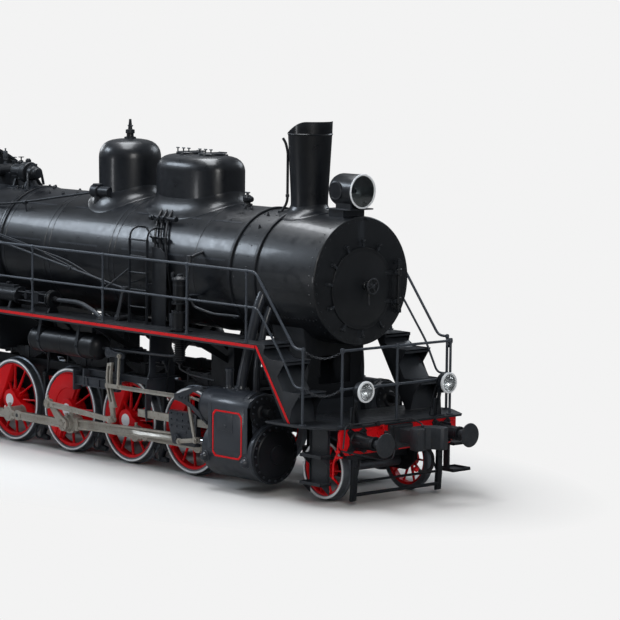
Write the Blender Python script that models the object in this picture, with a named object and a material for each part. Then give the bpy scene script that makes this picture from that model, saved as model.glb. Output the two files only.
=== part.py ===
# Steam locomotive with a leading truck, ten coupled wheels and outside cylinders.
# Metres, +Z up, +X forward, +Y to the locomotive's left. Lengths along X are measured from
# the main driving axle, and the whole model hangs under one empty that centres it.
import math

import bmesh
import bpy
from mathutils import Matrix, Vector

# Clearances
SEAT_GAP = 0.0003          # between pieces that touch
RUNNING_GAP = 0.005        # between pieces that pass each other
OVERLAP = 0.012            # how far shapes reach into each other before they are fused

# Running gear
AXLE_SPACING = 1.422
DRIVER_RADIUS = 0.66       # over the flange
DRIVER_TREAD = 0.632
DRIVER_TYRE_BORE = 0.565
DRIVER_HUB_RADIUS = 0.17
DRIVER_SPOKES = 12
DRIVER_RIM_DEPTH = 0.045   # rim of the wheel centre inside the tyre
SPOKE_WIDTH = 0.052
LEAD_AXLE_AHEAD = 2.819    # leading axle ahead of the first driving axle
LEAD_RADIUS = 0.448
LEAD_TREAD = 0.42
LEAD_TYRE_BORE = 0.362
LEAD_HUB_RADIUS = 0.12
LEAD_SPOKES = 10
LEAD_RIM_DEPTH = 0.036
TRUCK_PLATE_Y = 0.56
TRUCK_PLATE_THICK = 0.06
TRUCK_PIVOT_X = 4.45
TRUCK_PIVOT_Z = 0.5
TRUCK_PIN_RADIUS = 0.05
TYRE_INNER_Y = 0.72
TYRE_WIDTH = 0.14
FLANGE_WIDTH = 0.034
HUB_FACE_Y = 0.905
HUB_INNER_Y = 0.665
AXLE_RADIUS = 0.1
LEAD_AXLE_RADIUS = 0.075
CRANK_RADIUS = 0.3556
CRANK_PIN_RADIUS = 0.07
CRANK_BOSS_RADIUS = 0.135
CRANK_BOSS_PROUD = 0.025   # crank boss beyond the hub face
RIGHT_CRANK_ANGLE = math.radians(-27.0)
CRANK_QUARTER = math.radians(90.0)
WEIGHT_PROUD = 0.02        # counterweight beyond the tyre face
MAIN_WEIGHT_HALF_ANGLE = math.radians(88.0)
WEIGHT_HALF_ANGLE = math.radians(62.0)
WHEEL_SEGMENTS = 22
LEAD_SEGMENTS = 18
PIN_SEGMENTS = 8

# Rods
SIDE_ROD_THICK = 0.085
MAIN_ROD_THICK = 0.095
REAR_ROD_THICK = 0.075
ROD_HEIGHT = 0.13
ROD_EYE_RADIUS = 0.115
KNUCKLE_AHEAD = 0.23       # knuckle ahead of its crank pin
MAIN_ROD_LENGTH = 2.53
MAIN_EYE_RADIUS = 0.15
SMALL_EYE_RADIUS = 0.09
SMALL_EYE_THICK = 0.068
CROSSHEAD_PIN_RADIUS = 0.04
ECCENTRIC_RADIUS = 0.125
ECCENTRIC_LEAD = math.radians(118.0)
ECCENTRIC_ROD_LENGTH = 1.49
ECCENTRIC_CRANK_THICK = 0.045
ECCENTRIC_ROD_THICK = 0.04
LINK_PIN_RADIUS = 0.028

# Cylinders and valve gear
CYLINDER_Z = 0.585
CYLINDER_RADIUS = 0.4
CYLINDER_REAR_X = MAIN_ROD_LENGTH + 1.3
CYLINDER_LENGTH = 1.05
CYLINDER_FLANGE = 0.03     # flange beyond the barrel
CYLINDER_FLANGE_THICK = 0.06
GLAND_LENGTH = 0.1
PIPE_X = 4.35              # steam pipes beside the smokebox
VALVE_Y = 1.2
VALVE_Z = 1.17
VALVE_RADIUS = 0.25
VALVE_REAR_X = CYLINDER_REAR_X - 0.11
VALVE_LENGTH = 0.98
GUIDE_HEIGHT = 0.11
GUIDE_WIDTH = 0.06
GUIDE_ABOVE = 0.2          # guide bar above the cylinder's axis
GUIDE_REAR_X = 1.92
CROSSHEAD_LENGTH = 0.62
LINK_X = 1.42
LINK_Z = 1.2
LINK_FOOT_DROP = 0.5
LINK_FOOT_BACK = 0.02
LINK_HALF_HEIGHT = 0.33
UNION_LENGTH = 0.42
LEVER_TOP_X = MAIN_ROD_LENGTH + 0.67
LEVER_TOP_Z = 1.21
LEVER_LENGTH = 0.62
YOKE_X = 2.13              # plate that carries the guide bar
BEARER_X = 0.71            # plate that carries the expansion link
YOKE_LOW_Z = 1.12
YOKE_TOP_Z = 1.36
LINK_BEAM_Y = 1.115

# Frame
FRAME_Y = 0.49
FRAME_THICK = 0.09
FRAME_TOP_Z = 1.3
FRAME_WAIST_Z = 0.84
FRAME_LOW_Z = 0.46
FRAME_REAR_X = -5.3
BEAM_FRONT_X = 6.268
BEAM_THICK = 0.058
BEAM_HALF_WIDTH = 1.102
BEAM_TOP_Z = 1.08
BEAM_HEIGHT = 0.36
DRAWBAR_REAR_X = -5.62

# Boiler
BOILER_Z = 2.982
SMOKEBOX_RADIUS = 0.903
SMOKEBOX_FRONT_X = 5.471
SMOKEBOX_REAR_X = 3.72
SHELL_THICK = 0.03
DOOR_RADIUS = 0.575
DOOR_Z = 2.88
DOOR_HOLE_RADIUS = 0.53
DOOR_HINGE_Y = 0.64
HINGE_BAR_RADIUS = 0.024
BARREL_FRONT_RADIUS = 0.915
BARREL_REAR_RADIUS = 0.905
BARREL_REAR_X = -1.7
FIREBOX_REAR_X = -4.5
FIREBOX_HALF_WIDTH = 0.925
FIREBOX_LOW_Z = 1.42
BOILER_SEGMENTS = 28
GENERATOR_Y = -0.1
GENERATOR_UP = 0.2         # middle of the turret and generator above the firebox
TURRET_X = -2.66
WHISTLE_TOP_Z = 4.46

# Chimney, domes and lamps
CHIMNEY_X = 4.38
CHIMNEY_FOOT_RADIUS = 0.262
CHIMNEY_RIM_RADIUS = 0.315
CHIMNEY_RIM_Z = 4.98
CHIMNEY_TOP_Z = 5.165
CHIMNEY_WALL = 0.03
STEAM_DOME_X = 0.352
STEAM_DOME_RADIUS = 0.47
STEAM_DOME_TOP_Z = 4.765
SAND_DOME_X = 2.0
SAND_DOME_LENGTH = 1.5
SAND_DOME_WIDTH = 0.92
SAND_DOME_TOP_Z = 4.58
LID_RADIUS = 0.2
LID_SPACING = 0.5
HEADLAMP_RADIUS = 0.235
HEADLAMP_FRONT_X = 5.48
HEADLAMP_LENGTH = 0.46
HEADLAMP_Z = 4.23
SHELF_TOP_Z = 3.985
SHELF_FRONT_X = 5.46
SHELF_HALF = 0.25
SMALL_LAMP_RADIUS = 0.145
SMALL_LAMP_Y = 0.79
SMALL_LAMP_Z = 1.595
SMALL_LAMP_FRONT_X = 6.448

# Running boards, platform and rails
BOARD_TOP_Z = 2.14
BOARD_THICK = 0.03
BOARD_INNER_Y = 0.78
BOARD_OUTER_Y = 1.4
BOARD_FRONT_X = 4.84
VALANCE_HEIGHT = 0.09
VALANCE_THICK = 0.016
PLATFORM_TOP_Z = 1.112
PLATFORM_THICK = 0.03
PLATFORM_REAR_X = 5.12
PLATFORM_HALF_WIDTH = 1.45
PLATFORM_FRONT_HALF = 1.2
STEP_X = 6.1               # middle of the hanging steps
STEP_HALF = 0.16
STEP_BAR_HALF = 0.05
STEP_LOW_Z = 0.29
STEP_RISE = 0.38
STEP_Y = 1.08
STEP_DEPTH = 0.34
GUARD_LOW_Z = 0.06
STAIR_FOOT_X = 5.52
STAIR_INNER_Y = 0.9
STAIR_TREAD_ZS = (1.94, 1.53)
RAIL_RADIUS = 0.018
POST_HALF = 0.021
CHAIN_SAG = 0.09
RAIL_TOP_Z = 3.137
RAIL_MID_Z = 2.64
RAIL_Y = 1.385
FRONT_RAIL_Z = 2.149
FRONT_RAIL_MID_Z = 1.62
FRONT_RAIL_X = 6.211
FRONT_RAIL_Y = 1.03
POST_A_X = 5.797
BUFFER_Y = 0.804
BUFFER_Z = 0.908
BUFFER_FACE_X = 6.864
BUFFER_HEAD_RADIUS = 0.17
COUPLER_FRONT_X = 7.0
COUPLER_Z = 0.93

# Air pump and air reservoirs
PUMP_X = 3.01
PUMP_Y = 1.2
PUMP_RADIUS = 0.165
PUMP_LOW_Z = 1.68
RESERVOIR_X = 0.3
RESERVOIR_LENGTH = 1.7
RESERVOIR_Y = 1.12
RESERVOIR_Z = 1.72
RESERVOIR_RADIUS = 0.19

# Cab
CAB_FRONT_X = -3.98
CAB_REAR_X = -5.45
CAB_HALF_WIDTH = 1.5
CAB_WALL = 0.04
CAB_FLOOR_Z = 1.66
CAB_FLOOR_THICK = 0.05
CAB_EAVES_Z = 3.72
CAB_ROOF_TOP_Z = 4.5
CAB_ROOF_THICK = 0.035
CAB_ROOF_OVERHANG = 0.15
CAB_SIDE_LOW_Z = 1.52
WINDOW_LOW_Z = 2.75
WINDOW_TOP_Z = 3.45
WINDOW_LENGTH = 0.55
WINDOW_FRONTS = (0.15, 0.8)   # front edge of each side window behind the cab's front
CAB_DOOR_INNER_Y = CAB_HALF_WIDTH - 0.44
CAB_DOOR_WIDTH = 0.29
CAB_DOOR_LOW_Z = 2.17
CAB_DOOR_HEIGHT = 1.5

# Derived places
MIDDLE_X = (COUPLER_FRONT_X + DRAWBAR_REAR_X) / 2
DRIVER_XS = [AXLE_SPACING * step for step in (2, 1, 0, -1, -2)]
LEAD_X = DRIVER_XS[0] + LEAD_AXLE_AHEAD
DRIVER_Z = DRIVER_RADIUS
LEAD_Z = LEAD_RADIUS
TYRE_FACE_Y = TYRE_INNER_Y + TYRE_WIDTH
BOSS_FACE_Y = HUB_FACE_Y + CRANK_BOSS_PROUD
SIDE_ROD_Y = BOSS_FACE_Y + RUNNING_GAP
SIDE_ROD_OUT_Y = SIDE_ROD_Y + SIDE_ROD_THICK
MAIN_ROD_Y = SIDE_ROD_OUT_Y + RUNNING_GAP
MAIN_ROD_OUT_Y = MAIN_ROD_Y + MAIN_ROD_THICK
REAR_ROD_Y = MAIN_ROD_OUT_Y + RUNNING_GAP
REAR_ROD_OUT_Y = REAR_ROD_Y + REAR_ROD_THICK
RETURN_CRANK_Y = REAR_ROD_OUT_Y + RUNNING_GAP
RETURN_CRANK_OUT_Y = RETURN_CRANK_Y + ECCENTRIC_CRANK_THICK
ECCENTRIC_ROD_Y = RETURN_CRANK_OUT_Y + RUNNING_GAP
ECCENTRIC_ROD_OUT_Y = ECCENTRIC_ROD_Y + ECCENTRIC_ROD_THICK
CYLINDER_Y = MAIN_ROD_Y + MAIN_ROD_THICK / 2
CYLINDER_FRONT_X = CYLINDER_REAR_X + CYLINDER_LENGTH
GUIDE_LOW_Z = CYLINDER_Z + GUIDE_ABOVE
FRAME_OUT_Y = FRAME_Y + FRAME_THICK
BEAM_REAR_X = BEAM_FRONT_X - BEAM_THICK
UNION_Y = 2 * CYLINDER_Y - MAIN_ROD_Y - 0.002 + 0.03 + SEAT_GAP
BOARD_LOW_Z = BOARD_TOP_Z - BOARD_THICK
CRANK_ANGLES = {-1: RIGHT_CRANK_ANGLE, 1: RIGHT_CRANK_ANGLE + CRANK_QUARTER}
SIDES = ((-1, "right"), (1, "left"))
BARREL_FRONT_X = SMOKEBOX_REAR_X - SEAT_GAP
FIREBOX_FRONT_X = BARREL_REAR_X - SEAT_GAP

# Colour, roughness and metallic value of each finish
FINISHES = {
    "black_paint": ((0.018, 0.021, 0.027, 1.0), 0.32, 0.0),
    "red_paint": ((0.62, 0.006, 0.012, 1.0), 0.35, 0.0),
    "bare_steel": ((0.33, 0.31, 0.27, 1.0), 0.42, 0.9),
    "dark_steel": ((0.045, 0.048, 0.055, 1.0), 0.45, 0.6),
}


def clear_scene():
    for obj in list(bpy.data.objects):
        bpy.data.objects.remove(obj, do_unlink=True)


def make_collection(name):
    found = bpy.data.collections.new(name)
    bpy.context.scene.collection.children.link(found)
    return found


clear_scene()
LOCOMOTIVE = make_collection("steam_locomotive")
TOOLS = make_collection("cutters")
ORIGIN = bpy.data.objects.new("main_axle_origin", None)
ORIGIN.location = (-MIDDLE_X, 0.0, 0.0)
LOCOMOTIVE.objects.link(ORIGIN)


def finish_material(name, finish):
    colour, roughness, metallic = FINISHES[finish]
    made = bpy.data.materials.new(name + "_" + finish)
    made.use_nodes = True
    shader = made.node_tree.nodes["Principled BSDF"]
    shader.inputs["Base Color"].default_value = colour
    shader.inputs["Roughness"].default_value = roughness
    shader.inputs["Metallic"].default_value = metallic
    made.diffuse_color = colour
    return made


# Shapes that are fused or cut later. Each returns an object in the tools collection.
def tool_object(mesh):
    shape = bpy.data.objects.new("shape", mesh)
    shape.hide_render = True
    shape.display_type = "WIRE"
    TOOLS.objects.link(shape)
    return shape


def shape_from(work):
    bmesh.ops.recalc_face_normals(work, faces=work.faces[:])
    mesh = bpy.data.meshes.new("shape")
    work.to_mesh(mesh)
    work.free()
    return tool_object(mesh)


def box(xs, ys, zs):
    spans = [sorted(pair) for pair in (xs, ys, zs)]
    work = bmesh.new()
    bmesh.ops.create_cube(work, size=1.0)
    for point in work.verts:
        for axis, (low, high) in enumerate(spans):
            point.co[axis] = low if point.co[axis] < 0 else high
    return shape_from(work)


def cone(start, end, start_radius, end_radius, segments=PIN_SEGMENTS, turn=0.0):
    start = Vector(start)
    end = Vector(end)
    along = end - start
    work = bmesh.new()
    bmesh.ops.create_cone(work, cap_ends=True, segments=segments, radius1=start_radius,
                          radius2=end_radius, depth=along.length)
    aim = along.to_track_quat("Z", "Y").to_matrix().to_4x4()
    spin = Matrix.Rotation(turn, 4, "Z")
    bmesh.ops.transform(work, verts=work.verts, matrix=Matrix.Translation((start + end) / 2) @ aim @ spin)
    return shape_from(work)


def rod(start, end, radius, segments=PIN_SEGMENTS, turn=0.0):
    return cone(start, end, radius, radius, segments, turn)


def turned(profile, centre, axis, segments, turn=0.0):
    """A profile of (distance along the axis, radius) turned round the axis; closed unless its
    ends lie on the axis."""
    work = bmesh.new()
    ring = [work.verts.new((radius, 0.0, along)) for along, radius in profile]
    edges = [work.edges.new(pair) for pair in zip(ring, ring[1:])]
    if profile[0][1] > 0:
        edges.append(work.edges.new((ring[-1], ring[0])))
    bmesh.ops.spin(work, geom=ring + edges, cent=(0, 0, 0), axis=(0, 0, 1),
                   angle=2 * math.pi, steps=segments, use_merge=True, use_duplicate=False)
    bmesh.ops.remove_doubles(work, verts=work.verts, dist=0.00005)
    aim = {"X": Matrix.Rotation(math.pi / 2, 4, "Y"), "Y": Matrix.Rotation(-math.pi / 2, 4, "X"),
           "Z": Matrix.Identity(4)}[axis]
    spin = Matrix.Rotation(turn, 4, "Z")
    bmesh.ops.transform(work, verts=work.verts, matrix=Matrix.Translation(centre) @ aim @ spin)
    return shape_from(work)


# Where a flat outline's own two directions go, by the direction of its thickness
PLATE_TURNS = {
    "Z": Matrix.Identity(4),
    "Y": Matrix.Rotation(math.pi / 2, 4, "X"),
    "X": Matrix.Rotation(math.pi / 2, 4, "Z") @ Matrix.Rotation(math.pi / 2, 4, "X"),
}


def plate(outlines, through, low, high):
    """A flat piece from closed outlines, the first its edge and the others its holes. The
    outline's two numbers are (x, z) for a plate across Y, (y, z) across X and (x, y) across Z."""
    low, high = sorted((low, high))
    flat = bpy.data.curves.new("outline", "CURVE")
    flat.dimensions = "2D"
    flat.fill_mode = "BOTH"
    flat.extrude = (high - low) / 2
    for outline in outlines:
        spline = flat.splines.new("POLY")
        spline.points.add(len(outline) - 1)
        for point, (first, second) in zip(spline.points, outline):
            point.co = (first, second, 0.0, 1.0)
        spline.use_cyclic_u = True
    return mesh_of_curve(flat, PLATE_TURNS[through], through, (low + high) / 2)


def mesh_of_curve(curve, turn, through=None, middle=0.0):
    holder = bpy.data.objects.new("outline", curve)
    TOOLS.objects.link(holder)
    bpy.context.view_layer.update()
    evaluated = holder.evaluated_get(bpy.context.evaluated_depsgraph_get())
    mesh = bpy.data.meshes.new_from_object(evaluated)
    work = bmesh.new()
    work.from_mesh(mesh)
    bmesh.ops.remove_doubles(work, verts=work.verts, dist=0.00005)
    shift = Vector((0, 0, 0))
    if through:
        shift["XYZ".index(through)] = middle
    bmesh.ops.transform(work, verts=work.verts, matrix=Matrix.Translation(shift) @ turn)
    bpy.data.objects.remove(holder)
    bpy.data.meshes.remove(mesh)
    return shape_from(work)


def tube(points, radius, sides=4, closed=False):
    """A round bar or pipe along straight runs between points."""
    line = bpy.data.curves.new("line", "CURVE")
    line.dimensions = "3D"
    line.bevel_depth = radius
    line.bevel_resolution = (sides - 4) // 2
    line.use_fill_caps = not closed
    spline = line.splines.new("POLY")
    spline.points.add(len(points) - 1)
    for point, place in zip(spline.points, points):
        point.co = (*place, 1.0)
    spline.use_cyclic_u = closed
    return mesh_of_curve(line, Matrix.Identity(4))


def arc(centre, radius, start, end, steps):
    """Points round part of a circle, from one angle in degrees to another, both kept."""
    turn = math.radians(end - start) / steps
    first = math.radians(start)
    return [(centre[0] + radius * math.cos(first + turn * step),
             centre[1] + radius * math.sin(first + turn * step)) for step in range(steps + 1)]


def circle(centre, radius, segments, turn=0.0):
    return arc(centre, radius, turn, turn + 360.0 * (segments - 1) / segments, segments - 1)


def bore(centre, radius, segments=PIN_SEGMENTS):
    """A round hole whose flats lie on the radius, so a pin of that radius turns inside it."""
    return circle(centre, radius / math.cos(math.pi / segments), segments, 180.0 / segments)


def eye_bar(start, end, start_radius, end_radius, start_height, end_height, steps=8):
    """Outline of a bar with a round eye at each end."""
    heading = math.degrees(math.atan2(end[1] - start[1], end[0] - start[0]))
    start_open = math.degrees(math.asin(start_height / 2 / start_radius))
    end_open = math.degrees(math.asin(end_height / 2 / end_radius))
    return (arc(start, start_radius, heading + start_open, heading + 360 - start_open, steps)
            + arc(end, end_radius, heading - 180 + end_open, heading + 180 - end_open, steps))


def polar(centre, radius, angle):
    return (centre[0] + radius * math.cos(angle), centre[1] + radius * math.sin(angle))


def meet(first, first_radius, second, second_radius, upper):
    """Where two circles cross: the pin that joins two links."""
    gap = math.dist(first, second)
    along = (first_radius ** 2 - second_radius ** 2 + gap ** 2) / (2 * gap)
    aside = math.sqrt(first_radius ** 2 - along ** 2)
    unit = ((second[0] - first[0]) / gap, (second[1] - first[1]) / gap)
    crossings = [(first[0] + along * unit[0] - sign * aside * unit[1],
                  first[1] + along * unit[1] + sign * aside * unit[0]) for sign in (-1, 1)]
    return max(crossings, key=lambda place: place[1]) if upper else min(crossings,
            key=lambda place: place[1])


def fuse(name, finish, shapes, cuts=(), smooth=35.0):
    """Join shapes into one piece, cut others out of it, and name it."""
    body = shapes[0]
    TOOLS.objects.unlink(body)
    LOCOMOTIVE.objects.link(body)
    for kind, others in (("UNION", shapes[1:]), ("DIFFERENCE", cuts)):
        if not others:
            continue
        group = bpy.data.collections.new("operands")
        bpy.context.scene.collection.children.link(group)
        for other in others:
            TOOLS.objects.unlink(other)
            group.objects.link(other)
        step = body.modifiers.new(kind.lower(), "BOOLEAN")
        step.operation = kind
        step.operand_type = "COLLECTION"
        step.collection = group
        step.solver = "EXACT"
        bpy.context.view_layer.update()
        evaluated = body.evaluated_get(bpy.context.evaluated_depsgraph_get())
        mesh = bpy.data.meshes.new_from_object(evaluated)
        body.modifiers.clear()
        body.data = mesh
        for other in list(group.objects):
            bpy.data.objects.remove(other)
        bpy.data.collections.remove(group)
    work = bmesh.new()
    work.from_mesh(body.data)
    bmesh.ops.remove_doubles(work, verts=work.verts, dist=0.00002)
    bmesh.ops.dissolve_degenerate(work, edges=work.edges, dist=0.00002)
    bmesh.ops.dissolve_limit(work, angle_limit=math.radians(0.2), verts=work.verts, edges=work.edges)
    work.to_mesh(body.data)
    work.free()
    body.name = name
    body.data.name = name
    body.hide_render = False
    body.display_type = "TEXTURED"
    body.data.materials.clear()
    body.data.materials.append(finish_material(name, finish))
    body.data.shade_smooth()
    body.data.set_sharp_from_angle(angle=math.radians(smooth))
    body.parent = ORIGIN
    return body


def turn_on(body, name, place):
    """Hang a moving piece under an empty that stands on its joint's axis."""
    pivot = bpy.data.objects.new(name, None)
    pivot.location = place
    pivot.parent = ORIGIN
    LOCOMOTIVE.objects.link(pivot)
    body.data.transform(Matrix.Translation(-Vector(place)))
    body.parent = pivot
    return pivot


def smokebox_skin():
    """The smokebox's outside, grown by the seat gap, to cut what stands against it."""
    radius = SMOKEBOX_RADIUS + SEAT_GAP / math.cos(math.pi / BOILER_SEGMENTS)
    profile = [(SMOKEBOX_REAR_X - 0.3, 0.0), (SMOKEBOX_REAR_X - 0.3, radius),
               (SMOKEBOX_FRONT_X + 0.5, radius),
               (SMOKEBOX_FRONT_X + 0.5, 0.0)]
    return turned(profile, (0, 0, BOILER_Z), "X", BOILER_SEGMENTS, math.pi / BOILER_SEGMENTS)


# Wheels
def wheel_shapes(side, axle_x, axle_z, size, crank_angle=None, weight_half=0.0, boss_out=None,
                 pin_out=None):
    """One wheel's tyre, spoked centre and hub, with its crank boss, pin and counterweight."""
    centre = (axle_x, 0.0, axle_z)
    segments = size["segments"]
    flat_turn = math.pi / segments - math.pi / 2
    grow = 1 / math.cos(math.pi / segments)
    flange = size["flange"] * grow
    tread = size["tread"] * grow
    inner = TYRE_INNER_Y
    face = TYRE_FACE_Y
    profile = [(inner, size["bore"]), (inner, flange), (inner + FLANGE_WIDTH, tread), (face, tread),
               (face, size["bore"])]
    shapes = [turned([(side * along, radius) for along, radius in profile], centre, "Y", segments,
                     flat_turn)]
    plate_in = TYRE_INNER_Y
    plate_out = face
    rim = size["bore"] + OVERLAP
    window_out = size["bore"] - size["rim"]
    window_in = size["hub"] + 0.015
    pitch = 2 * math.pi / size["spokes"]
    first = (crank_angle or 0.0) + pitch / 2
    outlines = [circle((axle_x, axle_z), rim, segments, 180.0 / segments)]
    for index in range(size["spokes"]):
        middle = first + pitch * index
        if crank_angle is not None:
            from_crank = abs((middle - crank_angle + math.pi) % (2 * math.pi) - math.pi)
            if from_crank < pitch * 0.6 or from_crank > math.pi - weight_half * 0.8:
                continue
        window = []
        for radius, sign in ((window_in, -1), (window_out, -1), (window_out, 1), (window_in, 1)):
            half = pitch / 2 - SPOKE_WIDTH / 2 / radius
            window.append(polar((axle_x, axle_z), radius, middle + sign * half))
        outlines.append(window)
    shapes.append(plate(outlines, "Y", side * plate_in, side * plate_out))
    shapes.append(rod((axle_x, side * HUB_INNER_Y, axle_z), (axle_x, side * HUB_FACE_Y, axle_z),
                      size["hub"], 12))
    if crank_angle is None:
        return shapes
    pin = polar((axle_x, axle_z), CRANK_RADIUS, crank_angle)
    boss = eye_bar((axle_x, axle_z), pin, size["hub"] * 0.97, CRANK_BOSS_RADIUS, size["hub"] * 1.6,
                   CRANK_BOSS_RADIUS * 1.6, 5)
    middle_y = (plate_in + plate_out) / 2
    shapes.append(plate([boss], "Y", side * middle_y, side * BOSS_FACE_Y))
    if boss_out > BOSS_FACE_Y:
        shapes.append(rod((pin[0], side * (BOSS_FACE_Y - OVERLAP), pin[1]),
                          (pin[0], side * boss_out, pin[1]),
                          CRANK_BOSS_RADIUS * 0.8, 10))
    shapes.append(rod((pin[0], side * (boss_out - OVERLAP), pin[1]), (pin[0], side * pin_out, pin[1]),
                      CRANK_PIN_RADIUS, PIN_SEGMENTS))
    opposite = math.degrees(crank_angle) + 180.0
    half = math.degrees(weight_half)
    weight = arc((axle_x, axle_z), size["bore"] - 0.01, opposite - half, opposite + half, 8)
    shapes.append(plate([weight], "Y", side * middle_y, side * (face + WEIGHT_PROUD)))
    return shapes


DRIVER = {"flange": DRIVER_RADIUS, "tread": DRIVER_TREAD, "bore": DRIVER_TYRE_BORE, "rim": DRIVER_RIM_DEPTH,
          "hub": DRIVER_HUB_RADIUS, "spokes": DRIVER_SPOKES, "segments": WHEEL_SEGMENTS}
LEADER = {"flange": LEAD_RADIUS, "tread": LEAD_TREAD, "bore": LEAD_TYRE_BORE, "rim": LEAD_RIM_DEPTH,
          "hub": LEAD_HUB_RADIUS, "spokes": LEAD_SPOKES, "segments": LEAD_SEGMENTS}


def make_driving_wheels():
    """Five coupled wheelsets. The front two carry short pins, the rear two long ones that reach
    the outer rods, and the main pin ends short of the main rod, where the linkage is opened."""
    short_out = SIDE_ROD_OUT_Y + RUNNING_GAP / 2
    long_out = REAR_ROD_OUT_Y + RUNNING_GAP
    # axle x, crank boss face, crank pin end, counterweight half angle
    table = [(DRIVER_XS[0], BOSS_FACE_Y, short_out, WEIGHT_HALF_ANGLE),
             (DRIVER_XS[1], BOSS_FACE_Y, short_out, WEIGHT_HALF_ANGLE),
             (DRIVER_XS[2], BOSS_FACE_Y, short_out, MAIN_WEIGHT_HALF_ANGLE),
             (DRIVER_XS[3], REAR_ROD_Y - RUNNING_GAP, long_out, WEIGHT_HALF_ANGLE),
             (DRIVER_XS[4], REAR_ROD_Y - RUNNING_GAP, long_out, WEIGHT_HALF_ANGLE)]
    for number, (axle_x, boss_out, pin_out, weight_half) in enumerate(table, start=1):
        shapes = [rod((axle_x, -HUB_INNER_Y - OVERLAP, DRIVER_Z), (axle_x, HUB_INNER_Y + OVERLAP, DRIVER_Z),
                      AXLE_RADIUS, 12)]
        for side, _ in SIDES:
            shapes += wheel_shapes(side, axle_x, DRIVER_Z, DRIVER, CRANK_ANGLES[side], weight_half,
                                   boss_out, pin_out)
        body = fuse(f"driving_wheels_{number}", "red_paint", shapes)
        turn_on(body, f"driving_axle_{number}", (axle_x, 0.0, DRIVER_Z))


def make_leading_truck():
    shapes = [rod((LEAD_X, -HUB_INNER_Y - OVERLAP, LEAD_Z), (LEAD_X, HUB_INNER_Y + OVERLAP, LEAD_Z),
                  LEAD_AXLE_RADIUS, 16)]
    for side, _ in SIDES:
        shapes += wheel_shapes(side, LEAD_X, LEAD_Z, LEADER)
    body = fuse("leading_wheels", "red_paint", shapes)
    turn_on(body, "leading_axle", (LEAD_X, 0.0, LEAD_Z))

    low = LEAD_Z - 0.12
    top = LEAD_Z + 0.2
    shapes = []
    for side, _ in SIDES:
        outline = [(LEAD_X - 0.42, LEAD_Z + 0.04), (LEAD_X - 0.16, low), (LEAD_X + 0.16, low),
                   (LEAD_X + 0.34, LEAD_Z + 0.04), (LEAD_X + 0.34, top), (LEAD_X - 0.42, top)]
        shapes.append(plate([outline, bore((LEAD_X, LEAD_Z), LEAD_AXLE_RADIUS + SEAT_GAP, 12)], "Y",
                            side * TRUCK_PLATE_Y, side * (TRUCK_PLATE_Y + TRUCK_PLATE_THICK)))
        shapes.append(tube([(TRUCK_PIVOT_X, 0, TRUCK_PIVOT_Z), (LEAD_X - 0.3, side * TRUCK_PLATE_Y * 0.9,
                                                               LEAD_Z + 0.1),
                            (LEAD_X - 0.3, side * (TRUCK_PLATE_Y + 0.02), LEAD_Z + 0.1)], 0.035, 6))
    shapes.append(box((LEAD_X - 0.2, LEAD_X + 0.2), (-TRUCK_PLATE_Y - OVERLAP, TRUCK_PLATE_Y + OVERLAP),
                      (LEAD_Z + 0.1, top)))
    shapes.append(rod((TRUCK_PIVOT_X, 0, TRUCK_PIVOT_Z - 0.05), (TRUCK_PIVOT_X, 0, TRUCK_PIVOT_Z + 0.05),
                      0.11, 12))
    shapes.append(turned([(top - OVERLAP, 0.0), (top - OVERLAP, 0.2), (top + 0.06, 0.16),
                          (top + 0.06, 0.0)],
                         (LEAD_X, 0, 0), "Z", 12))
    hole = plate([bore((TRUCK_PIVOT_X, 0), TRUCK_PIN_RADIUS + SEAT_GAP, 12)], "Z", TRUCK_PIVOT_Z - 0.1,
                 TRUCK_PIVOT_Z + 0.1)
    body = fuse("leading_truck", "black_paint", shapes, [hole])
    turn_on(body, "truck_pivot", (TRUCK_PIVOT_X, 0.0, TRUCK_PIVOT_Z))


# Rods
def crank_pin(side, axle_x):
    return polar((axle_x, DRIVER_Z), CRANK_RADIUS, CRANK_ANGLES[side])


def rod_outline(eyes, height):
    """Outline of a level rod through eyes of (x, z, radius), in order along X."""
    level = eyes[0][1]
    opening = [math.degrees(math.asin(height / 2 / radius)) for _, _, radius in eyes]
    line = arc((eyes[0][0], level), eyes[0][2], 360 - opening[0], opening[0], 7)
    for (x, _, radius), start in zip(eyes[1:-1], opening[1:-1]):
        line += arc((x, level), radius, 180 - start, start, 4)
    last = eyes[-1]
    line += arc((last[0], level), last[2], 180 - opening[-1], opening[-1] - 180, 7)
    for (x, _, radius), start in reversed(list(zip(eyes[1:-1], opening[1:-1]))):
        line += arc((x, level), radius, -start, start - 180, 4)
    return line


def side_rod(side, pins, knuckle_x, bored, inner, outer):
    eyes = [(x, z, ROD_EYE_RADIUS) for x, z in pins] + [(knuckle_x, pins[0][1], ROD_HEIGHT * 0.62)]
    holes = [bore(pin, CRANK_PIN_RADIUS + SEAT_GAP, PIN_SEGMENTS) for pin in bored]
    return plate([rod_outline(sorted(eyes), ROD_HEIGHT)] + holes, "Y", side * inner, side * outer)


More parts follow.
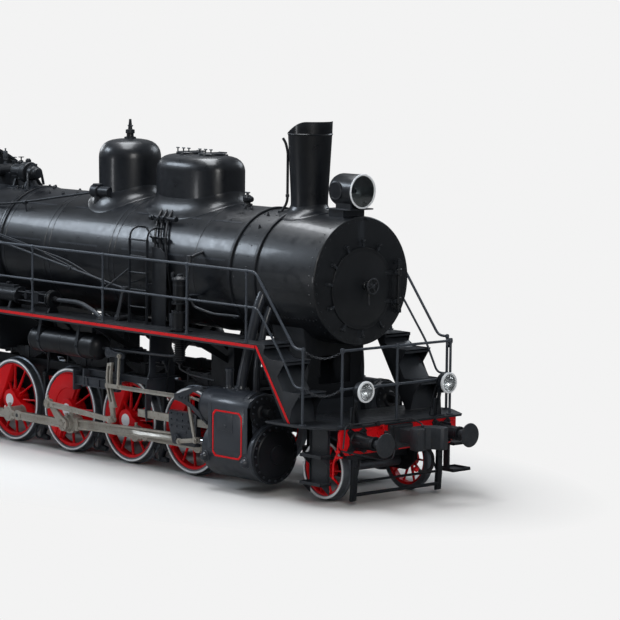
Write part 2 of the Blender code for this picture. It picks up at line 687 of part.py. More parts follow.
def make_rods():
    for side, tag in SIDES:
        pins = [crank_pin(side, axle_x) for axle_x in DRIVER_XS]
        front = side_rod(side, pins[:3], pins[1][0] + KNUCKLE_AHEAD, pins[:3], SIDE_ROD_Y, SIDE_ROD_OUT_Y)
        body = fuse(f"front_side_rod_{tag}", "bare_steel", [front])
        pivot = turn_on(body, f"main_pin_{tag}", (pins[2][0], 0.0, pins[2][1]))
        rear = side_rod(side, pins[2:], pins[3][0] + KNUCKLE_AHEAD, pins[3:], REAR_ROD_Y, REAR_ROD_OUT_Y)
        body = fuse(f"rear_side_rod_{tag}", "bare_steel", [rear])
        body.data.transform(Matrix.Translation(-pivot.location))
        body.parent = pivot

        small = crosshead_pin(side)
        pin = pins[2]
        half_thin = SMALL_EYE_THICK / 2
        main = [plate([eye_bar(pin, small, MAIN_EYE_RADIUS * 0.9, SMALL_EYE_RADIUS, ROD_HEIGHT * 1.1,
                               ROD_HEIGHT * 0.85),
                       bore(small, CROSSHEAD_PIN_RADIUS + SEAT_GAP)], "Y", side * (CYLINDER_Y - half_thin),
                      side * (CYLINDER_Y + half_thin)),
                rod((pin[0], side * MAIN_ROD_Y, pin[1]), (pin[0], side * MAIN_ROD_OUT_Y, pin[1]),
                    MAIN_EYE_RADIUS, 14)]
        fuse(f"main_rod_{tag}", "bare_steel", main)


def crosshead_pin(side):
    pin = crank_pin(side, 0.0)
    drop = pin[1] - CYLINDER_Z
    return (pin[0] + math.sqrt(MAIN_ROD_LENGTH ** 2 - drop ** 2), CYLINDER_Z)


def make_crossheads():
    inner = MAIN_ROD_Y + 0.002
    outer = CYLINDER_Y * 2 - inner
    bar_half = GUIDE_WIDTH / 2 + SEAT_GAP
    slot_half = SMALL_EYE_THICK / 2 + SEAT_GAP * 4
    for side, tag in SIDES:
        pin_x, pin_z = crosshead_pin(side)
        rear = pin_x - 0.2
        front = rear + CROSSHEAD_LENGTH
        low = pin_z - 0.1
        top = GUIDE_LOW_Z + GUIDE_HEIGHT + 0.075
        outline = [(rear, GUIDE_LOW_Z - 0.03), (pin_x - 0.1, low), (front, low), (front, top), (rear, top)]
        shapes = [plate([outline], "Y", side * inner, side * outer),
                  rod((front - OVERLAP, side * CYLINDER_Y, pin_z),
                      (CYLINDER_REAR_X - GLAND_LENGTH - SEAT_GAP,
                                                                   side * CYLINDER_Y, pin_z), 0.045,
                      PIN_SEGMENTS)]
        cuts = [box((rear - 0.1, front + 0.1),
                    (side * (CYLINDER_Y - bar_half), side * (CYLINDER_Y + bar_half)),
                    (GUIDE_LOW_Z - SEAT_GAP, GUIDE_LOW_Z + GUIDE_HEIGHT + SEAT_GAP)),
                box((rear - 0.1, pin_x + SMALL_EYE_RADIUS + 0.02),
                    (side * (CYLINDER_Y - slot_half), side * (CYLINDER_Y + slot_half)),
                    (low - 0.1, pin_z + 0.13))]
        body = fuse(f"crosshead_{tag}", "dark_steel", shapes, cuts)
        pin = rod((pin_x, side * inner, pin_z), (pin_x, side * (outer + 0.03), pin_z), CROSSHEAD_PIN_RADIUS)
        arm = plate([eye_bar((pin_x, pin_z), (pin_x + 0.1, pin_z - 0.04), 0.06, 0.045, 0.08, 0.06, 3)], "Y",
                    side * (outer - 0.005), side * (outer + 0.03))
        join_more(body, [pin, arm])


def join_more(body, extra):
    """Fuse more shapes to a finished piece, after its slots have been cut."""
    group = bpy.data.collections.new("operands")
    bpy.context.scene.collection.children.link(group)
    for other in extra:
        TOOLS.objects.unlink(other)
        group.objects.link(other)
    body.parent = None
    step = body.modifiers.new("union", "BOOLEAN")
    step.operation = "UNION"
    step.operand_type = "COLLECTION"
    step.collection = group
    step.solver = "EXACT"
    bpy.context.view_layer.update()
    mesh = bpy.data.meshes.new_from_object(body.evaluated_get(bpy.context.evaluated_depsgraph_get()))
    body.modifiers.clear()
    body.data = mesh
    for other in list(group.objects):
        bpy.data.objects.remove(other)
    bpy.data.collections.remove(group)
    body.parent = ORIGIN


# Cylinders and valve gear
def make_cylinders():
    for side, tag in SIDES:
        y = side * CYLINDER_Y
        valve_y = side * VALVE_Y
        flange = CYLINDER_RADIUS + CYLINDER_FLANGE
        rear = CYLINDER_REAR_X
        front = CYLINDER_FRONT_X
        thick = CYLINDER_FLANGE_THICK
        profile = [(rear - GLAND_LENGTH, 0.0), (rear - GLAND_LENGTH, 0.09), (rear, 0.12), (rear, flange),
                   (rear + thick, flange), (rear + thick, CYLINDER_RADIUS),
                   (front - thick, CYLINDER_RADIUS),
                   (front - thick, flange), (front, flange), (front + 0.06, CYLINDER_RADIUS * 0.95),
                   (front + 0.1, 0.14),
                   (front + 0.1, 0.0)]
        shapes = [turned(profile, (0, y, CYLINDER_Z), "X", 18)]
        valve_front = VALVE_REAR_X + VALVE_LENGTH
        profile = [(VALVE_REAR_X - 0.05, 0.0), (VALVE_REAR_X - 0.05, 0.12), (VALVE_REAR_X, 0.14),
                   (VALVE_REAR_X, VALVE_RADIUS), (valve_front - 0.06, VALVE_RADIUS),
                   (valve_front - 0.06, VALVE_RADIUS + 0.02),
                   (valve_front, VALVE_RADIUS + 0.02), (valve_front, VALVE_RADIUS - 0.02),
                   (valve_front + 0.1, VALVE_RADIUS - 0.02),
                   (valve_front + 0.12, 0.16), (valve_front + 0.12, 0.0)]
        shapes.append(turned(profile, (0, valve_y, VALVE_Z), "X", 14))
        jacket_out = CYLINDER_Y + CYLINDER_RADIUS + 0.012
        outline = [(CYLINDER_Y - 0.25, CYLINDER_Z), (jacket_out - 0.004, CYLINDER_Z - 0.06),
                   (jacket_out, CYLINDER_Z + 0.05),
                   (jacket_out, VALVE_Z + 0.02), (VALVE_Y + 0.19, VALVE_Z + 0.18),
                   (VALVE_Y - 0.1, VALVE_Z + 0.2),
                   (CYLINDER_Y - 0.25, VALVE_Z)]
        outline = [(side * across, up) for across, up in outline]
        shapes.append(plate([outline], "X", rear + 0.13, front - 0.11))
        shapes.append(box((rear + 0.2, front - 0.15),
                          (side * (FRAME_OUT_Y + SEAT_GAP), side * (CYLINDER_Y - 0.2)),
                          (CYLINDER_Z + 0.24, VALVE_Z + 0.06)))
        shapes.append(rod((4.02, side * 1.15, VALVE_Z + 0.18), (4.02, side * 1.15, 1.71), 0.055))
        shapes.append(tube([(4.22, side * 1.12, VALVE_Z + 0.18), (4.24, side * 1.1, 1.62),
                            (4.34, side * 0.9, 2.62),
                            (4.34, side * 0.8, 2.9)], 0.075, 8))
        shapes.append(tube([(4.42, side * 1.0, VALVE_Z + 0.1), (4.42, side * 1.0, 1.75),
                            (4.44, side * 0.86, 2.4),
                            (4.44, side * 0.7, 2.75)], 0.055, 8))
        cuts = [smokebox_skin()]
        fuse(f"cylinder_{tag}", "black_paint", shapes, cuts)


def make_motion_brackets():
    guide_in = CYLINDER_Y - GUIDE_WIDTH / 2
    guide_out = CYLINDER_Y + GUIDE_WIDTH / 2
    for side, tag in SIDES:
        shapes = [box((GUIDE_REAR_X, CYLINDER_REAR_X - SEAT_GAP), (side * guide_in, side * guide_out),
                      (GUIDE_LOW_Z, GUIDE_LOW_Z + GUIDE_HEIGHT))]
        yoke = [(FRAME_OUT_Y + SEAT_GAP, YOKE_LOW_Z), (guide_in, YOKE_LOW_Z),
                (guide_in, GUIDE_LOW_Z + GUIDE_HEIGHT / 2),
                (guide_out, GUIDE_LOW_Z + GUIDE_HEIGHT / 2), (guide_out, YOKE_TOP_Z),
                (guide_in, BOARD_LOW_Z - SEAT_GAP),
                (BOARD_INNER_Y, BOARD_LOW_Z - SEAT_GAP), (FRAME_OUT_Y + SEAT_GAP, YOKE_TOP_Z + 0.3)]
        yoke = [(side * across, up) for across, up in yoke]
        shapes.append(plate([yoke], "X", YOKE_X - 0.03, YOKE_X + 0.03))
        bearer = [(side * across, up) for across, up in
                  [(FRAME_OUT_Y + SEAT_GAP, YOKE_LOW_Z), (LINK_BEAM_Y + 0.04, YOKE_LOW_Z),
                   (LINK_BEAM_Y + 0.04, YOKE_TOP_Z),
                   (FRAME_OUT_Y + SEAT_GAP, YOKE_TOP_Z)]]
        shapes.append(plate([bearer], "X", BEARER_X - 0.03, BEARER_X + 0.03))
        shapes.append(box((BEARER_X - 0.03, YOKE_X + 0.03), (side * (guide_in - 0.02), side * guide_in),
                          (YOKE_TOP_Z - 0.1, YOKE_TOP_Z)))
        shapes.append(box((BEARER_X - 0.2, LINK_X + 0.04),
                          (side * LINK_BEAM_Y, side * (LINK_BEAM_Y + 0.045)),
                          (LINK_Z - 0.05, LINK_Z + 0.06)))
        shapes.append(rod((LINK_X, side * LINK_BEAM_Y, LINK_Z),
                          (LINK_X, side * (VALVE_Y - 0.02 - SEAT_GAP), LINK_Z), 0.06))
        fuse(f"motion_bracket_{tag}", "black_paint", shapes)


def link_foot(side):
    centre = polar((0.0, DRIVER_Z), ECCENTRIC_RADIUS, CRANK_ANGLES[side] + ECCENTRIC_LEAD)
    swing = math.hypot(LINK_FOOT_DROP, LINK_FOOT_BACK)
    return centre, meet(centre, ECCENTRIC_ROD_LENGTH, (LINK_X, LINK_Z), swing, False)


def on_link(lean, across, up):
    """A place on the expansion link, leaning about its trunnion."""
    return (LINK_X + across * math.cos(lean) - up * math.sin(lean),
            LINK_Z + across * math.sin(lean) + up * math.cos(lean))


def make_valve_gear():
    for side, tag in SIDES:
        pin = crank_pin(side, 0.0)
        eccentric, foot = link_foot(side)
        crank_arm = eye_bar(pin, eccentric, 0.1, 0.065, 0.15, 0.09, 5)
        shapes = [plate([crank_arm], "Y", side * RETURN_CRANK_Y, side * RETURN_CRANK_OUT_Y),
                  rod((eccentric[0], side * (RETURN_CRANK_OUT_Y - OVERLAP), eccentric[1]),
                      (eccentric[0], side * (ECCENTRIC_ROD_OUT_Y + 0.012), eccentric[1]), 0.045),
                  plate([eye_bar(eccentric, foot, 0.075, 0.055, 0.075, 0.06, 5),
                         bore(foot, LINK_PIN_RADIUS + SEAT_GAP)], "Y",
                        side * ECCENTRIC_ROD_Y, side * ECCENTRIC_ROD_OUT_Y)]
        fuse(f"eccentric_rod_{tag}", "bare_steel", shapes)

        # The expansion link swings on a trunnion; its tail hangs down to the eccentric rod
        lean = math.atan2(foot[0] - LINK_X, LINK_Z - foot[1])
        half = LINK_HALF_HEIGHT
        bow = [(-0.055, -half), (0.055, -half), (0.035, -half / 2), (0.028, 0), (0.035, half / 2),
               (0.055, half),
               (-0.055, half), (-0.075, half / 2), (-0.082, 0), (-0.075, -half / 2)]
        slot = [(0.018, -half + 0.05), (0.0, -half / 2), (-0.007, 0), (0.0, half / 2), (0.018, half - 0.05),
                (-0.022, half - 0.05), (-0.04, half / 2), (-0.047, 0), (-0.04, -half / 2),
                (-0.022, -half + 0.05)]
        link_in = VALVE_Y - 0.02
        link_out = VALVE_Y + 0.03
        tail = eye_bar(on_link(lean, 0, -half + 0.02), foot, 0.05, 0.05, 0.07, 0.06, 3)
        radius_start = on_link(lean, -0.027, 0.0)
        radius_end = (LEVER_TOP_X, LEVER_TOP_Z)
        crosshead_x, crosshead_z = crosshead_pin(side)
        drop_pin = (crosshead_x + 0.1, crosshead_z - 0.04)
        lever_foot = meet((LEVER_TOP_X, LEVER_TOP_Z), LEVER_LENGTH, drop_pin, UNION_LENGTH, False)
        arm_top = (LINK_X + 0.27, LINK_Z + 0.46)
        lift_foot = (LINK_X + 0.24, LINK_Z + 0.012)
        shapes = [plate([[on_link(lean, *place) for place in bow],
                         [on_link(lean, *place) for place in slot]], "Y",
                        side * link_in, side * link_out),
                  plate([tail], "Y", side * link_in, side * link_out),
                  rod((foot[0], side * link_in, foot[1]),
                      (foot[0], side * (ECCENTRIC_ROD_OUT_Y + 0.01), foot[1]),
                      LINK_PIN_RADIUS),
                  rod((radius_start[0], side * link_in, radius_start[1]),
                      (radius_start[0], side * (link_out + 0.03), radius_start[1]), 0.035),
                  plate([eye_bar(radius_start, radius_end, 0.045, 0.045, 0.06, 0.06, 3)], "Y",
                        side * (link_out + 0.004), side * (link_out + 0.03)),
                  plate([eye_bar(lift_foot, arm_top, 0.035, 0.035, 0.035, 0.035, 3)], "Y",
                        side * (link_out + 0.022), side * (link_out + 0.05)),
                  plate([eye_bar(arm_top, (LINK_X - 0.02, LINK_Z + 0.48), 0.05, 0.075, 0.06, 0.1, 3)], "Y",
                        side * (link_out - 0.04), side * (link_out + 0.03)),
                  rod((LINK_X - 0.02, side * (link_out + 0.01), LINK_Z + 0.48),
                      (LINK_X - 0.02, side * 0.98, LINK_Z + 0.48), 0.045),
                  plate([eye_bar(radius_end, lever_foot, 0.05, 0.045, 0.05, 0.04, 3)], "Y",
                        side * (link_out - 0.02),
                        side * (link_out + 0.01)),
                  rod((lever_foot[0], side * (UNION_Y - OVERLAP), lever_foot[1]),
                      (lever_foot[0], side * (link_out + 0.012), lever_foot[1]),
                      LINK_PIN_RADIUS),
                  plate([eye_bar(lever_foot, drop_pin, 0.045, 0.045, 0.06, 0.06, 3)], "Y", side * UNION_Y,
                        side * (UNION_Y + 0.035))]
        fuse(f"valve_motion_{tag}", "bare_steel", shapes)


# Frame
def make_frame():
    top = FRAME_TOP_Z
    waist = FRAME_WAIST_Z
    low = FRAME_LOW_Z
    edge = [(FRAME_REAR_X, top), (FRAME_REAR_X, 0.86)]
    for axle_x in reversed(DRIVER_XS):
        edge += [(axle_x - 0.3, waist), (axle_x - 0.2, low), (axle_x + 0.2, low), (axle_x + 0.3, waist)]
    edge += [(3.5, waist), (3.8, 0.97), (5.9, 0.97), (6.05, 0.78), (BEAM_REAR_X - SEAT_GAP, 0.78),
             (BEAM_REAR_X - SEAT_GAP, 1.06), (5.1, 1.06), (5.0, top)]
    holes = [bore((axle_x, DRIVER_Z), AXLE_RADIUS + SEAT_GAP, 10) for axle_x in DRIVER_XS]
    shapes = []
    for side, _ in SIDES:
        shapes.append(plate([edge] + holes, "Y", side * FRAME_Y, side * FRAME_OUT_Y))
    inside = FRAME_Y + OVERLAP
    # rear x, front x, low z, high z of each cross stay
    stays = [(FRAME_REAR_X + 0.01, -4.7, 0.88, top - 0.01), (-2.2, -2.07, 0.9, top - 0.03),
             (-0.77, -0.65, 0.9, top - 0.03),
             (0.65, 0.77, 0.9, top - 0.03), (2.07, 2.2, 0.9, top - 0.03), (3.4, 3.52, 0.88, top - 0.03),
             (4.25, 4.98, 0.98, top - 0.01), (5.98, BEAM_REAR_X - 0.01, 0.8, 1.05)]
    for rear_x, front_x, low_z, high_z in stays:
        shapes.append(box((rear_x, front_x), (-inside, inside), (low_z, high_z)))
    shapes.append(rod((TRUCK_PIVOT_X, 0, TRUCK_PIVOT_Z - 0.09), (TRUCK_PIVOT_X, 0, 1.0), TRUCK_PIN_RADIUS,
                      12))
    saddle = [(-0.57, top - 0.03), (0.57, top - 0.03), (0.5, 1.7), (0.62, 2.5), (-0.62, 2.5), (-0.5, 1.7)]
    shapes.append(plate([saddle], "X", 4.3, 4.95))
    shapes.append(box((DRAWBAR_REAR_X, FRAME_REAR_X + 0.05), (-0.09, 0.09), (1.0, 1.12)))
    cuts = [smokebox_skin()]
    fuse("main_frame", "black_paint", shapes, cuts)


def make_front_end():
    rear = BEAM_REAR_X
    shapes = [box((rear, BEAM_FRONT_X), (-BEAM_HALF_WIDTH, BEAM_HALF_WIDTH),
                  (BEAM_TOP_Z - BEAM_HEIGHT, BEAM_TOP_Z))]
    fuse("front_beam", "red_paint", shapes)

    low = PLATFORM_TOP_Z - PLATFORM_THICK
    half = PLATFORM_HALF_WIDTH
    corner_x = POST_A_X + 0.05
    front = BEAM_FRONT_X + 0.02
    edge = [(PLATFORM_REAR_X, -half), (corner_x, -half), (front - 0.04, -PLATFORM_FRONT_HALF - 0.04),
            (front, -PLATFORM_FRONT_HALF), (front, PLATFORM_FRONT_HALF),
            (front - 0.04, PLATFORM_FRONT_HALF + 0.04), (corner_x, half), (PLATFORM_REAR_X, half)]
    shapes = [plate([edge], "Z", low, PLATFORM_TOP_Z)]
    for side, _ in SIDES:
        shapes.append(box((STEP_X - STEP_BAR_HALF, STEP_X + STEP_BAR_HALF),
                          (side * STEP_Y, side * (STEP_Y + 0.02)),
                          (STEP_LOW_Z, low + 0.01)))
        for tread_z in (STEP_LOW_Z, STEP_LOW_Z + STEP_RISE):
            shapes.append(box((STEP_X - STEP_HALF, STEP_X + STEP_HALF),
                              (side * (STEP_Y - 0.01), side * (STEP_Y + STEP_DEPTH)),
                              (tread_z, tread_z + 0.025)))
    fuse("front_platform", "black_paint", shapes)

    for side, tag in SIDES:
        y = side * BUFFER_Y
        start = BEAM_FRONT_X + SEAT_GAP
        profile = [(start, 0.0), (start, 0.17), (start + 0.03, 0.16), (start + 0.13, 0.1),
                   (BUFFER_FACE_X - 0.12, 0.09),
                   (BUFFER_FACE_X - 0.12, 0.055), (BUFFER_FACE_X - 0.055, 0.055),
                   (BUFFER_FACE_X - 0.045, BUFFER_HEAD_RADIUS - 0.01),
                   (BUFFER_FACE_X - 0.03, BUFFER_HEAD_RADIUS),
                   (BUFFER_FACE_X - 0.012, BUFFER_HEAD_RADIUS - 0.01), (BUFFER_FACE_X, 0.0)]
        fuse(f"buffer_{tag}", "dark_steel", [turned(profile, (0, y, BUFFER_Z), "X", 14)])

    start = BEAM_FRONT_X + SEAT_GAP
    tip = COUPLER_FRONT_X
    jaw = [(start, -0.11), (6.6, -0.1), (6.68, -0.2), (6.86, -0.22), (6.9, -0.12), (6.8, -0.08),
           (6.8, 0.06),
           (6.92, 0.1), (tip - 0.03, 0.12), (tip, 0.2), (tip - 0.05, 0.27), (6.72, 0.24), (6.6, 0.1),
           (start, 0.11)]
    shapes = [plate([jaw], "Z", COUPLER_Z - 0.14, COUPLER_Z + 0.14),
              box((start, start + 0.12), (-0.2, 0.2), (COUPLER_Z - 0.2, COUPLER_Z + 0.15))]
    fuse("coupler", "dark_steel", shapes)

    beam_low = BEAM_TOP_Z - BEAM_HEIGHT
    shapes = []
    for side, _ in SIDES:
        iron = [(BEAM_REAR_X - 0.0, beam_low - SEAT_GAP), (BEAM_FRONT_X, beam_low - SEAT_GAP),
                (BEAM_FRONT_X - 0.01, 0.3),
                (BEAM_FRONT_X - 0.03, GUARD_LOW_Z), (BEAM_FRONT_X - 0.07, GUARD_LOW_Z), (BEAM_REAR_X, 0.3)]
        shapes.append(plate([iron], "Y", side * 0.76, side * 0.86))
    shapes.append(rod((BEAM_FRONT_X - 0.03, -0.78, 0.16), (BEAM_FRONT_X - 0.03, 0.78, 0.16), 0.024, 8))
    fuse("rail_guard", "black_paint", shapes)


# Boiler
def barrel_skin(gap):
    """The lagged barrel's outside, grown by a gap when it cuts what stands on it."""
    grow = gap / math.cos(math.pi / BOILER_SEGMENTS)
    profile = [(BARREL_REAR_X, 0.0), (BARREL_REAR_X, BARREL_REAR_RADIUS + grow),
               (BARREL_FRONT_X, BARREL_FRONT_RADIUS + grow), (BARREL_FRONT_X, 0.0)]
    return turned(profile, (0, 0, BOILER_Z), "X", BOILER_SEGMENTS, math.pi / BOILER_SEGMENTS)


def make_boiler():
    grow = 1 / math.cos(math.pi / BOILER_SEGMENTS)
    outer = SMOKEBOX_RADIUS
    inner = (outer - SHELL_THICK) * 0.995
    rear = SMOKEBOX_REAR_X
    front = SMOKEBOX_FRONT_X
    turn = math.pi / BOILER_SEGMENTS
    shell = turned([(rear, 0.0), (rear, outer), (front, outer), (front, 0.0)], (0, 0, BOILER_Z), "X",
                   BOILER_SEGMENTS, turn)
    space = turned([(rear + SHELL_THICK, 0.0), (rear + SHELL_THICK, inner), (front - SHELL_THICK, inner),
                    (front - SHELL_THICK, 0.0)], (0, 0, BOILER_Z), "X", BOILER_SEGMENTS, turn)
    door_hole = rod((front - 0.1, 0, DOOR_Z), (front + 0.1, 0, DOOR_Z), DOOR_HOLE_RADIUS, 22)
    chimney_hole = rod((CHIMNEY_X, 0, BOILER_Z + 0.7), (CHIMNEY_X, 0, BOILER_Z + 1.0), 0.2, 16)
    fuse("smokebox", "black_paint", [shell], [space, door_hole, chimney_hole])

    seat = front + SEAT_GAP
    profile = [(seat, 0.0), (seat, DOOR_RADIUS), (seat + 0.03, DOOR_RADIUS),
               (seat + 0.05, DOOR_RADIUS - 0.03),
               (seat + 0.1, 0.3), (seat + 0.11, 0.0)]
    shapes = [turned(profile, (0, 0, DOOR_Z), "X", 20)]
    hinge_x = seat + 0.08
    for hinge_z in (DOOR_Z - 0.2, DOOR_Z + 0.2):
        shapes.append(box((seat + 0.02, hinge_x + 0.03), (0.4, DOOR_HINGE_Y),
                          (hinge_z - 0.035, hinge_z + 0.035)))
        shapes.append(rod((hinge_x, DOOR_HINGE_Y, hinge_z - 0.05),
                          (hinge_x, DOOR_HINGE_Y, hinge_z + 0.05), 0.048, 8))
    shapes.append(rod((seat + 0.1, 0, DOOR_Z + 0.05), (seat + 0.24, 0, DOOR_Z + 0.05), 0.03, 6))
    shapes.append(rod((seat + 0.22, 0, DOOR_Z + 0.05), (seat + 0.25, 0, DOOR_Z + 0.05), 0.11, 10))
    cuts = [plate([bore((hinge_x, DOOR_HINGE_Y), HINGE_BAR_RADIUS + SEAT_GAP)], "Z", DOOR_Z - 0.4,
                  DOOR_Z + 0.4)]
    body = fuse("smokebox_door", "black_paint", shapes, cuts)
    turn_on(body, "door_hinge", (hinge_x, DOOR_HINGE_Y, DOOR_Z))
    shapes = [rod((hinge_x, DOOR_HINGE_Y, DOOR_Z - 0.34), (hinge_x, DOOR_HINGE_Y, DOOR_Z + 0.34),
                  HINGE_BAR_RADIUS)]
    for end_z in (DOOR_Z - 0.34, DOOR_Z + 0.34):
        shapes.append(box((seat, hinge_x + 0.03), (DOOR_HINGE_Y - 0.03, DOOR_HINGE_Y + 0.03),
                          (end_z - 0.03, end_z + 0.03)))
    fuse("door_hinge_pin", "black_paint", shapes)

    fuse("boiler_barrel", "black_paint", [barrel_skin(0.0)])

    half = FIREBOX_HALF_WIDTH
    round_top = arc((0, BOILER_Z), half, 0, 180, 16)
    wrapper = [(half - 0.02, FIREBOX_LOW_Z)] + round_top + [(-half + 0.02, FIREBOX_LOW_Z)]
    shapes = [plate([wrapper], "X", FIREBOX_REAR_X, FIREBOX_FRONT_X)]
    pan = [(FIREBOX_REAR_X + 0.15, FIREBOX_LOW_Z + OVERLAP), (FIREBOX_REAR_X + 0.2, 1.33),
           (FIREBOX_FRONT_X - 0.2, 1.33),
           (FIREBOX_FRONT_X - 0.05, FIREBOX_LOW_Z + OVERLAP)]
    shapes.append(plate([pan], "Y", -0.46, 0.46))
    crown = BOILER_Z + half
    profile = [(-2.42, 0.0), (-2.42, 0.08), (-2.36, 0.13), (-2.12, 0.13), (-2.1, 0.16), (-1.98, 0.16),
               (-1.96, 0.11),
               (-1.8, 0.1), (-1.76, 0.0)]
    shapes.append(turned(profile, (0, GENERATOR_Y, crown + GENERATOR_UP), "X", 12))
    shapes.append(box((-2.3, -1.9), (GENERATOR_Y - 0.07, GENERATOR_Y + 0.07), (crown - 0.1, crown + 0.1)))
    shapes.append(turned([(-0.3, 0.0), (-0.3, 0.11), (0.3, 0.11), (0.3, 0.0)],
                         (TURRET_X, 0, crown + GENERATOR_UP), "Y", 12))
    shapes.append(box((TURRET_X - 0.08, TURRET_X + 0.08), (-0.1, 0.1), (crown - 0.1, crown + 0.1)))
    shapes.append(rod((TURRET_X, 0.1, crown + 0.2), (TURRET_X, 0.1, WHISTLE_TOP_Z), 0.035, 8))
    fuse("firebox", "black_paint", shapes)


def make_mountings():
    foot_z = BOILER_Z + SMOKEBOX_RADIUS
    foot = CHIMNEY_FOOT_RADIUS
    wall = CHIMNEY_WALL
    profile = [(foot_z - 0.16, foot - wall), (foot_z - 0.16, foot + 0.2), (foot_z - 0.02, foot + 0.09),
               (foot_z + 0.06, foot + 0.01),
               (CHIMNEY_RIM_Z, CHIMNEY_RIM_RADIUS), (CHIMNEY_TOP_Z, CHIMNEY_RIM_RADIUS + 0.015),
               (CHIMNEY_TOP_Z, CHIMNEY_RIM_RADIUS + 0.015 - wall),
               (CHIMNEY_RIM_Z, CHIMNEY_RIM_RADIUS - wall)]
    rise = CHIMNEY_TOP_Z - CHIMNEY_RIM_Z
    # share of the rim's radius along X, share of the cowl's height
    curve = [(-0.7, 0.03), (-0.42, 0.16), (-0.05, 0.5), (0.32, 0.84), (0.6, 1.005)]
    slope = [(CHIMNEY_X - 0.6, CHIMNEY_RIM_Z + 0.03 * rise)]
    slope += [(CHIMNEY_X + along * CHIMNEY_RIM_RADIUS, CHIMNEY_RIM_Z + share * rise) for along,
              share in curve]
    slope += [(CHIMNEY_X + 0.6, CHIMNEY_TOP_Z + 0.1), (CHIMNEY_X - 0.6, CHIMNEY_TOP_Z + 0.1)]
    cut = plate([slope], "Y", -0.7, 0.7)
    fuse("chimney", "black_paint", [turned(profile, (CHIMNEY_X, 0, 0), "Z", 20)], [smokebox_skin(), cut])

    crown_z = BOILER_Z + BARREL_FRONT_RADIUS
    radius = STEAM_DOME_RADIUS
    top = STEAM_DOME_TOP_Z
    profile = [(crown_z - 0.18, 0.0), (crown_z - 0.18, radius + 0.16), (crown_z - 0.02, radius + 0.1),
               (crown_z + 0.1, radius),
               (top - 0.27, radius), (top - 0.14, radius * 0.93), (top - 0.05, radius * 0.73),
               (top, 0.08), (top + 0.04, 0.05),
               (top + 0.14, 0.04), (top + 0.14, 0.0)]
    fuse("steam_dome", "black_paint", [turned(profile, (STEAM_DOME_X, 0, 0), "Z", 18)],
         [barrel_skin(SEAT_GAP)])

    half_length = SAND_DOME_LENGTH / 2
    half_width = SAND_DOME_WIDTH / 2
    straight = half_length - half_width
    top = SAND_DOME_TOP_Z
    levels = [(crown_z - 0.18, 0.08), (crown_z, 0.05), (crown_z + 0.1, 0.0), (top - 0.2, 0.0),
              (top - 0.06, -0.06), (top, -0.16)]
    work = bmesh.new()
    rings = []
    for level_z, spread in levels:
        front = arc((SAND_DOME_X + straight, 0), half_width + spread, -90, 90, 8)
        rear = arc((SAND_DOME_X - straight, 0), half_width + spread, 90, 270, 8)
        rings.append([work.verts.new((x, y, level_z)) for x, y in front + rear])
    for lower, upper in zip(rings, rings[1:]):
        for index in range(len(lower)):
            after = (index + 1) % len(lower)
            work.faces.new((lower[index], lower[after], upper[after], upper[index]))
    work.faces.new(rings[-1])
    work.faces.new(list(reversed(rings[0])))
    fuse("sand_dome", "black_paint", [shape_from(work)], [barrel_skin(SEAT_GAP)])

    for number, lid_x in enumerate((SAND_DOME_X - LID_SPACING / 2, SAND_DOME_X + LID_SPACING / 2), start=1):
        seat = SAND_DOME_TOP_Z + SEAT_GAP
        profile = [(seat, 0.0), (seat, LID_RADIUS), (seat + 0.03, LID_RADIUS),
                   (seat + 0.05, LID_RADIUS * 0.6), (seat + 0.06, 0.0)]
        lid = fuse(f"sand_lid_{number}", "black_paint", [turned(profile, (lid_x, 0, 0), "Z", 16)])
        turn_on(lid, f"lid_hinge_{number}", (lid_x, LID_RADIUS + 0.02, seat + 0.03))

    rear = HEADLAMP_FRONT_X - HEADLAMP_LENGTH
    profile = [(rear, 0.0), (rear, HEADLAMP_RADIUS * 0.7), (rear + 0.07, HEADLAMP_RADIUS),
               (HEADLAMP_FRONT_X, HEADLAMP_RADIUS),
               (HEADLAMP_FRONT_X, HEADLAMP_RADIUS - 0.02),
               (HEADLAMP_FRONT_X - 0.03, HEADLAMP_RADIUS - 0.03), (HEADLAMP_FRONT_X - 0.03, 0.0)]
    shapes = [turned(profile, (0, 0, HEADLAMP_Z), "X", 20)]
    for side, _ in SIDES:
        shapes.append(rod((rear + 0.2, side * (HEADLAMP_RADIUS - 0.03), HEADLAMP_Z),
                          (rear + 0.2, side * (HEADLAMP_RADIUS + 0.012), HEADLAMP_Z),
                          0.15, 10))
    shapes.append(box((5.12, 5.38), (-0.14, 0.14), (SHELF_TOP_Z - 0.01, HEADLAMP_Z - 0.15)))
    shapes.append(box((5.0, SHELF_FRONT_X), (-SHELF_HALF, SHELF_HALF), (SHELF_TOP_Z - 0.02, SHELF_TOP_Z)))
    shapes.append(box((5.02, 5.3), (-0.2, 0.2), (3.8, SHELF_TOP_Z - 0.01)))
    fuse("headlamp", "black_paint", shapes, [smokebox_skin()])

    for side, tag in SIDES:
        front = SMALL_LAMP_FRONT_X
        profile = [(front - 0.2, 0.0), (front - 0.2, 0.09), (front - 0.14, SMALL_LAMP_RADIUS),
                   (front, SMALL_LAMP_RADIUS),
                   (front, SMALL_LAMP_RADIUS - 0.02), (front - 0.02, SMALL_LAMP_RADIUS - 0.025),
                   (front - 0.02, 0.0)]
        y = side * SMALL_LAMP_Y
        shapes = [turned(profile, (0, y, SMALL_LAMP_Z), "X", 16),
                  box((front - 0.24, front - 0.17), (y - 0.05, y + 0.05),
                      (PLATFORM_TOP_Z + SEAT_GAP, SMALL_LAMP_Z - 0.05))]
        fuse(f"front_lamp_{tag}", "black_paint", shapes)


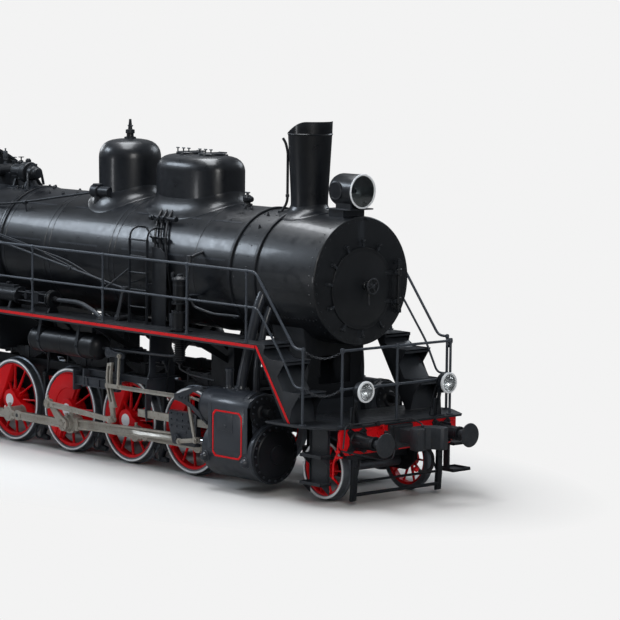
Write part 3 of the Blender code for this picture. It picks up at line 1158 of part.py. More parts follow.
# Running boards and rails
def make_running_boards():
    low = BOARD_TOP_Z - BOARD_THICK
    for side, tag in SIDES:
        rear = CAB_FRONT_X + SEAT_GAP
        edge = [(rear, side * (FIREBOX_HALF_WIDTH + SEAT_GAP * 2)), (rear, side * BOARD_OUTER_Y),
                (BOARD_FRONT_X, side * BOARD_OUTER_Y),
                (BOARD_FRONT_X, side * BOARD_INNER_Y), (PIPE_X + 0.18, side * BOARD_INNER_Y),
                (PIPE_X + 0.18, side * 1.12),
                (PIPE_X - 0.18, side * 1.12), (PIPE_X - 0.18, side * BOARD_INNER_Y),
                (FIREBOX_FRONT_X + 0.1, side * BOARD_INNER_Y),
                (FIREBOX_FRONT_X + 0.1, side * (FIREBOX_HALF_WIDTH + SEAT_GAP * 2))]
        outlines = [edge]
        if side < 0:
            outlines.append(bore((PUMP_X, side * PUMP_Y), PUMP_RADIUS + 0.01, 12))
        shapes = [plate(outlines, "Z", low, BOARD_TOP_Z),
                  box((rear + 0.01, BOARD_FRONT_X - 0.01),
                      (side * (BOARD_OUTER_Y - VALANCE_THICK), side * (BOARD_OUTER_Y + 0.003)),
                      (BOARD_TOP_Z - VALANCE_HEIGHT, BOARD_TOP_Z - 0.004))]
        for bracket_x in (-0.35, 1.1, 3.35):
            bracket = [(side * (BOARD_OUTER_Y - 0.05), low + 0.005),
                       (side * (BOARD_OUTER_Y - 0.05), low - 0.04),
                       (side * 0.35, low - 0.12), (side * 0.35, low + 0.2),
                       (side * BOARD_INNER_Y, low + 0.005)]
            shapes.append(plate([bracket], "X", bracket_x - 0.01, bracket_x + 0.01))
        slope = (STAIR_FOOT_X - BOARD_FRONT_X) / (BOARD_TOP_Z - PLATFORM_TOP_Z)
        foot_z = PLATFORM_TOP_Z + SEAT_GAP
        riser = [(BOARD_FRONT_X - 0.03, BOARD_TOP_Z - 0.003),
                 (BOARD_FRONT_X - 0.005, BOARD_TOP_Z - 0.003), (STAIR_FOOT_X, foot_z),
                 (STAIR_FOOT_X - 0.03, foot_z), (BOARD_FRONT_X - 0.03, low + 0.005)]
        shapes.append(plate([riser], "Y", side * STAIR_INNER_Y, side * (BOARD_OUTER_Y - 0.004)))
        for tread_z in STAIR_TREAD_ZS:
            start = BOARD_FRONT_X + slope * (BOARD_TOP_Z - tread_z) - 0.01
            tread = [(start, tread_z), (start, tread_z - 0.02), (start + 0.12, tread_z - 0.18),
                     (start + 0.33, tread_z - 0.02), (start + 0.33, tread_z)]
            shapes.append(plate([tread], "Y", side * (STAIR_INNER_Y + 0.01), side * (BOARD_OUTER_Y - 0.01)))
        fuse(f"running_board_{tag}", "black_paint", shapes, [barrel_skin(SEAT_GAP)])


def make_rails():
    posts = (CAB_FRONT_X + 0.2, -2.9, -1.9, -0.24, 1.448, 3.353, 4.63)
    for side, tag in SIDES:
        y = side * RAIL_Y
        rear = CAB_FRONT_X + SEAT_GAP
        slope_top = (4.813, y, RAIL_TOP_Z)
        slope_foot = (5.622, side * 1.373, FRONT_RAIL_Z)
        shapes = [tube([(rear, y, RAIL_TOP_Z), slope_top, slope_foot,
                        (POST_A_X + 0.01, side * 1.373, FRONT_RAIL_Z)], RAIL_RADIUS),
                  tube([(rear, y, RAIL_MID_Z), (5.24, y, RAIL_MID_Z)], RAIL_RADIUS * 0.9),
                  box((POST_A_X - POST_HALF, POST_A_X + POST_HALF),
                      (side * 1.373 - POST_HALF, side * 1.373 + POST_HALF),
                      (PLATFORM_TOP_Z + SEAT_GAP, FRONT_RAIL_Z + POST_HALF))]
        for post_x in posts:
            shapes.append(box((post_x - POST_HALF, post_x + POST_HALF), (y - POST_HALF, y + POST_HALF),
                              (BOARD_TOP_Z + SEAT_GAP, RAIL_TOP_Z + POST_HALF)))
        fuse(f"handrail_{tag}", "black_paint", shapes)

    y = FRONT_RAIL_Y
    shapes = []
    for level in (FRONT_RAIL_Z, FRONT_RAIL_MID_Z):
        shapes.append(tube([(FRONT_RAIL_X, -y, level), (FRONT_RAIL_X, y, level)], RAIL_RADIUS))
    for post_y in (-y, 0.0, y):
        shapes.append(box((FRONT_RAIL_X - POST_HALF, FRONT_RAIL_X + POST_HALF),
                          (post_y - POST_HALF, post_y + POST_HALF),
                          (PLATFORM_TOP_Z + SEAT_GAP, FRONT_RAIL_Z + POST_HALF)))
    for side, _ in SIDES:
        for level in (FRONT_RAIL_Z - 0.02, FRONT_RAIL_MID_Z):
            start = Vector((FRONT_RAIL_X, side * y, level))
            end = Vector((POST_A_X + RAIL_RADIUS * 1.6, side * 1.365, level))
            line = []
            for step in range(6):
                share = step / 5
                place = start.lerp(end, share)
                place.z -= CHAIN_SAG * 4 * share * (1 - share)
                line.append(tuple(place))
            shapes.append(tube(line, 0.008))
    fuse("front_rail", "black_paint", shapes)


# Cab
def roof_arc(half_width, eaves, top, steps=12):
    """Points of the roof's curve from the left eaves to the right."""
    rise = top - eaves
    radius = (half_width ** 2 + rise ** 2) / (2 * rise)
    reach = math.degrees(math.asin(half_width / radius))
    return arc((0, top - radius), radius, 90 - reach, 90 + reach, steps)


def make_cab():
    wall = CAB_WALL
    half = CAB_HALF_WIDTH
    front = CAB_FRONT_X
    rear = CAB_REAR_X
    roof_low = CAB_EAVES_Z
    windows = []
    for ahead in WINDOW_FRONTS:
        high_x = front - ahead
        low_x = high_x - WINDOW_LENGTH
        windows.append([(low_x, WINDOW_LOW_Z), (high_x, WINDOW_LOW_Z), (high_x, WINDOW_TOP_Z),
                        (low_x, WINDOW_TOP_Z)])
    for side, tag in SIDES:
        edge = [(rear, CAB_SIDE_LOW_Z), (front - SEAT_GAP - wall, CAB_SIDE_LOW_Z),
                (front - SEAT_GAP - wall, roof_low - SEAT_GAP), (rear, roof_low - SEAT_GAP)]
        fuse(f"cab_side_{tag}", "black_paint",
             [plate([edge] + windows, "Y", side * (half - wall), side * half)])

    top_arc = roof_arc(half, roof_low - SEAT_GAP, CAB_ROOF_TOP_Z - CAB_ROOF_THICK)
    edge = [(half, CAB_SIDE_LOW_Z)] + top_arc + [(-half, CAB_SIDE_LOW_Z)]
    box_half = FIREBOX_HALF_WIDTH + SEAT_GAP
    cut = [(box_half, CAB_SIDE_LOW_Z - 0.1)] + arc((0, BOILER_Z),
                                                   box_half / math.cos(math.radians(5.625)), 0, 180,
                                                   16) + [(-box_half, CAB_SIDE_LOW_Z - 0.1)]
    cuts = [plate([cut], "X", front - 0.2, front + 0.2)]
    pins = []
    for side, tag in SIDES:
        inner = CAB_DOOR_INNER_Y
        cuts.append(box((front - 0.2, front + 0.2), (side * inner, side * (inner + CAB_DOOR_WIDTH)),
                        (CAB_DOOR_LOW_Z, CAB_DOOR_LOW_Z + CAB_DOOR_HEIGHT)))
        gap = RUNNING_GAP
        hinge_x = front + 0.016
        hinge_y = inner + 0.002
        sill = CAB_DOOR_LOW_Z
        head = CAB_DOOR_LOW_Z + CAB_DOOR_HEIGHT
        leaf = box((front - wall, front), (side * (inner + gap),
                                           side * (inner + CAB_DOOR_WIDTH - gap * 2.2)),
                   (sill + gap, head - gap))
        knuckle = rod((hinge_x, side * hinge_y, sill + 0.3), (hinge_x, side * hinge_y, head - 0.3), 0.014,
                      8)
        strap = box((front - 0.005, hinge_x + 0.006), (side * (inner + 0.006), side * (inner + 0.12)),
                    (sill + 0.4, head - 0.4))
        pane = box((front - 0.2, front + 0.2),
                   (side * (inner + 0.09), side * (inner + CAB_DOOR_WIDTH - 0.09)),
                   (head - 0.65, head - 0.2))
        hole = plate([bore((hinge_x, side * hinge_y), 0.006 + SEAT_GAP, 8)], "Z", sill + 0.2, head - 0.2)
        door = fuse(f"cab_door_{tag}", "black_paint", [leaf, knuckle, strap], [pane, hole])
        turn_on(door, f"cab_door_hinge_{tag}", (hinge_x, side * hinge_y, sill))
        lug = [(front - 0.005, inner - 0.03), (front - 0.005, inner - 0.001),
               (front + 0.004, inner - 0.001),
               (front + 0.004, inner + 0.01), (hinge_x + 0.008, inner + 0.01),
               (hinge_x + 0.008, inner - 0.03)]
        for low_z in (sill + 0.262, head - 0.298):
            pins.append(plate([[(along, side * across) for along, across in lug]], "Z", low_z,
                              low_z + 0.036))
        pins.append(rod((hinge_x, side * hinge_y, sill + 0.28), (hinge_x, side * hinge_y, head - 0.28),
                        0.006, 8))
    join_more(fuse("cab_front", "black_paint", [plate([edge], "X", front - wall, front)], cuts), pins)

    roof_half = half + 0.05
    outer = roof_arc(roof_half, roof_low, CAB_ROOF_TOP_Z)
    inner = roof_arc(roof_half, roof_low, CAB_ROOF_TOP_Z - CAB_ROOF_THICK)
    under = [(across, max(up, roof_low)) for across, up in inner[1:-1]]
    fuse("cab_roof", "black_paint", [plate([outer + list(reversed(under))], "X", rear - CAB_ROOF_OVERHANG,
                                           front + 0.08)])

    floor_low = CAB_FLOOR_Z - CAB_FLOOR_THICK
    shapes = [box((rear, FIREBOX_REAR_X - SEAT_GAP), (-half + wall + SEAT_GAP, half - wall - SEAT_GAP),
                  (floor_low, CAB_FLOOR_Z)),
              box((rear + 0.2, FIREBOX_REAR_X - 0.3), (-0.45, 0.45),
                  (FRAME_TOP_Z + SEAT_GAP, floor_low + OVERLAP))]
    fuse("cab_floor", "black_paint", shapes)


def make_air_system():
    y = -PUMP_Y
    wide = PUMP_RADIUS
    small = PUMP_RADIUS * 0.9
    neck = PUMP_RADIUS * 0.55
    # height above the pump's foot, radius: water-side cylinder, waist, steam cylinder, head
    profile = [(0.0, 0.0), (0.0, neck), (0.02, wide), (0.38, wide), (0.4, neck), (0.62, neck),
               (0.64, small),
               (0.94, small), (0.96, neck), (1.0, neck), (1.02, small), (1.24, small), (1.27, 0.07),
               (1.28, 0.0)]
    shapes = [turned(profile, (PUMP_X, y, PUMP_LOW_Z), "Z", 14),
              box((PUMP_X - 0.08, PUMP_X + 0.08), (y + 0.1, -BARREL_FRONT_RADIUS * 0.76),
                  (PUMP_LOW_Z + 1.0, PUMP_LOW_Z + 1.18))]
    fuse("air_pump", "black_paint", shapes, [barrel_skin(SEAT_GAP)])

    half = RESERVOIR_LENGTH / 2
    strap_half = 0.03
    for side, tag in SIDES:
        y = side * RESERVOIR_Y
        profile = [(-half, 0.0), (0.04 - half, RESERVOIR_RADIUS * 0.75), (0.1 - half, RESERVOIR_RADIUS),
                   (half - 0.1, RESERVOIR_RADIUS), (half - 0.04, RESERVOIR_RADIUS * 0.75), (half, 0.0)]
        shapes = [turned(profile, (RESERVOIR_X, y, RESERVOIR_Z), "X", 14)]
        for strap_x in (RESERVOIR_X - half * 0.6, RESERVOIR_X + half * 0.5):
            shapes.append(turned([(-strap_half, 0.0), (-strap_half, RESERVOIR_RADIUS + 0.012),
                                  (strap_half, RESERVOIR_RADIUS + 0.012), (strap_half, 0.0)],
                                 (strap_x, y, RESERVOIR_Z), "X", 14))
            shapes.append(box((strap_x - strap_half, strap_x + strap_half), (y - 0.05, y + 0.05),
                              (RESERVOIR_Z + RESERVOIR_RADIUS * 0.8, BOARD_LOW_Z - SEAT_GAP)))
        fuse(f"air_reservoir_{tag}", "black_paint", shapes)


make_driving_wheels()
make_leading_truck()
make_rods()
make_crossheads()
make_cylinders()
make_motion_brackets()
make_valve_gear()
make_frame()
make_front_end()
make_boiler()
make_mountings()
make_running_boards()
make_rails()
make_cab()
make_air_system()
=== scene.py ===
import bmesh
import bpy
import math
from mathutils import Matrix, Vector


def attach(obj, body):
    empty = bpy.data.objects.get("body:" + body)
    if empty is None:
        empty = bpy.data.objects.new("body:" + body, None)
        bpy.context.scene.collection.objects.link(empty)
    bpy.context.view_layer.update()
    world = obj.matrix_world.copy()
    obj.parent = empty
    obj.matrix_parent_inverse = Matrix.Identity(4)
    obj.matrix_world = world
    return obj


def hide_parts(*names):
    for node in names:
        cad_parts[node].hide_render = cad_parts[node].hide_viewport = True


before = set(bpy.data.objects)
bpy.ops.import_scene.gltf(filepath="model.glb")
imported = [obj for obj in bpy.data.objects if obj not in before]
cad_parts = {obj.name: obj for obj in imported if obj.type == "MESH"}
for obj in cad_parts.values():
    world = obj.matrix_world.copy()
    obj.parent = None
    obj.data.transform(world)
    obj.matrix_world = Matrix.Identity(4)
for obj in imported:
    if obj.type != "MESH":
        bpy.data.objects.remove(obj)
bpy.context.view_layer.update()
print("frame loaded")

# Lengths are in metres. x is measured forward from the main driving axle and moved by modelShift
# when a piece is finished; y is to the locomotive's left and z is up from the rail.
modelShift = Matrix.Translation((-0.69, 0.0, 0.0))
sides = ((-1, "Right"), (1, "Left"))

photoCamera = {
    "place": (35.626, -29.042, 7.042),
    "yaw": 47.684,
    "pitch": 6.024,
    "roll": 0.643,
    "lens": 177.9,
}


def placeCamera(look):
    yaw, pitch, roll = (math.radians(look[key]) for key in ("yaw", "pitch", "roll"))
    ahead = Vector((-math.sin(yaw) * math.cos(pitch), math.cos(yaw) * math.cos(pitch), -math.sin(pitch)))
    level = Vector((math.cos(yaw), math.sin(yaw), 0.0))
    upward = level.cross(ahead)
    right = math.cos(roll) * level + math.sin(roll) * upward
    top = -math.sin(roll) * level + math.cos(roll) * upward
    data = bpy.data.cameras.new("photoCamera")
    data.lens = look["lens"]
    data.sensor_width = 36.0
    data.clip_end = 500.0
    camera = bpy.data.objects.new("photoCamera", data)
    turn = Matrix((right, top, -ahead)).transposed().to_4x4()
    camera.matrix_world = Matrix.Translation(look["place"]) @ turn
    bpy.context.scene.collection.objects.link(camera)
    bpy.context.scene.camera = camera


placeCamera(photoCamera)


# Finishes. Every one is built from noise in the object's own coordinates.
def newFinish(name):
    finish = bpy.data.materials.new(name)
    finish.use_nodes = True
    tree = finish.node_tree
    tree.nodes.clear()
    output = tree.nodes.new("ShaderNodeOutputMaterial")
    shader = tree.nodes.new("ShaderNodeBsdfPrincipled")
    tree.links.new(shader.outputs["BSDF"], output.inputs["Surface"])
    place = tree.nodes.new("ShaderNodeTexCoord")
    return finish, tree, shader, place.outputs["Object"]


def noiseNode(tree, place, scale, detail, stretch=None):
    node = tree.nodes.new("ShaderNodeTexNoise")
    node.inputs["Scale"].default_value = scale
    node.inputs["Detail"].default_value = detail
    node.inputs["Roughness"].default_value = 0.55
    if stretch:
        mapping = tree.nodes.new("ShaderNodeMapping")
        mapping.inputs["Scale"].default_value = stretch
        tree.links.new(place, mapping.inputs["Vector"])
        place = mapping.outputs["Vector"]
    tree.links.new(place, node.inputs["Vector"])
    return node.outputs["Fac"]


def rampNode(tree, value, low, high, start=0.0, end=1.0):
    node = tree.nodes.new("ShaderNodeMapRange")
    node.inputs["From Min"].default_value = low
    node.inputs["From Max"].default_value = high
    node.inputs["To Min"].default_value = start
    node.inputs["To Max"].default_value = end
    tree.links.new(value, node.inputs["Value"])
    return node.outputs["Result"]


def mixColour(tree, amount, first, second):
    node = tree.nodes.new("ShaderNodeMix")
    node.data_type = "RGBA"
    for socket, value in ((node.inputs[6], first), (node.inputs[7], second)):
        if isinstance(value, tuple):
            socket.default_value = (*value, 1.0)
        else:
            tree.links.new(value, socket)
    tree.links.new(amount, node.inputs[0])
    return node.outputs[2]


def plusNode(tree, one, other):
    node = tree.nodes.new("ShaderNodeMath")
    node.operation = "ADD"
    node.use_clamp = True
    tree.links.new(one, node.inputs[0])
    tree.links.new(other, node.inputs[1])
    return node.outputs[0]


def timesNode(tree, first, second):
    node = tree.nodes.new("ShaderNodeMath")
    node.operation = "MULTIPLY"
    tree.links.new(first, node.inputs[0])
    if isinstance(second, float):
        node.inputs[1].default_value = second
    else:
        tree.links.new(second, node.inputs[1])
    return node.outputs[0]


def bumpNode(tree, shader, height, strength, distance):
    node = tree.nodes.new("ShaderNodeBump")
    node.inputs["Strength"].default_value = strength
    node.inputs["Distance"].default_value = distance
    tree.links.new(height, node.inputs["Height"])
    tree.links.new(node.outputs["Normal"], shader.inputs["Normal"])


# Paint with faded patches, dust that lies low and streaks; convex edges are lightened, partly rubbed wear
# and partly a painted edge highlight; look is like blackPaint.
def paintFinish(name, look):
    finish, tree, shader, place = newFinish(name)
    broad = noiseNode(tree, place, 1.3, 5.0)
    fine = noiseNode(tree, place, 9.0, 6.0)
    streak = noiseNode(tree, place, 6.0, 4.0, (1.0, 1.0, 0.12))
    colour = mixColour(tree, rampNode(tree, broad, 0.35, 0.7), look["colour"], look["faded"])
    height = tree.nodes.new("ShaderNodeSeparateXYZ")
    tree.links.new(place, height.inputs["Vector"])
    low = rampNode(tree, height.outputs["Z"], 1.6, 0.0)
    dusty = timesNode(tree, low, rampNode(tree, fine, 0.35, 0.75, 0.25, 1.0))
    dusty = timesNode(tree, dusty, look["dust"])
    colour = mixColour(tree, dusty, colour, look["dustColour"])
    stained = timesNode(tree, rampNode(tree, streak, 0.52, 0.75), look["streaks"])
    colour = mixColour(tree, stained, colour, look["dustColour"])
    # convex edges are lightened towards the worn colour: rubbed paint, and also a painted highlight along
    # every edge
    edges = tree.nodes.new("ShaderNodeNewGeometry")
    edgeRubAndHighlightMask = timesNode(tree, rampNode(tree, edges.outputs["Pointiness"], 0.53, 0.62), look["edgeRubAndHighlight"])
    colour = mixColour(tree, edgeRubAndHighlightMask, colour, look["edgeRubAndHighlightColour"])
    tree.links.new(colour, shader.inputs["Base Color"])
    rough = rampNode(tree, fine, 0.3, 0.75, look["roughness"] * 0.8, look["roughness"] * 1.3)
    tree.links.new(rough, shader.inputs["Roughness"])
    shader.inputs["Coat Weight"].default_value = look["coat"]
    shader.inputs["Coat Roughness"].default_value = 0.12
    shader.inputs["Specular IOR Level"].default_value = look.get("specular", 0.5)
    bumpNode(tree, shader, noiseNode(tree, place, look["grainScale"], 3.0), look["grain"], 0.002)
    return finish


def metalFinish(name, look):
    finish, tree, shader, place = newFinish(name)
    broad = noiseNode(tree, place, 3.0, 5.0)
    drawn = noiseNode(tree, place, 40.0, 3.0, look["stretch"])
    spots = noiseNode(tree, place, 22.0, 5.0)
    colour = mixColour(tree, rampNode(tree, broad, 0.35, 0.7), look["colour"], look["stain"])
    colour = mixColour(tree, timesNode(tree, rampNode(tree, spots, 0.55, 0.72), look["spots"]), colour,
                       look["spotColour"])
    tree.links.new(colour, shader.inputs["Base Color"])
    shader.inputs["Metallic"].default_value = look["metallic"]
    tree.links.new(rampNode(tree, drawn, 0.3, 0.7, look["roughness"] * 0.75, look["roughness"] * 1.25),
                   shader.inputs["Roughness"])
    bumpNode(tree, shader, drawn, look["grain"], 0.001)
    return finish


def glassFinish(name, colour, roughness):
    finish, tree, shader, place = newFinish(name)
    shader.inputs["Base Color"].default_value = (*colour, 1.0)
    shader.inputs["Transmission Weight"].default_value = 1.0
    shader.inputs["IOR"].default_value = 1.45
    smears = noiseNode(tree, place, 7.0, 4.0)
    tree.links.new(rampNode(tree, smears, 0.35, 0.8, roughness, roughness * 3.0),
                   shader.inputs["Roughness"])
    return finish


# the worn colour on convex edges is partly rubbed paint and partly a painted edge highlight
blackPaint = {"colour": (0.0035, 0.0042, 0.0056), "faded": (0.007, 0.0085, 0.0115), "dust": 0.16,
              "dustColour": (0.022, 0.027, 0.034), "streaks": 0.06, "edgeRubAndHighlight": 0.25,
              "edgeRubAndHighlightColour": (0.06, 0.07, 0.085), "roughness": 0.34, "coat": 0.2, "specular": 0.36,
              "grain": 0.14, "grainScale": 26.0}
paints = {
    "boilerBlack": {},
    "railBlack": {"colour": (0.03, 0.036, 0.046), "faded": (0.045, 0.053, 0.066), "roughness": 0.45,
                  "coat": 0.0, "dust": 0.3},
    "frameBlack": {"roughness": 0.44, "coat": 0.05, "specular": 0.3, "dust": 0.2},
    # this black is lighter than the boiler's although it is the same paint: painted light, standing in for
    # the sun and the light bounced up onto cylinders and motion
    "cylinderBlackPaintedLight": {"colour": (0.017, 0.02, 0.026), "faded": (0.027, 0.031, 0.039), "roughness": 0.36,
                      "dust": 0.1},
    "deckBlack": {"colour": (0.008, 0.009, 0.011), "faded": (0.018, 0.02, 0.024), "roughness": 0.42,
                  "coat": 0.1, "streaks": 0.2},
    "smokeboxBlack": {"colour": (0.005, 0.006, 0.0075), "faded": (0.01, 0.0115, 0.014), "roughness": 0.38,
                      "coat": 0.25, "grain": 0.3},
    "signalRed": {"colour": (0.62, 0.0, 0.004), "faded": (0.57, 0.0, 0.004), "dust": 0.04,
                  "dustColour": (0.12, 0.02, 0.02), "edgeRubAndHighlightColour": (0.7, 0.03, 0.03), "edgeRubAndHighlight": 0.3,
                  "roughness": 0.42, "coat": 0.0, "specular": 0.22},
    "whiteEnamel": {"colour": (0.78, 0.8, 0.82), "faded": (0.68, 0.7, 0.72), "dust": 0.35,
                    "dustColour": (0.38, 0.37, 0.36), "edgeRubAndHighlightColour": (0.9, 0.9, 0.9), "roughness": 0.4,
                    "coat": 0.1, "streaks": 0.12},
    "hoseRubber": {"colour": (0.016, 0.016, 0.017), "roughness": 0.7, "coat": 0.0, "grain": 0.5,
                   "grainScale": 90.0},
    "plainWood": {"colour": (0.16, 0.09, 0.045), "faded": (0.24, 0.14, 0.07), "roughness": 0.55,
                  "coat": 0.1, "grain": 0.3},
}
metals = {
    "rodSteel": {"colour": (0.42, 0.395, 0.35), "stain": (0.29, 0.265, 0.225), "spots": 0.5,
                 "spotColour": (0.14, 0.12, 0.1), "metallic": 0.55, "roughness": 0.46,
                 "stretch": (0.15, 1.0, 1.0), "grain": 0.25},
    "tyreSteel": {"colour": (0.2, 0.22, 0.245), "stain": (0.12, 0.13, 0.15), "spots": 0.4,
                  "spotColour": (0.05, 0.045, 0.04), "metallic": 0.7, "roughness": 0.4,
                  "stretch": (1.0, 0.2, 1.0), "grain": 0.2},
    "brightSteel": {"colour": (0.6, 0.61, 0.62), "stain": (0.45, 0.46, 0.47), "spots": 0.2,
                    "spotColour": (0.2, 0.18, 0.16), "metallic": 0.95, "roughness": 0.25,
                    "stretch": (0.2, 1.0, 1.0), "grain": 0.1},
    "darkIron": {"colour": (0.045, 0.05, 0.058), "stain": (0.03, 0.033, 0.038), "spots": 0.4,
                 "spotColour": (0.09, 0.07, 0.055), "metallic": 0.45, "roughness": 0.5,
                 "stretch": (1.0, 1.0, 1.0), "grain": 0.35},
    "brass": {"colour": (0.6, 0.42, 0.16), "stain": (0.4, 0.27, 0.1), "spots": 0.3,
              "spotColour": (0.15, 0.11, 0.05), "metallic": 0.95, "roughness": 0.32,
              "stretch": (1.0, 1.0, 1.0), "grain": 0.1},
}
finishes = {name: paintFinish(name, {**blackPaint, **look}) for name, look in paints.items()}
finishes.update({name: metalFinish(name, look) for name, look in metals.items()})
finishes["lampGlass"] = glassFinish("lampGlass", (0.95, 0.97, 0.98), 0.03)
finishes["windowGlass"] = glassFinish("windowGlass", (0.8, 0.86, 0.86), 0.02)
print("finishes made")


# Shape makers: each adds to a piece that is being built
def newPiece():
    return bmesh.new()


def newPieces(count):
    return [newPiece() for _ in range(count)]


def axisPoint(centre, axis, along, radius, angle):
    across, up = radius * math.cos(angle), radius * math.sin(angle)
    if axis == "X":
        return Vector((centre[0] + along, centre[1] + across, centre[2] + up))
    if axis == "Y":
        return Vector((centre[0] + across, centre[1] + along, centre[2] + up))
    return Vector((centre[0] + across, centre[1] + up, centre[2] + along))


def vertexRing(piece, centre, axis, along, radius, segments):
    angles = [math.tau * step / segments for step in range(segments)]
    return [piece.verts.new(axisPoint(centre, axis, along, radius, angle)) for angle in angles]


def bridgeRings(piece, rings, closed=False):
    pairs = list(zip(rings, rings[1:]))
    if closed:
        pairs.append((rings[-1], rings[0]))
    for lower, upper in pairs:
        if len(lower) == 1 and len(upper) == 1:
            continue
        count = max(len(lower), len(upper))
        for index in range(count):
            after = (index + 1) % count
            corners = [lower[index % len(lower)], lower[after % len(lower)], upper[after % len(upper)],
                       upper[index % len(upper)]]
            unique = []
            for corner in corners:
                if corner not in unique:
                    unique.append(corner)
            if len(unique) > 2:
                piece.faces.new(unique)


# A profile of (along, radius) turned round an axis. It closes on the axis or on itself.
def lathe(piece, profile, centre, axis, segments):
    rings = []
    for along, radius in profile:
        if radius < 1e-6:
            rings.append([piece.verts.new(axisPoint(centre, axis, along, 0.0, 0.0))])
        else:
            rings.append(vertexRing(piece, centre, axis, along, radius, segments))
    bridgeRings(piece, rings, closed=profile[0][1] > 1e-6)


# A round block with softened edges.
def disc(piece, centre, axis, low, high, radius, segments):
    edge = min(radius, abs(high - low)) * 0.12
    lathe(piece, [(low, 0), (low, radius - edge), (low + edge, radius), (high - edge, radius),
                  (high, radius - edge), (high, 0)], centre, axis, segments)


# A profile of (distance from start, radius) turned round the line from start to end.
def alongLine(piece, start, end, profile, segments):
    start, end = Vector(start), Vector(end)
    turn = (end - start).to_track_quat("Z", "Y")
    rings = []
    for along, radius in profile:
        if radius < 1e-6:
            rings.append([piece.verts.new(start + turn @ Vector((0, 0, along)))])
            continue
        rings.append([piece.verts.new(start + turn @ Vector((radius * math.cos(math.tau * step / segments),
            radius * math.sin(math.tau * step / segments), along))) for step in range(segments)])
    bridgeRings(piece, rings, closed=profile[0][1] > 1e-6)


def bar(piece, start, end, radius, segments):
    length = (Vector(end) - Vector(start)).length
    soft = radius * 0.25
    alongLine(piece, start, end, [(0, 0), (0, radius - soft), (soft, radius), (length - soft, radius),
                                  (length, radius - soft), (length, 0)], segments)


def roundCorners(points, radius, steps):
    points = [Vector(point) for point in points]
    path = [points[0]]
    for before, corner, after in zip(points, points[1:], points[2:]):
        back, ahead = before - corner, after - corner
        reach = min(radius, back.length * 0.45, ahead.length * 0.45)
        first, last = corner + back.normalized() * reach, corner + ahead.normalized() * reach
        for step in range(steps + 1):
            share = step / steps
            path.append(first.lerp(corner, share).lerp(corner.lerp(last, share), share))
    path.append(points[-1])
    return path


# A round pipe along a path with rounded corners and closed ends.
def pipe(piece, points, radius, segments=12, bend=0.08, steps=5):
    path = roundCorners(points, bend, steps)
    tangents = []
    for index in range(len(path)):
        tangent = path[min(index + 1, len(path) - 1)] - path[max(index - 1, 0)]
        tangents.append(tangent.normalized())
    side = tangents[0].orthogonal().normalized()
    rings = [[piece.verts.new(path[0])]]
    for index, (place, tangent) in enumerate(zip(path, tangents)):
        if index:
            side = tangents[index - 1].rotation_difference(tangent) @ side
        side = (side - tangent * side.dot(tangent)).normalized()
        other = tangent.cross(side)
        rings.append([piece.verts.new(place + radius * (math.cos(math.tau * step / segments) * side
                                                        + math.sin(math.tau * step / segments) * other))
                      for step in range(segments)])
    rings.append([piece.verts.new(path[-1])])
    bridgeRings(piece, rings)


def block(piece, xs, ys, zs):
    spans = [sorted(pair) for pair in (xs, ys, zs)]
    made = bmesh.ops.create_cube(piece, size=1.0)["verts"]
    for corner in made:
        for axis, (low, high) in enumerate(spans):
            corner.co[axis] = low if corner.co[axis] < 0 else high
    return made


# A block turned about its own middle. turn is a rotation matrix.
def tiltedBlock(piece, centre, size, turn):
    made = bmesh.ops.create_cube(piece, size=1.0)["verts"]
    for corner in made:
        place = Vector((corner.co[axis] * size[axis] for axis in range(3)))
        corner.co = Vector(centre) + turn @ place
    return made


slabTurns = {
    "Z": Matrix.Identity(4),
    "Y": Matrix.Rotation(math.pi / 2, 4, "X"),
    "X": Matrix.Rotation(math.pi / 2, 4, "Z") @ Matrix.Rotation(math.pi / 2, 4, "X"),
}


# A flat piece from closed outlines, the first its edge and the rest its holes, with softened rims.
def slab(piece, outlines, through, low, high, soft):
    low, high = sorted((low, high))
    curve = bpy.data.curves.new("outline", "CURVE")
    curve.dimensions = "2D"
    curve.fill_mode = "BOTH"
    curve.extrude = (high - low) / 2 - soft
    curve.bevel_depth = soft
    curve.bevel_resolution = 1
    curve.offset = -soft
    for outline in outlines:
        spline = curve.splines.new("POLY")
        spline.points.add(len(outline) - 1)
        for point, (across, up) in zip(spline.points, outline):
            point.co = (across, up, 0.0, 1.0)
        spline.use_cyclic_u = True
    holder = bpy.data.objects.new("outline", curve)
    bpy.context.scene.collection.objects.link(holder)
    bpy.context.view_layer.update()
    mesh = bpy.data.meshes.new_from_object(holder.evaluated_get(bpy.context.evaluated_depsgraph_get()))
    shift = Vector((0, 0, 0))
    shift["XYZ".index(through)] = (low + high) / 2
    mesh.transform(Matrix.Translation(shift) @ slabTurns[through])
    made = bmesh.new()
    made.from_mesh(mesh)
    bmesh.ops.remove_doubles(made, verts=made.verts, dist=0.00004)
    made.to_mesh(mesh)
    made.free()
    piece.from_mesh(mesh)
    bpy.data.objects.remove(holder)
    bpy.data.curves.remove(curve)
    bpy.data.meshes.remove(mesh)


# The side makers take y measured outward; side is -1 for the right and 1 for the left.
def sideLathe(piece, side, profile, centre, segments):
    lathe(piece, outward(side, profile), centre, "Y", segments)


def sideBlock(piece, side, xs, ys, zs):
    return block(piece, xs, [side * y for y in ys], zs)


def sideSlab(piece, side, outlines, inner, outer, soft):
    slab(piece, outlines, "Y", side * inner, side * outer, soft)


def arcPoints(centre, radius, start, end, steps):
    turn = math.radians(end - start) / steps
    first = math.radians(start)
    return [(centre[0] + radius * math.cos(first + turn * step),
             centre[1] + radius * math.sin(first + turn * step)) for step in range(steps + 1)]


def ringPoints(centre, radius, segments):
    return arcPoints(centre, radius, 0, 360 - 360 / segments, segments - 1)


def polar(centre, radius, angle):
    return (centre[0] + radius * math.cos(angle), centre[1] + radius * math.sin(angle))


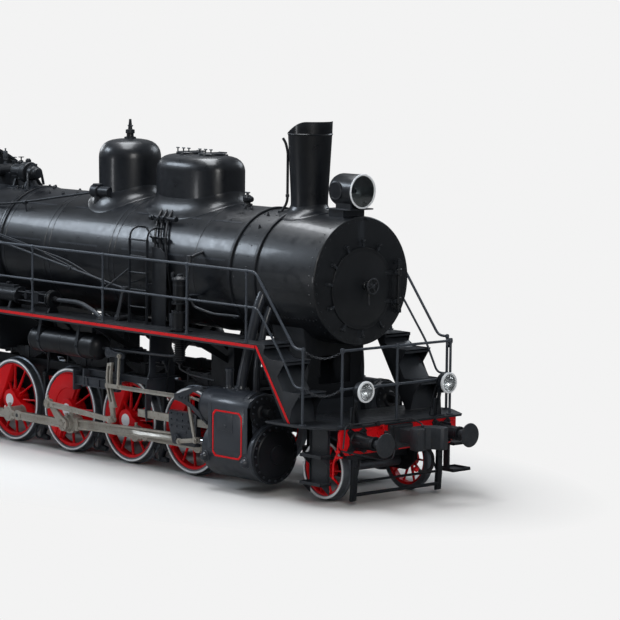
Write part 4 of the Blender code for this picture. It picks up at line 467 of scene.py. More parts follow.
# Outlines and profiles as lists of pairs; a side's are measured outward from the middle.
def outward(side, points):
    return [(side * across, up) for across, up in points]


def sidePath(side, points):
    return [(x, side * y, z) for x, y, z in points]


def shifted(start, points):
    return [(start + along, up) for along, up in points]


def rectangle(low, high, bottom, top):
    return [(low, bottom), (high, bottom), (high, top), (low, top)]


def taper(middle, halfBelow, halfAbove, bottom, top):
    return [(middle - halfBelow, bottom), (middle + halfBelow, bottom), (middle + halfAbove, top),
            (middle - halfAbove, top)]


def eyeBar(start, end, startRadius, endRadius, startHeight, endHeight, steps=14):
    heading = math.degrees(math.atan2(end[1] - start[1], end[0] - start[0]))
    startOpen = math.degrees(math.asin(min(0.999, startHeight / 2 / startRadius)))
    endOpen = math.degrees(math.asin(min(0.999, endHeight / 2 / endRadius)))
    return (arcPoints(start, startRadius, heading + startOpen, heading + 360 - startOpen, steps)
            + arcPoints(end, endRadius, heading - 180 + endOpen, heading + 180 - endOpen, steps))


# A six-sided bolt head or nut that stands on a surface.
def hexNut(piece, place, normal, size, height):
    place, normal = Vector(place), Vector(normal).normalized()
    aim = normal.to_track_quat("Z", "Y")
    rings = []
    for along, radius in ((0, size), (height * 0.8, size), (height, size * 0.82)):
        rings.append([piece.verts.new(place + aim @ Vector((radius * math.cos(math.tau * step / 6),
                                                            radius * math.sin(math.tau * step / 6), along)))
                      for step in range(6)])
    bridgeRings(piece, rings)
    piece.faces.new(rings[-1])
    piece.faces.new(list(reversed(rings[0])))


# A round rivet head.
def rivet(piece, place, normal, radius, segments=8):
    place, normal = Vector(place), Vector(normal).normalized()
    aim = normal.to_track_quat("Z", "Y")
    rings = []
    for along, share in ((-0.2, 1.0), (0.15, 1.0), (0.5, 0.75)):
        rings.append([piece.verts.new(place + aim @ Vector((radius * share
            * math.cos(math.tau * step / segments), radius * share * math.sin(math.tau * step / segments),
            radius * along))) for step in range(segments)])
    rings.append([piece.verts.new(place + aim @ Vector((0, 0, radius * 0.62)))])
    bridgeRings(piece, rings)
    piece.faces.new(list(reversed(rings[0])))


# Places evenly round a circle.
def ringOf(count, centre, axis, along, radius, first=0.0):
    return [axisPoint(centre, axis, along, radius, first + math.tau * step / count)
            for step in range(count)]


# The slot that goes with a finish, black_paint for all others.
finishSlots = {"signalRed": "red_paint", "rodSteel": "bare_steel", "tyreSteel": "bare_steel",
               "brightSteel": "bare_steel", "darkIron": "dark_steel", "brass": "dark_steel",
               "lampGlass": "dark_steel", "windowGlass": "dark_steel"}


def finishPiece(piece, name, finish, body="engine", stands=(), slotName=None, smooth=32, bevel=0.0):
    bmesh.ops.recalc_face_normals(piece, faces=piece.faces[:])
    mesh = bpy.data.meshes.new(name)
    piece.to_mesh(mesh)
    piece.free()
    mesh.transform(modelShift)
    made = bpy.data.objects.new(name, mesh)
    bpy.context.scene.collection.objects.link(made)
    mesh.materials.append(finishes[finish])
    mesh.shade_smooth()
    mesh.set_sharp_from_angle(angle=math.radians(smooth))
    if bevel:
        rounded = made.modifiers.new("softEdges", "BEVEL")
        rounded.width = bevel
        rounded.segments = 2
        rounded.limit_method = "ANGLE"
        rounded.angle_limit = math.radians(35)
        rounded.harden_normals = True
    if slotName is None:
        slotName = finishSlots.get(finish, "black_paint")
    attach(made, body)
    if stands:
        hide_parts(*stands)
    return made


wheelPlan = {
    "axles": (2.844, 1.422, 0.0, -1.422, -2.844),
    "crankRadius": 0.3556,
    "crankRight": math.radians(-27.0),
    "crankLeft": math.radians(63.0),
    "backFace": 0.72,
    "outerFace": 0.86,
    "leadX": 5.663,
    "mainAxle": 3,
    "mainWeight": 88.0,
    "weight": 62.0,
    "pinReach": 1.0225,
    "rearPinReach": 1.205,
}
crankAngle = {-1: wheelPlan["crankRight"], 1: wheelPlan["crankLeft"]}
rodPlanes = {
    "sideIn": 0.935, "sideOut": 1.02, "rearIn": 1.125, "rearOut": 1.2, "pinBore": 0.0705,
}
driverWheel = {"flange": 0.66, "tread": 0.632, "whiteOut": 0.616, "bore": 0.566, "rim": 0.045, "hub": 0.165,
               "spokes": 12, "spokeWide": 0.03, "spokeDeep": 0.05, "axle": 0.1, "height": 0.66}
leadWheel = {"flange": 0.448, "tread": 0.42, "whiteOut": 0.409, "bore": 0.368, "rim": 0.034, "hub": 0.115,
             "spokes": 10, "spokeWide": 0.028, "spokeDeep": 0.045, "axle": 0.075, "height": 0.448}


def crankPin(side, axleX):
    return polar((axleX, driverWheel["height"]), wheelPlan["crankRadius"], crankAngle[side])


def addTyre(piece, side, axleX, size):
    back, face = wheelPlan["backFace"], wheelPlan["outerFace"]
    flange, tread, bore = size["flange"], size["tread"], size["bore"]
    profile = [(back, bore), (back, flange - 0.016), (back + 0.004, flange - 0.006),
               (back + 0.012, flange - 0.0005), (back + 0.02, flange - 0.003),
               (back + 0.027, flange - 0.012), (back + 0.032, tread + 0.006), (back + 0.04, tread + 0.001),
               (back + 0.05, tread), (face - 0.008, tread - 0.003), (face, tread - 0.011),
               (face, size["whiteOut"]), (face - 0.0015, bore)]
    lathe(piece, outward(side, profile), (axleX, 0, size["height"]), "Y", 96)


# A tapered oval spoke that flares into hub and rim.
def addSpoke(piece, side, axleX, angle, size):
    centre = Vector((axleX, 0, size["height"]))
    out = Vector((math.cos(angle), 0, math.sin(angle)))
    across = Vector((-math.sin(angle), 0, math.cos(angle)))
    inner, outer = size["hub"] - 0.02, size["bore"] - size["rim"] + 0.012
    reach = outer - inner
    rings = []
    for share, wide, deep, middle in ((0, 1.75, 1.35, 0.815), (0.07, 1.3, 1.2, 0.813),
                                      (0.16, 1.06, 1.05, 0.81), (0.5, 0.88, 0.88, 0.803),
                                      (0.84, 0.82, 0.78, 0.797), (0.94, 1.05, 0.84, 0.796),
                                      (1.0, 1.7, 0.95, 0.795)):
        ring = []
        for step in range(12):
            turn = math.tau * step / 12
            place = centre + out * (inner + reach * share) + across * (size["spokeWide"] * wide / 2
                * math.cos(turn) * 1.15)
            place.y = side * (middle + size["spokeDeep"] * deep / 2 * math.sin(turn) * 1.1)
            ring.append(piece.verts.new(place))
        rings.append(ring)
    bridgeRings(piece, rings)
    piece.faces.new(rings[0])
    piece.faces.new(rings[-1])


def addWheelCentre(piece, side, axleX, size, crank=None, weightHalf=0.0):
    centre = (axleX, 0, size["height"])
    flat = (axleX, size["height"])
    rimIn, bore, hub = size["bore"] - size["rim"], size["bore"] + 0.001, size["hub"]
    rim = [(0.725, bore), (0.725, rimIn + 0.012), (0.735, rimIn), (0.826, rimIn), (0.838, rimIn + 0.01),
           (0.842, bore - 0.008), (0.842, bore)]
    lathe(piece, outward(side, rim), centre, "Y", 96)
    hubShape = [(0.665, size["axle"] * 0.9), (0.665, hub - 0.01), (0.675, hub), (0.87, hub),
                (0.89, hub - 0.012), (0.898, hub - 0.03), (0.898, size["axle"] + 0.02),
                (0.902, size["axle"] + 0.012), (0.902, size["axle"] * 0.9)]
    lathe(piece, outward(side, hubShape), centre, "Y", 48)
    for index in range(size["spokes"]):
        addSpoke(piece, side, axleX, (crank or 0.0) + math.tau * index / size["spokes"], size)
    if crank is None:
        return
    pin = crankPin(side, axleX)
    boss = eyeBar(flat, pin, hub * 0.98, 0.125, hub * 1.5, 0.2, 16)
    sideSlab(piece, side, [boss], 0.745, 0.925, 0.008)
    opposite = math.degrees(crank) + 180.0
    half = math.degrees(weightHalf)
    outer = rimIn + 0.02
    if half > 80:  # the main axle's weight is a half disc with a raised crescent
        sideSlab(piece, side, [arcPoints(flat, outer, opposite - half, opposite + half, 30)], 0.75, 0.868,
                 0.004)
        crescent = arcPoints(flat, outer - 0.004, opposite - half + 2, opposite + half - 8, 30)
        crescent += arcPoints(flat, 0.33, opposite + half - 20, opposite - half + 14, 24)
        sideSlab(piece, side, [crescent], 0.86, 0.878, 0.004)
    else:
        sideSlab(piece, side, [arcPoints(flat, outer, opposite - half, opposite + half, 30)], 0.75, 0.878,
                 0.005)
    for step in range(10):
        place = axisPoint(centre, "Y", side * 0.898, size["axle"] + 0.036, math.tau * step / 10 + 0.3)
        rivet(piece, place, (0, side, 0), 0.007)


def makeWheels():
    for number, axleX in enumerate(wheelPlan["axles"], start=1):
        body = f"coupled_wheelset_{number}"
        half = math.radians(wheelPlan["mainWeight"] if number == wheelPlan["mainAxle"]
                            else wheelPlan["weight"])
        tyres, centres, ends, pins = newPieces(4)
        for side, _ in sides:
            addTyre(tyres, side, axleX, driverWheel)
            addWheelCentre(centres, side, axleX, driverWheel, crankAngle[side], half)
            white = rectangle(side * 0.858, side * 0.8612, 0.6155, 0.59)
            lathe(ends, white, (axleX, 0, driverWheel["height"]), "Y", 96)
            sideLathe(ends, side, [(0.92, 0), (0.92, 0.092), (0.927, 0.094), (0.9295, 0.09),
                                   (0.9295, 0.018), (0.926, 0.012), (0.926, 0)],
                      (axleX, 0, driverWheel["height"]), 48)
            pin = crankPin(side, axleX)
            reach = wheelPlan["pinReach"] if number <= wheelPlan["mainAxle"] else wheelPlan["rearPinReach"]
            sideLathe(pins, side, [(0.9, 0), (0.9, 0.115), (0.928, 0.115), (0.93, 0.0695),
                                   (reach - 0.004, 0.0695), (reach, 0.066), (reach, 0)],
                      (pin[0], 0, pin[1]), 32)
            if number > wheelPlan["mainAxle"]:
                sideLathe(pins, side, [(0.925, 0.06), (0.925, 0.108), (1.115, 0.104), (1.12, 0.1),
                                       (1.12, 0.06)], (pin[0], 0, pin[1]), 40)
        lathe(tyres, [(-0.7, 0), (-0.7, 0.1), (-0.55, 0.1), (-0.5, 0.092), (0.5, 0.092), (0.55, 0.1),
                      (0.7, 0.1), (0.7, 0)], (axleX, 0, driverWheel["height"]), "Y", 32)
        finishPiece(tyres, f"drivingTyres{number}", "tyreSteel", body=body,
                    stands=[f"driving_wheels_{number}"], smooth=30)
        finishPiece(centres, f"wheelCentres{number}", "signalRed", body=body, smooth=35)
        finishPiece(ends, f"whiteRings{number}", "whiteEnamel", body=body, smooth=30)
        finishPiece(pins, f"crankPins{number}", "rodSteel", body=body, smooth=30)
    tyres, centres, ends = newPieces(3)
    leadX = wheelPlan["leadX"]
    for side, _ in sides:
        addTyre(tyres, side, leadX, leadWheel)
        addWheelCentre(centres, side, leadX, leadWheel)
        white = rectangle(side * 0.858, side * 0.8612, 0.4085, 0.376)
        lathe(ends, white, (leadX, 0, leadWheel["height"]), "Y", 80)
        sideLathe(ends, side, [(0.89, 0), (0.89, 0.07), (0.9, 0.072), (0.904, 0.068), (0.904, 0.01),
                               (0.9, 0)], (leadX, 0, leadWheel["height"]), 40)
    lathe(tyres, [(-0.7, 0), (-0.7, 0.075), (0.7, 0.075), (0.7, 0)], (leadX, 0, leadWheel["height"]), "Y",
          32)
    finishPiece(tyres, "leadingTyres", "tyreSteel", body="leading_wheelset", stands=["leading_wheels"],
                smooth=30)
    finishPiece(centres, "leadingCentres", "signalRed", body="leading_wheelset", smooth=35)
    finishPiece(ends, "leadingRings", "whiteEnamel", body="leading_wheelset", smooth=30)


makeWheels()
print("wheels made")


# Rods
def rodOutline(eyes, height, steps=12):
    level = eyes[0][1]
    opening = [math.degrees(math.asin(height / 2 / radius)) for _, _, radius in eyes]
    line = arcPoints((eyes[0][0], level), eyes[0][2], 360 - opening[0], opening[0], steps)
    for (x, _, radius), start in zip(eyes[1:-1], opening[1:-1]):
        line += arcPoints((x, level), radius, 180 - start, start, steps // 2)
    last = eyes[-1]
    line += arcPoints((last[0], level), last[2], 180 - opening[-1], opening[-1] - 180, steps)
    for (x, _, radius), start in reversed(list(zip(eyes[1:-1], opening[1:-1]))):
        line += arcPoints((x, level), radius, -start, start - 180, steps // 2)
    return line


# A fluted rod: a web with flanges, thick eyes with bushes and caps, oil cups and a forked knuckle.
def sideRodShape(piece, dark, side, pins, bored, inner, outer, knuckleX, rodHeight=0.13):
    level = pins[0][1]
    web = (outer - inner) * 0.2
    eyes = sorted([(x, z, 0.113) for x, z in pins] + [(knuckleX, level, 0.079)])
    holes = [ringPoints(pin, rodPlanes["pinBore"], 32) for pin in bored]
    sideSlab(piece, side, [rodOutline(eyes, rodHeight * 0.98)] + holes, inner + web, outer - web, 0.003)
    for (x, z, radius), (nextX, _, nextRadius) in zip(eyes, eyes[1:]):
        for edge in (rodHeight * 0.36, -rodHeight * 0.36):
            sideBlock(piece, side, (x + radius * 0.85, nextX - nextRadius * 0.85),
                      (inner + 0.001, outer - 0.001), (level + edge - rodHeight * 0.13,
                level + edge + rodHeight * 0.13))
    for x, z, radius in eyes:
        pinHere = any(abs(x - pin[0]) < 0.01 for pin in bored)
        hole = rodPlanes["pinBore"] if pinHere else 0.0
        profile = [(inner, hole), (inner, radius - 0.006), (inner + 0.006, radius), (outer - 0.006, radius),
                   (outer, radius - 0.006), (outer, hole)]
        lathe(piece, outward(side, profile), (x, 0, z), "Y", 40)
        if radius > 0.1:
            alongLine(piece, (x, side * (inner + outer) / 2, z + radius - 0.01),
                      (x, side * (inner + outer) / 2, z + radius + 0.1),
                      [(0, 0), (0, 0.028), (0.03, 0.028), (0.034, 0.02), (0.045, 0.02), (0.045, 0.026),
                       (0.062, 0.024), (0.066, 0)], 12)
        else:
            lathe(dark, outward(side, [(inner + 0.02, 0), (inner + 0.02, 0.03), (outer + 0.0008, 0.03),
                                       (outer + 0.003, 0.02), (outer + 0.003, 0)]), (x, 0, z), "Y", 20)
    return piece


def makeRods():
    for side, word in sides:
        pins = [crankPin(side, axleX) for axleX in wheelPlan["axles"]]
        low = word.lower()
        steel, dark = newPieces(2)
        sideRodShape(steel, dark, side, pins[:3], pins[:3], rodPlanes["sideIn"], rodPlanes["sideOut"],
                     pins[1][0] + 0.23)
        finishPiece(steel, f"frontSideRod{word}", "rodSteel", body=f"side_rods_{low}",
                    stands=[f"front_side_rod_{low}"], smooth=35, bevel=0.0015)
        finishPiece(dark, f"frontKnucklePin{word}", "darkIron", body=f"side_rods_{low}", smooth=38)
        steel, dark = newPieces(2)
        sideRodShape(steel, dark, side, pins[2:], pins[3:], rodPlanes["rearIn"], rodPlanes["rearOut"],
                     pins[3][0] + 0.23)
        finishPiece(steel, f"rearSideRod{word}", "rodSteel", body=f"side_rods_{low}",
                    stands=[f"rear_side_rod_{low}"], smooth=35, bevel=0.0015)
        finishPiece(dark, f"rearKnucklePin{word}", "darkIron", body=f"side_rods_{low}", smooth=38)


makeRods()
print("rods made")


# Boiler
boilerPlan = {
    "height": 2.982, "frontX": 3.7197, "rearX": -1.7, "frontRadius": 0.915, "rearRadius": 0.905,
    "smokeboxRadius": 0.903, "smokeboxFront": 5.471, "doorHeight": 2.88,
    "bands": (-1.62, -0.62, -0.5, 0.95, 1.07, 2.9),
    "blackBands": (3.71, 4.24),
}


def boilerRadius(x):
    plan = boilerPlan
    if x > plan["frontX"]:
        return plan["smokeboxRadius"]
    share = (plan["frontX"] - x) / (plan["frontX"] - plan["rearX"])
    return plan["frontRadius"] + share * (plan["rearRadius"] - plan["frontRadius"])


def boilerSurface(x, y):
    return boilerPlan["height"] + math.sqrt(max(0.0, boilerRadius(x) ** 2 - y * y))


def makeBarrel():
    plan = boilerPlan
    barrel, bands, trims = newPieces(3)
    profile = [(plan["rearX"], 0), (plan["rearX"], boilerRadius(plan["rearX"]) - 0.002)]
    for x in plan["bands"]:
        radius = boilerRadius(x)
        profile += [(x - 0.03, radius), (x - 0.027, radius + 0.005), (x + 0.027, radius + 0.005),
                    (x + 0.03, radius)]
    profile += [(plan["frontX"] - 0.01, plan["frontRadius"]), (plan["frontX"], plan["frontRadius"] - 0.006),
                (plan["frontX"], 0)]
    lathe(barrel, profile, (0, 0, plan["height"]), "X", 112)
    finishPiece(barrel, "barrelCasing", "boilerBlack", stands=["boiler_barrel"], smooth=30)
    for x in plan["blackBands"]:
        radius = plan["frontRadius"] if x < 3.8 else plan["smokeboxRadius"]
        radius += 0.012 if x > 4 else 0.0
        lathe(bands, shifted(x, [(-0.03, radius - 0.01), (-0.03, radius + 0.012), (-0.022, radius + 0.019),
                                 (0.022, radius + 0.019), (0.03, radius + 0.012), (0.03, radius - 0.03),
                                 (0, radius - 0.04)]), (0, 0, plan["height"]), "X", 112)
        for side, _ in sides:  # clamps under each band
            sideBlock(bands, side, (x - 0.03, x + 0.03), (0.72, 0.8), (2.36, 2.4))
    finishPiece(bands, "barrelBands", "frameBlack", smooth=30)
    # lengthwise seams of the casing and their screws
    for x, clearance in ((-1.1, 0.4), (0.22, 0.46), (1.98, 0.72), (3.3, 0.3)):
        radius = boilerRadius(x)
        for side, _ in sides:
            for angle in (0.22, 0.9):
                place = Vector((x, side * (radius + 0.0005) * math.cos(angle),
                                plan["height"] + (radius + 0.0005) * math.sin(angle)))
                tiltedBlock(trims, place, (clearance * 2, 0.028, 0.004),
                            Matrix.Rotation(side * (math.pi / 2 - angle), 3, "X").transposed())
                for step in range(5):
                    out = Vector((0, side * math.cos(angle), math.sin(angle)))
                    rivet(trims, place + Vector((clearance * (step / 2 - 1) * 0.9, 0, 0)) + out * 0.002,
                          out, 0.006)
    for x, y, radius in ((-0.9, -0.3, 0.024), (-1.25, -0.3, 0.024), (-0.62, -0.25, 0.024),
                         (3.28, -0.24, 0.022), (3.42, -0.24, 0.022), (3.9, -0.35, 0.02), (4.0, -0.6, 0.02),
                         (-1.45, -0.05, 0.024), (-0.9, 0.3, 0.024), (-1.25, 0.3, 0.024)):
        up = boilerSurface(x, y)
        disc(trims, (x, y, 0), "Z", up - 0.02, up + 0.03, radius, 16)
        hexNut(trims, (x, y, up + 0.03), (0, 0, 1), radius * 0.7, 0.018)
    finishPiece(trims, "barrelSeams", "boilerBlack", smooth=30)


# Take closed shapes out of a finished piece.
def cutPiece(made, cutters):
    for shape in cutters:
        mesh = bpy.data.meshes.new("cutter")
        shape.to_mesh(mesh)
        shape.free()
        mesh.transform(modelShift)
        cutter = bpy.data.objects.new("cutter", mesh)
        bpy.context.scene.collection.objects.link(cutter)
        opening = made.modifiers.new("opening", "BOOLEAN")
        opening.operation, opening.object, opening.solver = "DIFFERENCE", cutter, "EXACT"
        bpy.context.view_layer.update()
        result = bpy.data.meshes.new_from_object(made.evaluated_get(bpy.context.evaluated_depsgraph_get()))
        made.modifiers.clear()
        made.data = result
        bpy.data.objects.remove(cutter)


def makeSmokebox():
    plan = boilerPlan
    rear, front, radius = plan["frontX"] + 0.0003, plan["smokeboxFront"], plan["smokeboxRadius"]
    shell, studs = newPieces(2)
    lathe(shell, [(rear, 0), (rear, radius - 0.004), (rear + 0.004, radius), (front - 0.03, radius),
                  (front - 0.012, radius - 0.004), (front - 0.002, radius - 0.014), (front, radius - 0.022),
                  (front, 0)], (0, 0, plan["height"]), "X", 112)
    made = finishPiece(shell, "smokeboxShell", "smokeboxBlack", stands=["smokebox"], smooth=30)
    cavity, doorway, flue = newPieces(3)
    disc(cavity, (0, 0, plan["height"]), "X", rear + 0.03, front - 0.03, radius - 0.035, 112)
    disc(doorway, (0, 0, plan["doorHeight"]), "X", front - 0.1, front + 0.1, 0.53, 64)
    disc(flue, (4.38, 0, 0), "Z", 3.6, 4.1, 0.2, 32)
    cutPiece(made, (cavity, doorway, flue))
    for place in ringOf(40, (0, 0, plan["height"]), "X", front, 0.848):
        rivet(studs, place, (1, 0, 0), 0.0145)
    for x, count in ((5.37, 44), (5.3, 0), (3.8, 36), (4.05, 36), (4.17, 0)):
        for angle in range(count):
            turn = math.tau * angle / count + 0.02
            if not 4.3 < turn < 5.2:
                out = Vector((0, math.cos(turn), math.sin(turn)))
                rivet(studs, Vector((x, 0, plan["height"])) + out * radius, out, 0.0115)
    for side, _ in sides:  # side seams of the wrapper
        for step in range(16):
            out = Vector((0, side * math.cos(-0.62), math.sin(-0.62)))
            rivet(studs, Vector((4.2 + step * 0.073, 0, plan["height"])) + out * radius, out, 0.011)
    dogAngles = [math.radians(angle) for angle in (90, 118, 148, 172, 202, 236, 270, 304, 62, 338)]
    for angle in dogAngles:
        spot = Vector((front, 0.665 * math.cos(angle), plan["doorHeight"] + 0.665 * math.sin(angle)))
        inward = Vector((0, -math.cos(angle), -math.sin(angle)))
        bar(studs, spot, spot + Vector((0.078, 0, 0)), 0.014, 10)
        hexNut(studs, spot + Vector((0.045, 0, 0)), (1, 0, 0), 0.024, 0.022)
        hexNut(studs, spot, (1, 0, 0), 0.03, 0.014)
        turn = Matrix.Rotation(angle, 3, "X")
        tiltedBlock(studs, spot + inward * 0.035 + Vector((0.036, 0, 0)), (0.02, 0.1, 0.036), turn)
        tiltedBlock(studs, spot - inward * 0.012 + Vector((0.016, 0, 0)), (0.03, 0.022, 0.034), turn)
    block(studs, (front - 0.002, front + 0.05), (0.05, 0.1), (3.83, 3.86))
    finishPiece(studs, "smokeboxStuds", "smokeboxBlack", smooth=30)

    door, wheel = newPieces(2)
    seat = front + 0.0005
    lathe(door, shifted(seat, [(0, 0), (0, 0.575), (0.014, 0.577), (0.026, 0.572), (0.031, 0.556),
                               (0.028, 0.53), (0.033, 0.512), (0.052, 0.42), (0.072, 0.29), (0.085, 0.15),
                               (0.088, 0)]), (0, 0, plan["doorHeight"]), "X", 96)
    disc(door, (0, 0, plan["doorHeight"] + 0.05), "X", seat + 0.08, seat + 0.125, 0.062, 32)
    hinge = (5.5513, 0.64)
    for up in (-0.2, 0.2):
        height = plan["doorHeight"] + up
        block(door, (seat + 0.01, seat + 0.045), (0.4, 0.6), (height - 0.028, height + 0.028))
        block(door, (seat + 0.02, hinge[0] + 0.012), (0.56, 0.635), (height - 0.03, height + 0.03))
        bar(door, (*hinge, height - 0.052), (*hinge, height + 0.052), 0.045, 24)
        for y in (0.43, 0.5):
            rivet(door, (seat + 0.045, y, height), (1, 0, 0), 0.012)
    bar(door, (*hinge, plan["doorHeight"] - 0.16), (*hinge, plan["doorHeight"] + 0.16), 0.026, 20)
    finishPiece(door, "smokeboxDoor", "smokeboxBlack", body="smokebox_door_leaf", stands=["smokebox_door"],
                bevel=0.002)
    centre = (0, 0, plan["doorHeight"] + 0.05)
    ring = [(0.235 + 0.0115 * math.cos(math.tau * step / 10),
             0.104 + 0.0115 * math.sin(math.tau * step / 10)) for step in range(10)]
    lathe(wheel, [(seat + along, radius) for along, radius in ring], centre, "X", 48)
    bar(wheel, (seat + 0.08, 0, centre[2]), (seat + 0.262, 0, centre[2]), 0.021, 16)
    disc(wheel, centre, "X", seat + 0.215, seat + 0.25, 0.032, 20)
    for spoke in range(4):
        hand = axisPoint(centre, "X", seat + 0.234, 0.1, math.tau * spoke / 4 + 0.5)
        bar(wheel, (seat + 0.23, 0, centre[2]), hand, 0.0085, 8)
    bar(wheel, (seat + 0.15, 0, centre[2]), (seat + 0.17, -0.012, centre[2] - 0.27), 0.013, 10)
    disc(wheel, centre, "X", seat + 0.13, seat + 0.175, 0.034, 20)
    finishPiece(wheel, "doorWheel", "darkIron", body="smokebox_door_leaf")
    pin = newPiece()
    middle = plan["doorHeight"]
    bar(pin, (*hinge, middle - 0.37), (*hinge, middle + 0.37), 0.024, 16)
    for end in (-0.34, 0.34):
        block(pin, (seat, hinge[0] + 0.03), (0.608, 0.672), (middle + end - 0.03, middle + end + 0.03))
        hexNut(pin, (*hinge, middle + end + 0.03), (0, 0, 1), 0.026, 0.02)
    finishPiece(pin, "hingePin", "smokeboxBlack", stands=["door_hinge_pin"], smooth=30, bevel=0.003)


# A flared plate that runs from a standing outline out onto the boiler. hem is its thickness.
def skirt(piece, outline, rise, spread):
    hem = 0.012
    middle = Vector((sum(x for x, _ in outline) / len(outline), sum(y for _, y in outline) / len(outline)))
    normals = []
    for index, (x, y) in enumerate(outline):
        before, after = Vector(outline[index - 1]), Vector(outline[(index + 1) % len(outline)])
        normal = Vector(((after - before).y, -(after - before).x)).normalized()
        if normal.dot(Vector((x, y)) - middle) < 0:
            normal.negate()
        normals.append(normal)
    rings = []
    for share, up in ((-0.06, -0.5), (-0.06, 1.0), (0.0, 1.0), (0.05, 0.8), (0.14, 0.56), (0.28, 0.33),
                      (0.48, 0.15), (0.72, 0.05), (0.94, 0.012), (1.0, 0.0), (1.0, -0.5)):
        ring = []
        for (x, y), normal in zip(outline, normals):
            place = Vector((x, y)) + normal * spread * share
            ring.append(piece.verts.new((place.x, place.y,
                                         boilerSurface(place.x, place.y) + hem
                                         * (0.5 if share > 0.95 else 1.0) * (up >= 0) + rise * up)))
        rings.append(ring)
    bridgeRings(piece, rings, closed=True)


mountingPlan = {
    "chimneyX": 4.38, "chimneyRim": 4.98, "chimneyTop": 5.163,
    "steamX": 0.352, "steamRadius": 0.47,
    "sandX": 2.0, "sandLong": 0.75, "sandHalf": 0.46, "lids": (1.75, 2.25),
}


